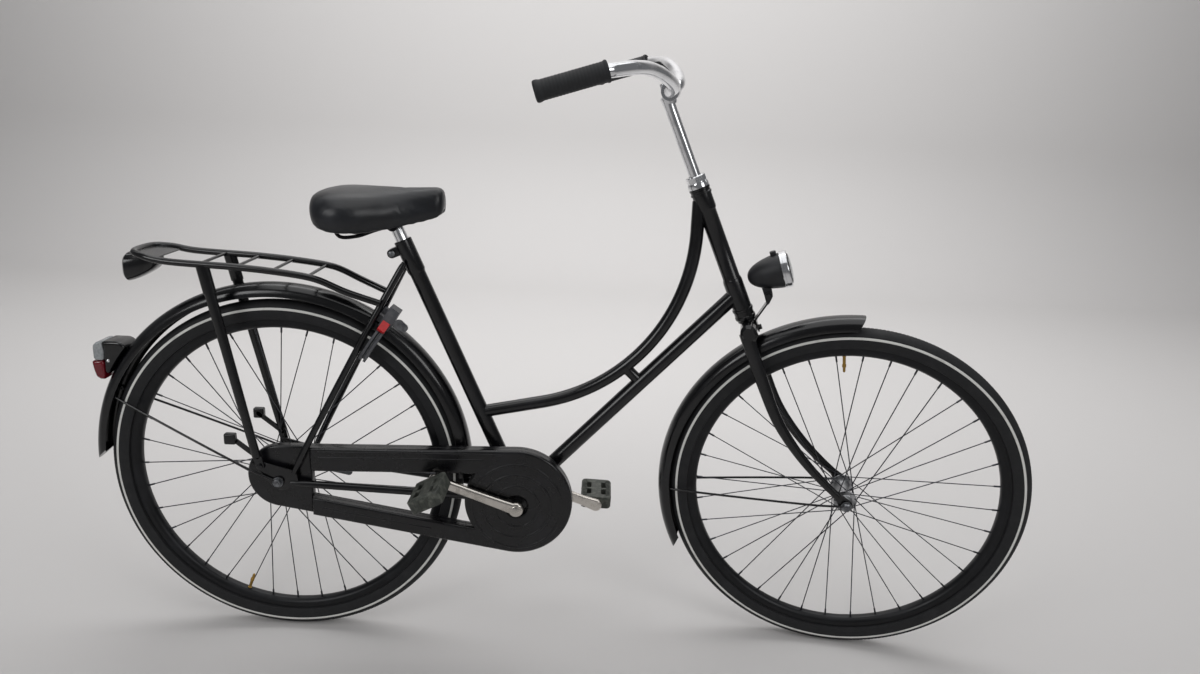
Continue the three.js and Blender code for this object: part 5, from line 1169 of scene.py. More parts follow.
@dataclass
class Frame:
    """The brazed frame: tubes, stays, dropouts and the bottom bracket shell."""

    tube_radius: float = 15.0
    tube_bore: float = 12.9
    swan_radius: float = 12.7
    swan_bend: float = 361.0
    swan_slope: float = 12.1
    swan_joint: float = 193.0
    bridge_place: float = 346.0
    bridge_radius: float = 11.0
    seat_length: float = 566.0
    collar_radius: float = 17.0
    clamp_up: float = 550.0
    clamp_back: float = 28.0
    ear_radius: float = 9.0
    ear_sides: tuple[Pair, ...] = ((-10.0, -1.3), (1.3, 10.0))
    chain_stay_front: Triple = (452.0, 26.0, 322.0)
    chain_stay_rear: Triple = (30.0, 64.0, 354.0)
    chain_stay_end: float = 24.0
    seat_stay_top: Triple = (526.0, -11.0, 17.5)
    seat_stay_bends: tuple[Triple, ...] = (
        (190.0, 37.0, 688.0), (56.0, 60.5, 428.0), (31.0, 64.0, 375.0),
    )

    def build(self) -> None:
        """Makes every piece of the frame."""
        parts = [
            ("head_tube_shell", self._head_tube(), "head_tube"),
            ("seat_tube_shell", self._seat_tube(), "seat_tube"),
            ("swan_neck_tube", self._swan_tube(), "swan_tube"),
            ("down_tube_shell", self._down_tube(), "down_tube"),
            ("bracket_shell", self._shell(), "bottom_bracket_shell"),
        ]
        for hand, side in HANDS:
            parts.append((f"chain_stay_tube_{side}", self._chain_stay(hand), f"chain_stay_{side}"))
            parts.append((f"seat_stay_tube_{side}", self._seat_stay(hand), f"seat_stay_{side}"))
        for name, skin, node in parts:
            add_piece(name, skin, ENAMEL, "frame", [node])
        add_piece("seat_clamp_screw", self._clamp_screw(), ZINC_STEEL, "frame", ["seat_clamp_bolt"])

    def _head_tube(self) -> Skin:
        """The head tube, its two lugs and the headset's cups, as one turned profile.

        Returns:
            The surface.
        """
        low, high = BIKE.fork_length + 0.3, BIKE.head_top + BIKE.upper_cup
        bottom, top = BIKE.head_bottom, BIKE.head_top
        profile = [
            [13.3, low], [18, low], [20, low + 2], [20, low + 7], [18.8, low + 8], [18.8, bottom - 6],
            [20.3, bottom - 5], [20.3, bottom - 0.8], [18.6, bottom], [18.6, bottom + 56],
            [17.6, bottom + 61], [16.5, bottom + 63], [16.5, top - 33], [17.6, top - 31.5], [18.6, top - 28],
            [18.6, top - 0.5], [20.3, top], [20.3, top + 3], [18.9, top + 4.2], [18.9, high - 4],
            [20, high - 3], [20, high], [13.3, high],
        ]
        return lathe(profile, BIKE.steer_base, BIKE.head_up)

    def _seat_tube(self) -> Skin:
        """The seat tube with its collar and the two clamp ears behind it.

        Returns:
            The surface.
        """
        bore, top = self.tube_bore, self.seat_length
        tube_radius, collar = self.tube_radius, self.collar_radius
        profile = [
            [bore, top - 60], [bore, top], [collar - 0.8, top], [collar, top - 1], [collar, top - 63],
            [tube_radius + 0.6, top - 67], [tube_radius, top - 69], [tube_radius, 18], [bore, 18],
        ]
        roots = [(BIKE.seat(self.clamp_up, -back), self.ear_radius) for back in (self.clamp_back, 12.0)]
        ears = [plate([hull_loop(roots, 48)], low, high, 1.5, 1.5) for low, high in self.ear_sides]
        return joined([lathe(profile, BIKE.bracket, heading(180 - BIKE.seat_degrees)), *ears])

    def _clamp_screw(self) -> Skin:
        """The clamp's cross bolt with a domed head and a nut.

        Returns:
            The surface.
        """
        place = BIKE.seat(self.clamp_up, -self.clamp_back)
        head = [[0, -14.6], [4.5, -14.2], [6.5, -12.6], [6.5, -10.3], [3.6, -10.3], [3.6, 10.3], [0, 10.3]]
        nut = [[3, 10.3], [6.5, 10.3], [6.5, 14], [5.2, 14.6], [3, 14.6]]
        return lathe(head, place, LEFT, 24) + lathe(nut, place, LEFT, 6)

    def swan_path(self) -> tuple[Array, Array]:
        """The swan-neck tube leaves the seat tube at a slope, turns through one arc and runs up.

        Returns:
            The tube's centre line, and the middle of its arc.
        """
        start = BIKE.seat(self.swan_joint)
        top_x = BIKE.head(BIKE.head_top + 8)[0]
        top_z = BIKE.head(BIKE.head_top)[2] - 14
        slope = heading(self.swan_slope)
        bend = np.radians(90 - self.swan_slope)
        straight = (top_x - start[0]) / slope[0] - self.swan_bend * np.tan(bend / 2)
        bend_start = start + straight * slope
        centre = at(top_x - self.swan_bend, 0, bend_start[2] + self.swan_bend * slope[0])
        arc = polar(centre, self.swan_bend, np.linspace(self.swan_slope - 90, 0, 60))
        share = np.linspace(0, 1, 12)[:, None]
        low = start + share[:-1] * (bend_start - start)
        rise = at(top_x, 0, centre[2]) + share[1:] * at(0, 0, top_z - centre[2])
        return np.vstack([low, arc, rise]), centre

    def _swan_tube(self) -> Skin:
        """The swan-neck tube."""
        return tube(self.swan_path()[0], self.swan_radius, None, LEFT, 32)

    def _down_tube(self) -> Skin:
        """The down tube and the short bridge up to the swan-neck tube.

        The bridge runs square to the down tube to where its line meets the arc's circle.

        Returns:
            The surface.
        """
        top = BIKE.head(BIKE.head_bottom + 30)
        along = unit(top - BIKE.bracket)
        foot = BIKE.bracket + along * self.bridge_place
        square = at(-along[2], 0, along[0])
        offset = foot - self.swan_path()[1]
        reach = -offset @ square - np.sqrt((offset @ square) ** 2 - offset @ offset + self.swan_bend**2)
        route = np.linspace(0, 1, 9)[:, None] * reach * square + foot
        waist = self.bridge_radius + 3.0 * np.abs(np.linspace(-1, 1, 9)) ** 3
        bridge = tube(route, waist, None, LEFT, 28)
        return rod(BIKE.bracket, top, self.tube_radius, None, 36) + bridge

    def _shell(self) -> Skin:
        """The bottom bracket shell with its threaded cups' rims."""
        left = [[21, 29], [20, 30], [20, 33], [19, 34], [9, 34]]
        return lathe([*mirrored(left), *left], BIKE.bracket)

    def chain_stay_point(self, x: float, hand: int) -> Array:
        """The centre line of a chain stay at a place along the bike.

        Args:
            x: The place.
            hand: The stay's side.

        Returns:
            The point.
        """
        front, rear = np.array(self.chain_stay_front), np.array(self.chain_stay_rear)
        share = (x - front[0]) / (rear[0] - front[0])
        return (front + share * (rear - front)) * [1, hand, 1]

    def _dropout(self, hand: int) -> Skin:
        """The plate that holds the axle and carries the rack stay's eyelet.

        Args:
            hand: Its side.

        Returns:
            The surface.
        """
        x, _, height = self.chain_stay_rear
        low_x, _, low_height = self.seat_stay_bends[-1]
        discs = [(BIKE.rear_axle, 17.0), (BIKE.eyelet, 8.0)]
        discs += [(at(x, 0, height), 10.0), (at(low_x, 0, low_height), 5.0)]
        low, high = sorted((hand * BIKE.rear_space, hand * (BIKE.rear_space + BIKE.dropout_thickness)))
        axle_hole = circle(flat(BIKE.rear_axle), BIKE.axle_hole, 24, True)
        eyelet_hole = circle(BIKE.eyelet_place, 3.0, 16, True)
        return plate([hull_loop(discs), axle_hole, eyelet_hole], low, high, 0.8, 0.8)

    def _chain_stay(self, hand: int) -> Skin:
        """A tapering stay, its dropout and, on the left, the bridge behind the bracket.

        Args:
            hand: Its side.

        Returns:
            The surface.
        """
        front = self.chain_stay_point(self.chain_stay_front[0], hand)
        rear = self.chain_stay_point(self.chain_stay_end, hand)
        share = np.linspace(0, 1, 20)
        radius = np.interp(share, [0, 0.8, 0.95, 1], [9.5, 7.9, 7.0, 4.0])
        skins = [tube(front + share[:, None] * (rear - front), radius, None, LEFT, 24), self._dropout(hand)]
        if hand == LEFT_HAND:
            place = polar(BIKE.rear_guard, BIKE.guard_radius + 6.3, -5.0)
            reach = self.chain_stay_point(place[0], 1)[1]
            skins.append(cross_rod(place, 6.0, -reach, reach, 20))
        return joined(skins)

    def _seat_stay(self, hand: int) -> Skin:
        """A seat stay: from the collar, out round the wheel, down to the dropout.

        Args:
            hand: Its side.

        Returns:
            The surface.
        """
        up, ahead, left = self.seat_stay_top
        bends = [np.array(bend) * [1, hand, 1] for bend in self.seat_stay_bends]
        path = smooth_path([BIKE.seat(up, ahead, hand * left), *bends], 48)
        radius = np.interp(np.linspace(0, 1, 48), [0, 0.02, 0.05, 0.93, 1], [4.5, 6.2, 6.5, 6.5, 4.6])
        return tube(path, radius, None, LEFT, 24)


# ---- Chain case and drive ----


@dataclass
class Drive:
    """The chain case, cranks and pedals."""

    front_radius: float = 111.0
    front_rise: float = 8.0
    rear_radius: float = 66.0
    rear_rise: float = 5.0
    upper_run: float = 50.0
    lower_run: float = 38.0
    seam_x: float = 63.0
    seam_gap: float = 0.15
    disc_radius: float = 104.0
    outer: float = 62.0
    middle: float = 47.0
    inner: float = 33.0
    cap_outer: float = 52.0
    ring_radii: tuple[float, ...] = (44.0, 68.0, 90.0)
    ring_half: float = 2.6
    ring_height: float = 1.2
    ridges: tuple[tuple[int, float, float, float], ...] = (
        (1, 20.0, 80.0, 405.0), (1, 8.5, 80.0, 440.0), (-1, 20.0, 80.0, 300.0),
    )
    crank_length: float = 169.0
    crank_degrees: float = 160.4
    crank_offset: float = 67.0
    crank_thickness: float = 13.0
    boss_radius: float = 15.5
    eye_radius: float = 13.0
    pedal_gap: float = 3.0
    pedal_depth: float = 64.0
    pedal_length: float = 92.0
    pedal_thickness: float = 27.0
    pedal_tilts: Pair = (27.0, -2.0)

    @property
    def case_front(self) -> Array:
        """The middle of the case's front arc."""
        return BIKE.bracket + self.front_rise * UP

    @property
    def case_rear(self) -> Array:
        """The middle of the case's rear arc."""
        return BIKE.rear_axle + self.rear_rise * UP

    def build(self) -> None:
        """Makes the case, the cranks and the pedals."""
        add_piece("chain_case_outer", self._cover(), CASE_PLASTIC, "frame", ["chain_case_cover"])
        add_piece("chain_case_inner", self._back(), CASE_PLASTIC, "frame", ["chain_case_back"])
        add_piece("chain_case_cap", self._cap(), CASE_PLASTIC, "frame", ["chain_case_end"])
        add_piece("chain_case_rings", self._rings(), CASE_PLASTIC, "frame")
        for (hand, side), turn, tilt in zip(HANDS, (0.0, 180.0), self.pedal_tilts):
            degrees = self.crank_degrees - turn
            crank, pedal = self._crank(hand, degrees), self._pedal(hand, degrees, tilt)
            add_piece(f"crank_arm_{side}", crank, SATIN_ALLOY, "crankset", [f"crank_{side}"])
            add_piece(f"pedal_block_{side}", pedal, PEDAL_RESIN, f"pedal_{side}", [f"pedal_{side}"])

    def _edge(self, side: int, inset: float, x: float | Array) -> Array:
        """The height of the line that touches both arcs, drawn in, at places along the bike.

        Args:
            side: 1 for the upper line and -1 for the lower.
            inset: How far it is drawn in.
            x: The places.

        Returns:
            The heights.
        """
        span = self.case_front - self.case_rear
        lean = np.arccos((self.rear_radius - self.front_radius) / np.linalg.norm(span))
        angle = np.arctan2(span[2], span[0]) + side * lean
        ahead = (np.asarray(x) - self.case_rear[0]) * np.cos(angle)
        return self.case_rear[2] + (self.rear_radius - inset - ahead) / np.sin(angle)

    def _window(self, start: float) -> Array:
        """The opening between the runs: its lower edge, the disc's arc and its upper edge, in order.

        Args:
            start: The opening's rear end.

        Returns:
            Its outline.
        """
        arc = circle(flat(self.case_front), self.disc_radius, 1440)[360:1081]
        below = arc[:, 1] < self._edge(1, self.upper_run, arc[:, 0])
        above = arc[:, 1] > self._edge(-1, self.lower_run, arc[:, 0])
        arc = arc[below & above][::12][::-1]
        lower = np.linspace(start, arc[0, 0], 14)[:-1]
        upper = np.linspace(arc[-1, 0], start, 14)[1:]
        low = np.stack([lower, self._edge(-1, self.lower_run, lower)], -1)
        high = np.stack([upper, self._edge(1, self.upper_run, upper)], -1)
        return np.vstack([low, arc, high])

    def _arc(self, centre: Array, kept: Array) -> Array:
        """The part of the case's outline that is kept, in order of its angle about a centre.

        Args:
            centre: The centre.
            kept: True for each point of the outline that is kept.

        Returns:
            The points.
        """
        part = self._outline()[kept]
        turn = np.arctan2(part[:, 1] - centre[2], part[:, 0] - centre[0])
        turn = turn % (2 * np.pi) if centre[0] < self.seam_x else turn
        return part[np.argsort(turn)]

    def _outline(self) -> Array:
        """The whole case's outline."""
        return hull_loop([(self.case_front, self.front_radius), (self.case_rear, self.rear_radius)], 180)

    def _corner(self, side: int, seam: float) -> Array:
        """The outline's point at a seam, above for side 1 and below for -1."""
        return np.array([[seam, self._edge(side, 0, seam)]])

    def _belt(self) -> Array:
        """The case's outline ahead of the seam, open to the window: one anticlockwise loop.

        Returns:
            The outline.
        """
        seam = self.seam_x + self.seam_gap
        ahead = self._arc(self.case_front, self._outline()[:, 0] > seam + 1.0)
        return np.vstack([self._corner(-1, seam), ahead, self._corner(1, seam), self._window(seam)[::-1]])

    def _cover(self) -> Skin:
        """The outer half: a shell with rounded edges and the crank's hole."""
        hole = circle(flat(BIKE.bracket), 21.0, 48, True)
        return plate([self._belt(), hole], -self.outer, -self.middle, 5.5, 0.6, SIDE_VIEW, 6)

    def _back(self) -> Skin:
        """The inner half."""
        return plate([self._belt()], -self.middle + 0.3, -self.inner, 0.6, 5.0, SIDE_VIEW, 5)

    def _cap(self) -> Skin:
        """The rear end round the sprocket, with the axle's hole and a raised ring round it.

        Returns:
            The surface.
        """
        seam = self.seam_x - self.seam_gap
        behind = self._arc(self.case_rear, self._outline()[:, 0] < seam - 1.0)
        loop = np.vstack([self._corner(1, seam), behind, self._corner(-1, seam)])
        hole = circle(flat(BIKE.rear_axle), 10.0, 40, True)
        cap = plate([loop, hole], -self.cap_outer, -self.inner, 5.0, 3.0, SIDE_VIEW, 5)
        ring = [[10.2, -52.4], [13, -53.6], [22, -53.6], [24.5, -52], [24.5, -50], [10.2, -50]]
        return cap + lathe(ring, BIKE.rear_axle, LEFT, 56)

    def _rings(self) -> Skin:
        """Rounded ribs pressed out of the disc round the crank, and ridges along the runs.

        Returns:
            The surface.
        """
        skins = []
        face, half = -self.outer, self.ring_half
        turn = np.linspace(0, np.pi, 9)
        for radius in self.ring_radii:
            rib = np.stack([radius + half * np.cos(turn), face - self.ring_height * np.sin(turn)], -1)
            base = [[radius - half, face + 0.8], [radius + half, face + 0.8]]
            skins.append(lathe(np.vstack([rib, base]), BIKE.bracket, LEFT, 128))
        for side, inset, start, end in self.ridges:
            x = np.linspace(start, end, 24)
            path = np.stack([x, np.full(24, face + 0.2), self._edge(side, inset, x)], -1)
            skins.append(tube(path, 1.1, 2.2, LEFT, 10))
        return joined(skins)

    def _crank(self, hand: int, degrees: float) -> Skin:
        """A forged arm that narrows from its boss to a waist, with the pedal's spindle.

        Args:
            hand: Its side.
            degrees: The arm's angle above forward.

        Returns:
            The surface.
        """
        along, out, thick = heading(degrees), hand * LEFT, self.crank_thickness
        root = BIKE.bracket + self.crank_offset * out
        eye = root + self.crank_length * along
        boss_turn = np.radians(np.linspace(50, 310, 32))
        eye_turn = np.radians(np.linspace(-105, 105, 28))
        boss = self.boss_radius * np.stack([np.cos(boss_turn), np.sin(boss_turn)], -1)
        end = [self.crank_length, 0] + self.eye_radius * np.stack([np.cos(eye_turn), np.sin(eye_turn)], -1)
        share = np.linspace(0, 1, 10)[1:-1]
        swell = 0.9 * np.cos(share * np.pi) * np.sign(0.5 - share)
        lower = np.stack([10 + share * 144, -10.5 + 1.2 * share - swell], -1)
        loop = np.vstack([boss, lower, end, lower[::-1] * [1, -1]])
        plane = Plane(root, along, np.cross(out, along), out)
        return joined([
            plate([loop], 0, thick, 3.0, 6.0, plane, 7),
            rod(eye + 6.0 * out, eye + (thick + self.pedal_gap + 83.0) * out, 4.4, None, 20),
            rod(eye + thick * out, eye + (thick + 1.5) * out, 9.5, None, 32),
            lathe([[0, 13.0], [9.5, 13.0], [9.5, 13.6], [8.0, 14.6], [0, 14.9]], root, out, 32),
        ])

    def _pedal(self, hand: int, crank: float, tilt: float) -> Skin:
        """A moulded block with rounded corners, four windows, a core and ribs on its treads.

        Args:
            hand: Its side.
            crank: The crank's angle above forward.
            tilt: The pedal's own.

        Returns:
            The surface.
        """
        along, out = heading(tilt), hand * LEFT
        up = np.cross(along, out)
        start = self.crank_offset + self.crank_thickness + self.pedal_gap
        eye = BIKE.bracket + self.crank_length * heading(crank) + start * out
        centre = eye + self.pedal_length / 2 * out
        half = self.pedal_thickness / 2
        outline = rounded_loop((0.0, 0.0), (self.pedal_depth, self.pedal_length), 9.0)
        windows = [
            rounded_loop((row * 19.5, column * 16.0), (16.0, 25.0), 2.5)[::-1]
            for row in (-1, 1)
            for column in (-1, 1)
        ]
        core = [
            [4.7, -0.5], [8.6, -0.5], [10, 0.8], [10, 91], [8.6, 92.4], [0, 92.4], [0, 84], [4.7, 84],
        ]
        block = plate([outline, *windows], -half, half, 2.6, 2.6, Plane(centre, along, out, up))
        skins = [block, lathe(core, eye, out, 32)]
        for row in (-1, 1):
            for step in np.linspace(-36, 36, 13):
                spot = centre + step * out + row * 30.6 * along
                skins.append(rounded_box((4.4, 3.0, 24.0), spot, along, out, 0.9))
                for face in (-13.4, 13.4):
                    rib = spot - row * 5.6 * along + face * up
                    skins.append(rounded_box((9.0, 3.0, 3.0), rib, along, out, 0.8))
        for step in np.linspace(-20, 20, 5):
            skins.append(rounded_box((3.2, 2.4, 22.0), centre + step * along + 45.8 * out, along, out, 0.8))
        return joined(skins)


# ---- Mudguards ----


@dataclass
class Mudguard:
    """A rolled sheet mudguard and its wire stay."""

    name: str
    body: str
    centre: Array
    axle: Array
    start: float
    end: float
    start_skew: float
    end_skew: float
    stay_degrees: float
    space: float
    steers: bool
    radius: float = BIKE.guard_radius
    half_width: float = 27.0
    depth: float = 24.0
    thickness: float = 1.3
    edge_radius: float = 1.3
    wire_radius: float = 2.4
    wire_shares: tuple[Pair, ...] = ((0.5, 1.15), (0.1, 1.02), (-0.35, 0.86), (-0.85, 0.45))
    eyelet_half: float = 1.0

    @property
    def eyelet_y(self) -> float:
        """The place across of the stay's eyelets, just outside the dropouts."""
        return self.space + BIKE.dropout_thickness + 0.3 + self.eyelet_half

    def build(self) -> None:
        """Makes the guard and its stay."""
        node = f"{self.name}_mudguard"
        add_piece(f"{node}_sheet", self._turn(self._sheet()), ENAMEL, self.body, [node])
        add_piece(f"{node}_wire", self._turn(self._wire()), ENAMEL, self.body, [f"{node}_stay"])

    def _turn(self, skin: Skin) -> Skin:
        """The surface turned with the steering, where it steers."""
        return BIKE.steered(skin) if self.steers else skin

    def _section(self, inset: float) -> Array:
        """Half an oval, from edge to edge.

        Args:
            inset: How far it is drawn in.

        Returns:
            The drop below the crest and the place across of each point.
        """
        turn = np.linspace(0, np.pi, 25)
        across = (self.half_width - inset) * np.cos(turn)
        lift = np.abs(np.sin(turn)) ** 0.8
        return np.stack([inset + (self.depth - inset) * (1 - lift), across], -1)

    def _sheet(self) -> Skin:
        """The sheet: the section carried round the wheel, with ends cut back and rolled edges.

        Returns:
            The surface.
        """
        section = np.vstack([self._section(0.0), self._section(self.thickness)[::-1]])
        share = np.linspace(0, 1, int(abs(self.end - self.start) * 1.1))[:, None]
        drop = section[:, 0] / self.depth
        start, end = self.start + self.start_skew * drop, self.end - self.end_skew * drop
        degrees = start * (1 - share) + end * share
        skins = [capped(polar(self.centre, self.radius - section[:, 0], degrees, section[:, 1]))]
        for column in (0, len(section) // 2 - 1):
            fall, across = section[column] * [1, 1 - 1.1 / self.half_width]
            edge = polar(self.centre, self.radius - fall, degrees[:, column], across)
            skins.append(tube(edge, self.edge_radius, None, LEFT, 8))
        return joined(skins)

    def _wire(self) -> Skin:
        """A wire hoop from one end of the axle, inside the guard, to the other.

        Returns:
            The surface.
        """
        inside = self.radius - self.thickness - 2.7
        rim = self.radius - self.depth
        edge = self.half_width - self.thickness - 4.8
        bends = [
            polar(self.centre, rim - inward * (inside - rim), self.stay_degrees, out * edge)
            for inward, out in self.wire_shares
        ]
        along = unit((bends[0] - self.axle) * [1, 0, 1])
        foot = self.axle + (self.eyelet_y - self.eyelet_half + self.wire_radius) * LEFT
        half = [foot + 8.6 * along, foot + 59.5 * along, *bends]
        crest = polar(self.centre, inside, self.stay_degrees)
        points = [*half, crest, *[point * [1, -1, 1] for point in reversed(half)]]
        hoop = tube(smooth_path(points, 160), self.wire_radius, None, np.cross(along, LEFT), 12)
        side = [[11, 0.6], [10.6, self.eyelet_half], [5.1, self.eyelet_half]]
        ring = np.array([*mirrored(side), *side])
        eyelets = [lathe(ring + [0, hand * self.eyelet_y], self.axle, LEFT, 32) for hand, _ in HANDS]
        return joined([hoop, *eyelets])


# ---- Rack and tail lamp ----


@dataclass
class Rack:
    """The rear rack, its two stays, the piece at its end and the tail lamp on the mudguard."""

    rail: float = 6.5
    rod_radius: float = 3.0
    half_width: float = 60.0
    rear_x: float = -258.0
    front_x: float = 206.0
    front_height: float = 722.0
    rear_height: float = 801.0
    rod_places: tuple[float, ...] = (-122.0, -56.0, 10.0, 76.0)
    shares: tuple[Triple, ...] = (
        (0, 0.742, 0), (0.131, 0.95, 0.29), (0.228, 1, 0.54), (0.282, 1, 0.62), (0.422, 1, 0.72),
        (0.573, 1, 0.785), (0.853, 1, 0.86), (0.929, 0.95, 0.94), (0.983, 0.68, 0.99),
    )
    plate_front: float = -205.0
    plate_size: Pair = (84.0, 2.4)
    leg_x: float = -116.0
    leg_inner: float = 64.7
    tab_thickness: float = 4.0
    socket_length: float = 52.0
    hook_shift: Pair = (-52.0, 58.0)
    hook_size: Pair = (22.0, 13.2)
    drop_rear: float = -285.0
    drop_length: float = 66.0
    drop_low: float = 738.0
    drop_high: float = 795.0
    drop_half_width: float = 34.5
    lamp_half: float = 25.0
    rivet_place: Pair = (-333.0, 580.0)
    lens_loop: tuple[Pair, ...] = (
        (-366.0, 578.6), (-364.5, 562.0), (-360.5, 546.0), (-352.5, 540.6), (-344.0, 541.0), (-341.5, 578.6),
    )
    prism_loop: tuple[Pair, ...] = (
        (-362.0, 609.0), (-362.0, 579.4), (-342.5, 579.4), (-340.5, 600.0), (-344.5, 617.5), (-354.0, 616.5),
    )

    def build(self) -> None:
        """Makes the rack's pieces and the tail lamp's."""
        add_piece("rack_hoop", self._hoop(), ENAMEL, "frame", ["rack_frame"])
        for hand, side in HANDS:
            add_piece(f"rack_leg_{side}", self._leg(hand), ENAMEL, "frame", [f"rack_stay_{side}"])
        add_piece("rack_end_drop", self._end_drop(), GLOSS_BLACK, "frame", ["rack_end_light"])
        lamp = [
            ("tail_lamp_shell", self.lamp_back(), GLOSS_BLACK, "tail_lamp_housing"),
            ("tail_lamp_glass", self.lens_loop, RED_ACRYLIC, "tail_lamp_lens"),
            ("tail_prisms", self.prism_loop, CLEAR_PRISMS, "tail_reflector"),
        ]
        for name, loop, finish, node in lamp:
            add_piece(name, self._lamp(loop), finish, "frame", [node])
        add_piece("tail_lamp_rivets", self._rivets(), CHROME, "frame")

    def _end_drop(self) -> Skin:
        """A drop-shaped block under the hoop's end: blunt behind, drawn out forward and up.

        Each slice is a superellipse |y / w|^3 + |z / h|^3 = 1, and the ends close on quarter ellipses.

        Returns:
            The surface.
        """
        middle = np.linspace(0.12, 0.86, 20)
        share = np.concatenate([[0.0, 0.01, 0.03, 0.07], middle, [0.92, 0.96, 0.985, 1.0]])
        blunt = np.sqrt(1 - np.clip(1 - share / 0.12, 0, 1) ** 2)
        drawn = np.sqrt(1 - np.clip((share - 0.72) / 0.28, 0, 1) ** 2.4)
        ends = np.maximum(blunt * drawn, 0.02)
        low = self.drop_low + 33.0 * share**1.5
        half_height = (self.drop_high - low) / 2
        half_width = self.drop_half_width * (1 - 0.45 * share**1.8)
        y, z = superellipse(2 * np.pi * np.arange(48) / 48, 3)
        grid = np.stack([
            np.broadcast_to((self.drop_rear + self.drop_length * share)[:, None], (len(share), 48)),
            (ends * half_width)[:, None] * y,
            (low + half_height)[:, None] + (ends * half_height)[:, None] * z,
        ], -1)
        return capped(grid)

    def lamp_back(self) -> Array:
        """The lamp body's outline: the guard's arc in front and a rounded top behind.

        Returns:
            The outline.
        """
        centre, radius = BIKE.rear_guard, BIKE.guard_radius + 0.3
        height = np.linspace(552.0, 608.0, 12)
        arc = np.stack([centre[0] - np.sqrt(radius**2 - (height - centre[2]) ** 2), height], -1)
        top = [[-303, 615.5], [-311, 619], [-343.8, 618.6], [-339.6, 600], [-341.2, 578], [-342, 556]]
        return np.vstack([arc, top])

    def _lamp(self, loop: Sequence[Sequence[float]] | Array) -> Skin:
        """A part of the tail lamp, with its corners cut off and rounded across the bike.

        Args:
            loop: Its side outline.

        Returns:
            The surface.
        """
        outline = np.asarray(loop, float)
        after = np.roll(outline, -1, 0)
        area = (outline[:, 0] * after[:, 1] - after[:, 0] * outline[:, 1]).sum()
        outline = outline if area > 0 else outline[::-1]
        cut = [outline * (1 - 0.16) + np.roll(outline, shift, 0) * 0.16 for shift in (1, -1)]
        half = self.lamp_half
        return plate([np.stack(cut, 1).reshape(-1, 2)], -half, half, 5.0, 5.0, SIDE_VIEW, 6)

    def _rivets(self) -> Skin:
        """A domed rivet on each side of the tail lamp.

        Returns:
            The surface.
        """
        half, place = self.lamp_half, at(self.rivet_place[0], 0, self.rivet_place[1])
        dome = [[0, half - 1], [3.2, half - 1], [3.2, half + 0.2], [2.2, half + 1.2], [0, half + 1.6]]
        return joined([lathe(np.array(dome) * [1, hand], place, LEFT, 20) for hand, _ in HANDS])

    def _point(self, shares: Triple, hand: int) -> Array:
        """A place of the hoop.

        Args:
            shares: How far back, out and up it is, as shares of the rack's sizes.
            hand: Its side.

        Returns:
            The place.
        """
        back, out, up = shares
        x = self.front_x + back * (self.rear_x - self.front_x)
        z = self.front_height + up * (self.rear_height - self.front_height)
        return at(x, hand * out * self.half_width, z)

    def height(self, x: float) -> float:
        """The rail's height.

        Args:
            x: The place along the bike.

        Returns:
            The height there.
        """
        table = np.array(self.shares)
        back = (self.front_x - x) / (self.front_x - self.rear_x)
        up = float(np.interp(back, table[:, 0], table[:, 2]))
        return self.front_height + up * (self.rear_height - self.front_height)

    def _hoop(self) -> Skin:
        """The bent rail, its cross rods and the small plate behind them.

        Returns:
            The surface.
        """
        right = [self._point(shares, RIGHT_HAND) for shares in self.shares]
        left = [self._point(shares, LEFT_HAND) for shares in reversed(self.shares)]
        front = at(self.plate_front, 0, self.height(self.plate_front))
        rear = at(self.rear_x, 0, self.rear_height)
        skins = [tube(smooth_path([*right, rear, *left], 200), self.rail, None, UP, 20)]
        for x in self.rod_places:
            place = at(x, 0, self.height(x))
            skins.append(cross_rod(place, self.rod_radius, -self.half_width, self.half_width, 16))
        size = (np.linalg.norm(front - rear), *self.plate_size)
        skins.append(rounded_box(size, (front + rear) / 2, front - rear, LEFT, 1.1))
        return joined(skins)

    def _leg(self, hand: int) -> Skin:
        """A flattened tube with a socket under the rail, a tab on the dropout and a strap hook.

        Args:
            hand: Its side.

        Returns:
            The surface.
        """
        inner, outer = self.leg_inner, self.leg_inner + self.tab_thickness
        flats = sorted((hand * inner, hand * outer))
        eyelet = BIKE.eyelet
        top = at(self.leg_x, hand * self.half_width, self.height(self.leg_x) - 3)
        low = eyelet + hand * (inner + 6.0) * LEFT
        low = low + 0.05 * (top - low)
        share = np.linspace(0, 1, 30)
        neck = np.linspace(1 - self.socket_length / np.linalg.norm(top - low), 1, 8)
        bolt = [
            [0, 60], [2.7, 60], [2.7, inner], [5.5, outer], [5.5, inner + 7], [4.5, inner + 7.5],
            [0, inner + 7.5],
        ]
        end = eyelet + self.hook_shift[0] * AHEAD + self.hook_shift[1] * UP
        side, depth = self.hook_size
        block = end + hand * (inner + depth / 2) * LEFT
        return joined([
            tube(low + share[:, None] * (top - low), 6.0, 8.5 + share * 2.5, LEFT, 24),
            tube(low + neck[:, None] * (top - low), 7.5, 12.5, LEFT, 28),
            plate([hull_loop([(eyelet, 8.0), (low, 8.5)], 64)], *flats, 0.8, 0.8),
            lathe(np.array(bolt) * [1, hand], eyelet, LEFT, 24),
            plate([hull_loop([(low, 5.0), (end, 5.0)], 48)], *flats, 0.8, 0.8),
            rounded_box((side, side, depth), block, AHEAD, UP, 3.0),
        ])


# ---- Steering ----


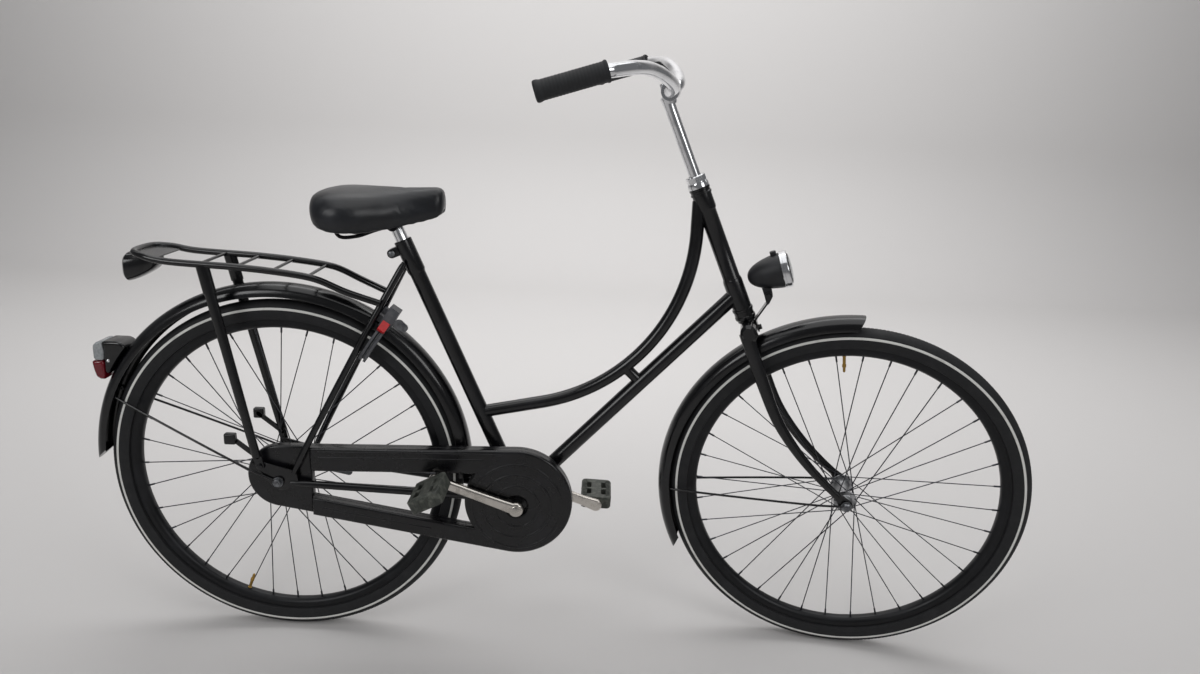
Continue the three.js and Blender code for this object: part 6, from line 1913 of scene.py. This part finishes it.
@dataclass
class Steering:
    """Fork, headset, stem, handlebar and grips."""

    blade_shares: tuple[Pair, ...] = (
        (0.96, -0.07), (0.72, -0.1), (0.515, -0.07), (0.383, 0.08), (0.25, 0.33), (0.13, 0.64),
        (0.055, 0.87),
    )
    bar_shares: tuple[Triple, ...] = (
        (0.18, -0.05, 0.23), (0.355, 0, 0.61), (0.53, 0.117, 0.93), (0.71, 0.228, 1), (0.887, 0.405, 0.91),
        (1, 1, 0.14),
    )
    bar_half: float = 282.0
    bar_sweep: float = 180.0
    bar_rise: float = 44.0
    bar_radius: float = 11.6
    blade_offset: float = 40.5
    blade_spread: float = 11.7
    crown_half: float = 50.5
    crown_drop: float = 19.0
    stem_rise: float = 158.0
    stem_ahead: float = 11.0
    quill_depth: float = 75.0
    clamp_half: float = 17.0

    @property
    def bar_centre(self) -> Array:
        """The middle of the handlebar."""
        return BIKE.head(BIKE.locknut_top + self.stem_rise, self.stem_ahead)

    def build(self) -> None:
        """Makes the steering's pieces."""
        parts = [
            ("fork_blades", self._fork(), ENAMEL, "fork", ["fork"]),
            ("headset_nuts", self._headset(), CHROME, "fork", ["headset_locknut"]),
            ("stem_quill", self._stem(), CHROME, "stem", ["stem"]),
            ("handlebar_tube", self._bar(), CHROME, "handlebar", ["handlebar"]),
            ("grip_sleeve_right", self._grip(RIGHT_HAND), GRIP_RUBBER, "handlebar", ["grip_right"]),
            ("grip_sleeve_left", self._grip(LEFT_HAND), GRIP_RUBBER, "handlebar", ["grip_left"]),
        ]
        for name, skin, finish, body, nodes in parts:
            add_piece(name, BIKE.steered(skin), finish, body, nodes)

    def _fork(self) -> Skin:
        """Crown, steerer, two raked blades that taper to the axle, and their dropouts.

        Returns:
            The surface.
        """
        length, rake, steerer_top = BIKE.fork_length, BIKE.fork_rake, BIKE.locknut_top - 0.3
        skins = []
        table = np.array(self.blade_shares)
        share = (table[0, 0] - table[:, 0]) / (table[0, 0] - table[-1, 0])
        way = np.linspace(0, 1, 60)
        for hand, _ in HANDS:
            left = hand * (self.blade_offset + share * self.blade_spread)
            points = [BIKE.head(up * length, ahead * rake, y) for (up, ahead), y in zip(table, left)]
            skins.append(tube(smooth_path(points, 60), 10 - 3.5 * way, 14 - 6.5 * way, LEFT, 28))
            discs = [(BIKE.front_axle, 13.0), (points[-1], 7.5)]
            faces = (hand * BIKE.front_space, hand * (BIKE.front_space + BIKE.dropout_thickness))
            hole = circle(flat(BIKE.front_axle), BIKE.axle_hole, 24, True)
            skins.append(plate([hull_loop(discs, 72), hole], min(faces), max(faces), 0.8, 0.8))
        crown_up = length - self.crown_drop
        reach = np.linspace(-1, 1, 41)
        arch = 1 - np.clip(np.abs(reach) - 0.9, 0, 1) * 3
        crown = np.stack([BIKE.head(crown_up, 0, place * self.crown_half) for place in reach])
        steerer = [
            [11.4, crown_up], [12.7, crown_up], [12.7, length - 6], [15.5, length - 4.5], [17, length - 4],
            [17, length], [12.7, length], [12.7, steerer_top], [11.4, steerer_top],
        ]
        return joined([
            *skins,
            tube(crown, 16 * arch, 19 * arch, BIKE.head_ahead, 32),
            lathe(steerer, BIKE.steer_base, BIKE.head_up, 40),
            rod(BIKE.head(crown_up), BIKE.head(length - 44), 8.0, 7.0),
        ])

    def _headset(self) -> Skin:
        """The adjusting cup, the washer and the locknut, which is eight-sided.

        Returns:
            The surface.
        """
        low = BIKE.head_top + BIKE.upper_cup + 0.3
        cup = [[13, low], [19, low], [20, low + 1], [20, low + 8], [18.6, low + 11.4], [13, low + 11.4]]
        washer = [[13, low + 11.4], [18.2, low + 11.4], [18.2, low + 12.6], [13, low + 12.6]]
        nut = [[13, low + 12.6], [18.4, low + 12.6], [18.4, low + 22], [16.6, low + 24], [13, low + 24.2]]
        return joined([
            lathe(profile, BIKE.steer_base, BIKE.head_up, steps)
            for profile, steps in ((cup, 48), (washer, 40), (nut, 8))
        ])

    def _stem(self) -> Skin:
        """The quill rising into a forged clamp round the bar, with its bolt.

        Returns:
            The surface.
        """
        top, half = BIKE.locknut_top + self.stem_rise, self.clamp_half
        quill = [BIKE.head(up) for up in np.linspace(BIKE.locknut_top - self.quill_depth, top - 6, 24)]
        radius = np.interp(np.linspace(0, 1, 24), [0, 0.9, 1], [11.0, 11.0, 12.5])
        across = np.linspace(-half, half, 25)
        collar = np.stack([17.2 + 0.6 * np.cos(np.pi * across / half), across], -1)
        clamp = np.vstack([[[12.0, -half]], collar, [[12.0, half]]])
        neck = np.stack([BIKE.head(top - 20, 2), BIKE.head(top - 8, 5), self.bar_centre])
        return joined([
            tube(np.stack(quill), radius, None, LEFT, 32),
            lathe(clamp, self.bar_centre),
            tube(neck, np.array([12.0, 14.0, 14.5]), None, LEFT, 28),
            rod(BIKE.head(top - 4), BIKE.head(top + 17.5), 5.5, 5.0, 20),
        ])

    def bar_point(self, shares: Triple, hand: int) -> Array:
        """A place of the bar.

        Args:
            shares: How far across, back and up it is, as shares of the bar's sizes.
            hand: Its side.

        Returns:
            The place.
        """
        across, back, up = shares
        shift = at(-back * self.bar_sweep, hand * across * self.bar_half, up * self.bar_rise)
        return self.bar_centre * [1, 0, 1] + shift

    def _bar(self) -> Skin:
        """The bar: straight in the clamp, bent up, out and back to its straight ends.

        Returns:
            The surface.
        """
        edge = (21.0 / self.bar_half, 0.0, 0.0)
        halves = []
        for hand, _ in HANDS:
            bends = [self.bar_point(shares, hand) for shares in (edge, *self.bar_shares[:-1])]
            halves.append(np.vstack([smooth_path(bends, 60), self.bar_point(self.bar_shares[-1], hand)]))
        return tube(np.vstack([halves[0][::-1], halves[1]]), self.bar_radius, None, UP, 28)

    def _grip(self, hand: int) -> Skin:
        """A sleeve with a lip at its mouth, shallow rings and a domed cap.

        Args:
            hand: Its side.

        Returns:
            The surface.
        """
        start, end = (self.bar_point(shares, hand) for shares in self.bar_shares[-2:])
        length = float(np.linalg.norm(end - start))
        along = np.linspace(9, length - 7, 120)
        rings = np.stack([16.2 + 0.22 * np.cos(2 * np.pi * along / 5.5), along], -1)
        mouth = [[12.2, 2], [16.6, 2], [17.6, 3.2], [17.6, 6], [16.6, 7.4]]
        cap = [
            [17, length - 5], [17.6, length - 3], [17.6, length], [17, length + 2], [15.4, length + 3.4],
            [12.2, length + 4], [12.2, length + 1],
        ]
        plug = [[0, length + 0.5], [12.3, length + 0.5], [12.3, length + 3.2], [0, length + 3.6]]
        sleeve = lathe(np.vstack([mouth, rings, cap]), start, end - start)
        return sleeve + lathe(plug, start, end - start, 40)


# ---- Headlamp ----


@dataclass
class Headlamp:
    """The battery headlamp over the fork crown."""

    face_x: float = 978.0
    face_height: float = 818.0
    tilt: float = 19.0
    radius: float = 33.5
    length: float = 66.0
    bezel: float = 14.0
    pivot: Pair = (-50.0, -41.5)
    ear_radius: float = 8.0
    ear_half: float = 6.0

    @property
    def face(self) -> Array:
        """The middle of the lamp's face."""
        return at(self.face_x, 0, self.face_height)

    def build(self) -> None:
        """Makes the lamp's pieces."""
        parts = [
            ("lamp_housing", self._shell(), MOULDED_BLACK, ["lamp_shell"]),
            ("lamp_ring", self._ring(), CHROME, ["lamp_bezel"]),
            ("lamp_glass", self._glass(), LAMP_GLASS, ["lamp_lens"]),
            ("lamp_bowl", self._bowl(), MIRROR_BOWL, []),
        ]
        for name, skin, finish, nodes in parts:
            add_piece(name, BIKE.steered(skin), finish, "lamp", nodes)

    def point(self, ahead: float, up: float) -> Array:
        """A place of the lamp from the middle of its face."""
        return self.face + ahead * heading(self.tilt) + up * heading(self.tilt + 90)

    def _turned(self, profile: Array | Sequence[Sequence[float]], steps: int) -> Skin:
        """A profile turned round the lamp's axis."""
        return lathe(profile, self.face, heading(self.tilt), steps)

    def _shell(self) -> Skin:
        """A bulging shell that narrows to the rear, with the ear for its pivot.

        Returns:
            The surface.
        """
        turn = np.linspace(0, np.pi / 2, 26)
        mouth = -self.bezel - 0.3
        radius, depth = self.radius * np.sin(turn) ** 0.85, self.length * np.cos(turn) ** 1.25
        outer = np.stack([radius, mouth - depth], -1)
        inner = outer[::-1] * [0.9, 1.0] + [0, 4.0]
        profile = np.vstack([outer, [[self.radius * 0.9, mouth]], inner[inner[:, 1] < mouth]])
        profile[[0, -1], 0] = 0
        back, drop = self.pivot
        ear = hull_loop([(self.point(back, drop), self.ear_radius), (self.point(back, -20), 9.0)], 48)
        return self._turned(profile, 64) + plate([ear], -self.ear_half, self.ear_half, 1.2, 1.2)

    def _ring(self) -> Skin:
        """The plated ring round the glass, with a rounded lip and a shallow groove.

        Returns:
            The surface.
        """
        profile = [
            [31.5, -14], [35, -14], [35.5, -13.4], [35.5, -10.4], [34.9, -9.8], [34.9, -9], [35.5, -8.4],
            [35.5, -2.4], [35, -1], [33.6, -0.1], [31.4, 0], [29.8, -0.6], [29.6, -1.6], [31.5, -1.6],
        ]
        return self._turned(profile, 72)

    def _glass(self) -> Skin:
        """A domed glass with a rim that the ring holds.

        Returns:
            The surface.
        """
        turn = np.linspace(0, np.pi / 2, 12)
        dome = np.stack([29.3 * np.sin(turn), 4.8 * np.cos(turn) + 0.1], -1)
        back = dome[::-1] * [0.985, 1.0] - [0, 1.6]
        profile = np.vstack([dome, [[29.3, -1.9], [31.2, -1.9], [31.2, -3.4], [28.8, -3.4]], back])
        profile[[0, -1], 0] = 0
        return self._turned(profile, 64)

    def _bowl(self) -> Skin:
        """The bright bowl behind the glass, with the lamp's bulb at its middle.

        Returns:
            The surface.
        """
        radius = np.linspace(4, 29.5, 16)
        front = np.stack([radius, -4.2 - 15.0 * (1 - (radius / 29.5) ** 2)], -1)
        bulb = [[0, -22], [4, -22], [4, -12], [3.4, -9], [2, -7.2], [0, -6.6]]
        return self._turned(np.vstack([front, front[::-1] - [0, 1.2]]), 64) + self._turned(bulb, 32)


# ---- Saddle ----


@dataclass
class Saddle:
    """The padded saddle, its base plate and its rails."""

    rear_x: float = 79.5
    length: float = 243.5
    top: float = 937.0
    low: float = 857.5
    half_width: float = 100.0
    skirt: float = 9.0
    base_rear: float = 872.0
    base_start: float = 69.0
    base_length: float = 256.0
    base_rise: float = 25.0 / 256.0
    base_thick: float = 4.0
    clamp: Triple = (227.84, 0.0, 867.43)
    rail_half: float = 22.0
    rail_radius: float = 3.5
    rail_drop: float = 31.7
    rail_shares: tuple[Triple, ...] = (
        (0.2, 1.5, 0.0), (0.24, 1.5, 0.9), (0.36, 1.3, 1.0), (0.5, 1.05, 0.72),
    )
    voxel: float = 4.5
    pressure: float = 4.0
    swell: float = 6.0
    cloth_frames: int = 20
    sections: tuple[tuple[float, float, float, float], ...] = (
        (0, 0.3, 0.42, 0.7), (0.03, 0.58, 0.22, 0.82), (0.09, 0.82, 0.09, 0.9), (0.18, 0.96, 0.02, 0.96),
        (0.28, 1, 0, 0.975), (0.38, 0.94, 0, 0.965), (0.48, 0.8, 0.02, 0.95), (0.58, 0.62, 0.06, 0.945),
        (0.68, 0.47, 0.12, 0.955), (0.78, 0.37, 0.19, 0.98), (0.88, 0.31, 0.27, 1.01),
        (0.95, 0.27, 0.34, 1.03), (0.985, 0.21, 0.42, 0.98), (1, 0.1, 0.55, 0.84),
    )
    side: tuple[Pair, ...] = (
        (0, 1), (0.3, 0.985), (0.6, 0.925), (0.83, 0.79), (0.97, 0.57), (1, 0.36), (0.96, 0.14), (0.87, 0),
    )

    def build(self) -> None:
        """Makes the padded cover, its base plate and its rails."""
        pad = self._inflated(self._shape())
        cover = add_piece("saddle_pad", pad, SADDLE_VINYL, "saddle", ["saddle_cover"])
        finer = cover.modifiers.new("finer", "SUBSURF")
        finer.levels = finer.render_levels = 1
        add_piece("saddle_shell", self._base(), MOULDED_BLACK, "saddle", ["saddle_base"])
        add_piece("saddle_springs", self._rails(), BLUED_STEEL, "saddle", ["saddle_rails"])

    def base_top(self, x: float | Array) -> float | Array:
        """The height of the base plate's upper face at a place along the bike."""
        return self.base_rear + (x - self.base_start) * self.base_rise

    def _sections(self, count: int) -> tuple[Array, Array, Array, Array]:
        """Sections at even steps of the saddle's outline.

        Args:
            count: How many.

        Returns:
            The place, half width, bottom and top of each.
        """
        table = np.array(self.sections)
        along = smooth_path(table[:, :3], count)
        crown = np.interp(along[:, 0], table[:, 0], table[:, 3])
        height = self.top - self.low
        x = self.rear_x + along[:, 0] * self.length
        return x, along[:, 1] * self.half_width, self.low + along[:, 2] * height, self.low + crown * height

    def _shape(self) -> Skin:
        """The cover: sections along the saddle, splined both ways, with a room for the base below.

        Returns:
            The surface.
        """
        x, half, low, high = self._sections(72)
        side = smooth_path(np.array([[out, up, 0.0] for out, up in self.side]), 20)[:, :2]
        y = side[None, :, 0] * half[:, None]
        z = low[:, None] + side[None, :, 1] * (high - low)[:, None]
        inner = np.maximum(side[-1, 0] * half - self.skirt, 0.4 * half)
        roof = np.maximum(self.base_top(x) + 1.2, low + 1.0)
        y = np.hstack([y, inner[:, None], inner[:, None]])
        z = np.hstack([z, low[:, None], roof[:, None]])
        left = np.stack([np.broadcast_to(x[:, None], y.shape), y, z], -1)
        right = (left * [1, -1, 1])[:, ::-1][:, :-1]
        return capped(np.concatenate([left, right], 1))

    def _inflated(self, skin: Skin) -> Skin:
        """The surface swollen by a cloth simulation under air pressure.

        The surface is remeshed evenly. Points that face down are held, and each other point keeps
        its move m as m min(1, swell / |m|).

        Args:
            skin: The surface, a little smaller than the finished pad.

        Returns:
            The swollen surface.
        """
        scene = bpy.context.scene
        cage = new_object("pad_cage", new_mesh("pad_cage", skin))
        even = cage.modifiers.new("even", "REMESH")
        even.mode = "VOXEL"
        even.voxel_size = self.voxel * MM
        made = bpy.data.meshes.new_from_object(cage.evaluated_get(bpy.context.evaluated_depsgraph_get()))
        cage.modifiers.clear()
        cage.data = made
        before = self._places(made)
        after = before
        facing = np.zeros(len(made.vertices) * 3)
        made.vertices.foreach_get("normal", facing)
        held = np.flatnonzero(facing.reshape(-1, 3)[:, 2] < -0.35)
        cage.vertex_groups.new(name="held").add(held.tolist(), 1.0, "REPLACE")
        cloth = cage.modifiers.new("air", "CLOTH")
        cloth.settings.vertex_group_mass = "held"
        cloth.settings.use_pressure = True
        cloth.settings.uniform_pressure_force = self.pressure
        cloth.settings.effector_weights.gravity = 0.0
        cloth.collision_settings.use_collision = False
        for step in range(1, self.cloth_frames + 1):
            scene.frame_set(step)
        swollen = cage.evaluated_get(bpy.context.evaluated_depsgraph_get())
        after = self._places(swollen.data)
        scene.frame_set(1)
        move = after - before
        size = np.linalg.norm(move, axis=1, keepdims=True)
        points = before + move * np.minimum(1, self.swell / np.maximum(size, 1e-9))
        faces = np.array([list(face.vertices) for face in made.polygons])
        bpy.data.objects.remove(cage)
        return Skin(points, [faces])

    @staticmethod
    def _places(mesh: bpy.types.Mesh) -> Array:
        """A mesh's points in millimetres."""
        return np.array([point.co for point in mesh.vertices]) / MM

    def _base(self) -> Skin:
        """The moulded plate inside the skirt.

        Returns:
            The surface.
        """
        x, half, _, _ = (row[6:-9] for row in self._sections(60))
        reach = np.maximum(0.87 * half - self.skirt - 1.5, 3.0)
        top = self.base_top(x)
        low = top - self.base_thick
        corners = [(1, top), (1, low), (-1, low), (-1, top)]
        return capped(np.stack([np.stack([x, hand * reach, height], -1) for hand, height in corners], 1))

    def _below(self, share: float, out: float, fall: float) -> Array:
        """A place below the base, at a share of its length."""
        x = self.base_start + self.base_length * share
        return at(x, out * self.rail_half, self.base_top(x) - fall)

    def _rails(self) -> Skin:
        """Two spring rails from the base through the clamp to the nose, and a cross bar.

        Returns:
            The surface.
        """
        skins = []
        start = self.base_thick + 0.3
        clamp = at(*self.clamp)
        for hand, _ in HANDS:
            points = [
                self._below(place, hand * out, start + down * self.rail_drop)
                for place, out, down in self.rail_shares
            ]
            nose = self._below(0.86, hand / 2, start + self.rail_radius)
            points += [clamp + hand * self.rail_half * LEFT, nose]
            skins.append(tube(smooth_path(points, 90), self.rail_radius, None, LEFT, 14))
        place, out, _ = self.rail_shares[2]
        reach = out * self.rail_half
        bar = self._below(place, 0, start + self.rail_drop)
        skins.append(cross_rod(bar, self.rail_radius, -reach, reach, 14))
        side = [[11, 25.8], [9.8, 27], [5.2, 27], [5.2, 30], [0, 30]]
        return joined([*skins, lathe([*mirrored(side), *side], clamp, LEFT, 36)])


# ---- Light, floor and camera ----


@dataclass(frozen=True)
class Lamp:
    """A square area light: its place and side in metres, its turn in degrees and its watts."""

    name: str
    place: Triple
    turn: Triple
    size: float
    power: float

    def build(self) -> None:
        """Makes the light."""
        data = bpy.data.lights.new(self.name, "AREA")
        data.size = self.size
        data.energy = self.power
        made = new_object(self.name, data)
        made.location = self.place
        made.rotation_euler = [float(np.radians(angle)) for angle in self.turn]


@dataclass
class Studio:
    """A pale floor and backdrop, soft lights round the bike and the photograph's view."""

    lens: float = 25.266
    sensor: float = 36.0
    camera_place: Triple = (0.6148, -1.5892, 1.1049)
    camera_turn: Triple = (-0.2721, -0.0412, 0.0)
    floor_colour: str = "#c7c5c4"
    floor_roughness: float = 0.7
    floor_ends: Pair = (-6000.0, 7000.0)
    floor_front: float = -6000.0
    wall: float = 4300.0
    wall_height: float = 6500.0
    curve: float = 900.0
    air_colour: str = "#e4e5e8"
    air_strength: float = 0.2
    lamps: tuple[Lamp, ...] = (
        Lamp("overhead", (0.5, -0.3, 3.4), (0, 0, 0), 3.6, 48.0),
        Lamp("front_left", (-2.1, -2.9, 2.2), (60, 0, -34), 1.6, 34.0),
        Lamp("front_right", (3.2, -2.7, 2.4), (58, 0, 38), 1.6, 28.0),
        Lamp("backdrop", (0.6, 2.3, 4.4), (52, 0, 0), 5.8, 235.0),
    )

    def build(self) -> None:
        """Makes the camera, the floor and the lights."""
        self._camera()
        self._floor()
        self._air()
        for lamp in self.lamps:
            lamp.build()

    def _camera(self) -> None:
        """A camera whose right, forward and up start as +X, +Y and +Z and are turned by one vector."""
        data = bpy.data.cameras.new("camera")
        data.lens = self.lens
        data.sensor_width = self.sensor
        made = new_object("camera", data)
        vector = np.array(self.camera_turn)
        turn = rotation(vector, float(np.degrees(np.linalg.norm(vector))))
        pose = Matrix(np.stack([turn[:, 0], turn[:, 2], -turn[:, 1]], -1).tolist()).to_4x4()
        pose.translation = self.camera_place
        made.matrix_world = pose
        bpy.context.scene.camera = made

    def _floor(self) -> None:
        """A floor that curves up into a backdrop, plain and pale."""
        across = np.linspace(*self.floor_ends, 12)
        turn = np.linspace(0, np.pi / 2, 12)
        bend = np.stack([self.wall - self.curve * (1 - np.sin(turn)), self.curve * (1 - np.cos(turn))], -1)
        run = np.vstack([[[self.floor_front, 0.0]], bend, [[self.wall, self.wall_height]]])
        grid = np.zeros((len(run), len(across), 3))
        grid[:, :, 0] = across
        grid[:, :, 1:] = run[:, None]
        mesh = new_mesh("floor", woven(grid, False, False))
        mesh.polygons.foreach_set("use_smooth", np.ones(len(mesh.polygons), bool))
        material = bpy.data.materials.new("painted_studio_floor")
        material.use_nodes = True
        shader = material.node_tree.nodes["Principled BSDF"]
        shader.inputs["Base Color"].default_value = linear(self.floor_colour)
        shader.inputs["Roughness"].default_value = self.floor_roughness
        mesh.materials.append(material)
        made = new_object("floor", mesh)

    def _air(self) -> None:
        """A dim grey world."""
        world = bpy.data.worlds.new("studio")
        world.use_nodes = True
        background = world.node_tree.nodes["Background"]
        background.inputs["Color"].default_value = linear(self.air_colour)
        background.inputs["Strength"].default_value = self.air_strength
        bpy.context.scene.world = world


# ---- Everything ----


KEPT_FINISHES: dict[str, Finish] = {
    "lamp_bracket": ENAMEL,
    "lamp_button": MOULDED_BLACK,
    "chain": ZINC_STEEL,
    "chainring": ZINC_STEEL,
    "rear_sprocket": ZINC_STEEL,
    "bottom_bracket_axle": ZINC_STEEL,
    "brake_arm": ZINC_STEEL,
    "seat_post": CHROME,
    "lock_body": GREY_MOULDED,
    "lock_bolt": ZINC_STEEL,
    "lock_knob": RED_ABS,
    "lock_key": ZINC_STEEL,
}


def main() -> None:
    """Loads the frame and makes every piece."""
    logging.basicConfig(level=logging.INFO, format="%(name)s %(message)s")
    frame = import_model()
    Studio().build()
    assemblies = [
        Wheel(
            "front", "front_wheel", "fork", BIKE.front_axle, steers=True, flange=23.0, flange_offset=33.0,
            barrel=14.0, hub_half=44.0, hub_space=BIKE.front_space, valve_degrees=97.0,
        ),
        Wheel(
            "rear", "rear_wheel", "frame", BIKE.rear_axle, steers=False, flange=37.0, flange_offset=28.0,
            barrel=27.0, hub_half=38.0, hub_space=BIKE.rear_space, valve_degrees=250.0,
        ),
        Frame(),
        Drive(),
        Mudguard(
            "front", "fork", BIKE.front_axle, BIKE.front_axle, start=91.0, end=207.0, start_skew=2.2,
            end_skew=4.0, stay_degrees=184.0, space=BIKE.front_space, steers=True,
        ),
        Mudguard(
            "rear", "frame", BIKE.rear_guard, BIKE.rear_axle, start=-1.0, end=180.0, start_skew=0.0,
            end_skew=4.0, stay_degrees=157.0, space=BIKE.rear_space, steers=False,
        ),
        Rack(),
        Steering(),
        Headlamp(),
        Saddle(),
    ]
    for assembly in assemblies:
        assembly.build()
    for name, finish in KEPT_FINISHES.items():
        dress_node(frame, name, finish)
    bpy.context.scene.view_settings.view_transform = "Standard"


if __name__ == "__main__":
    main()
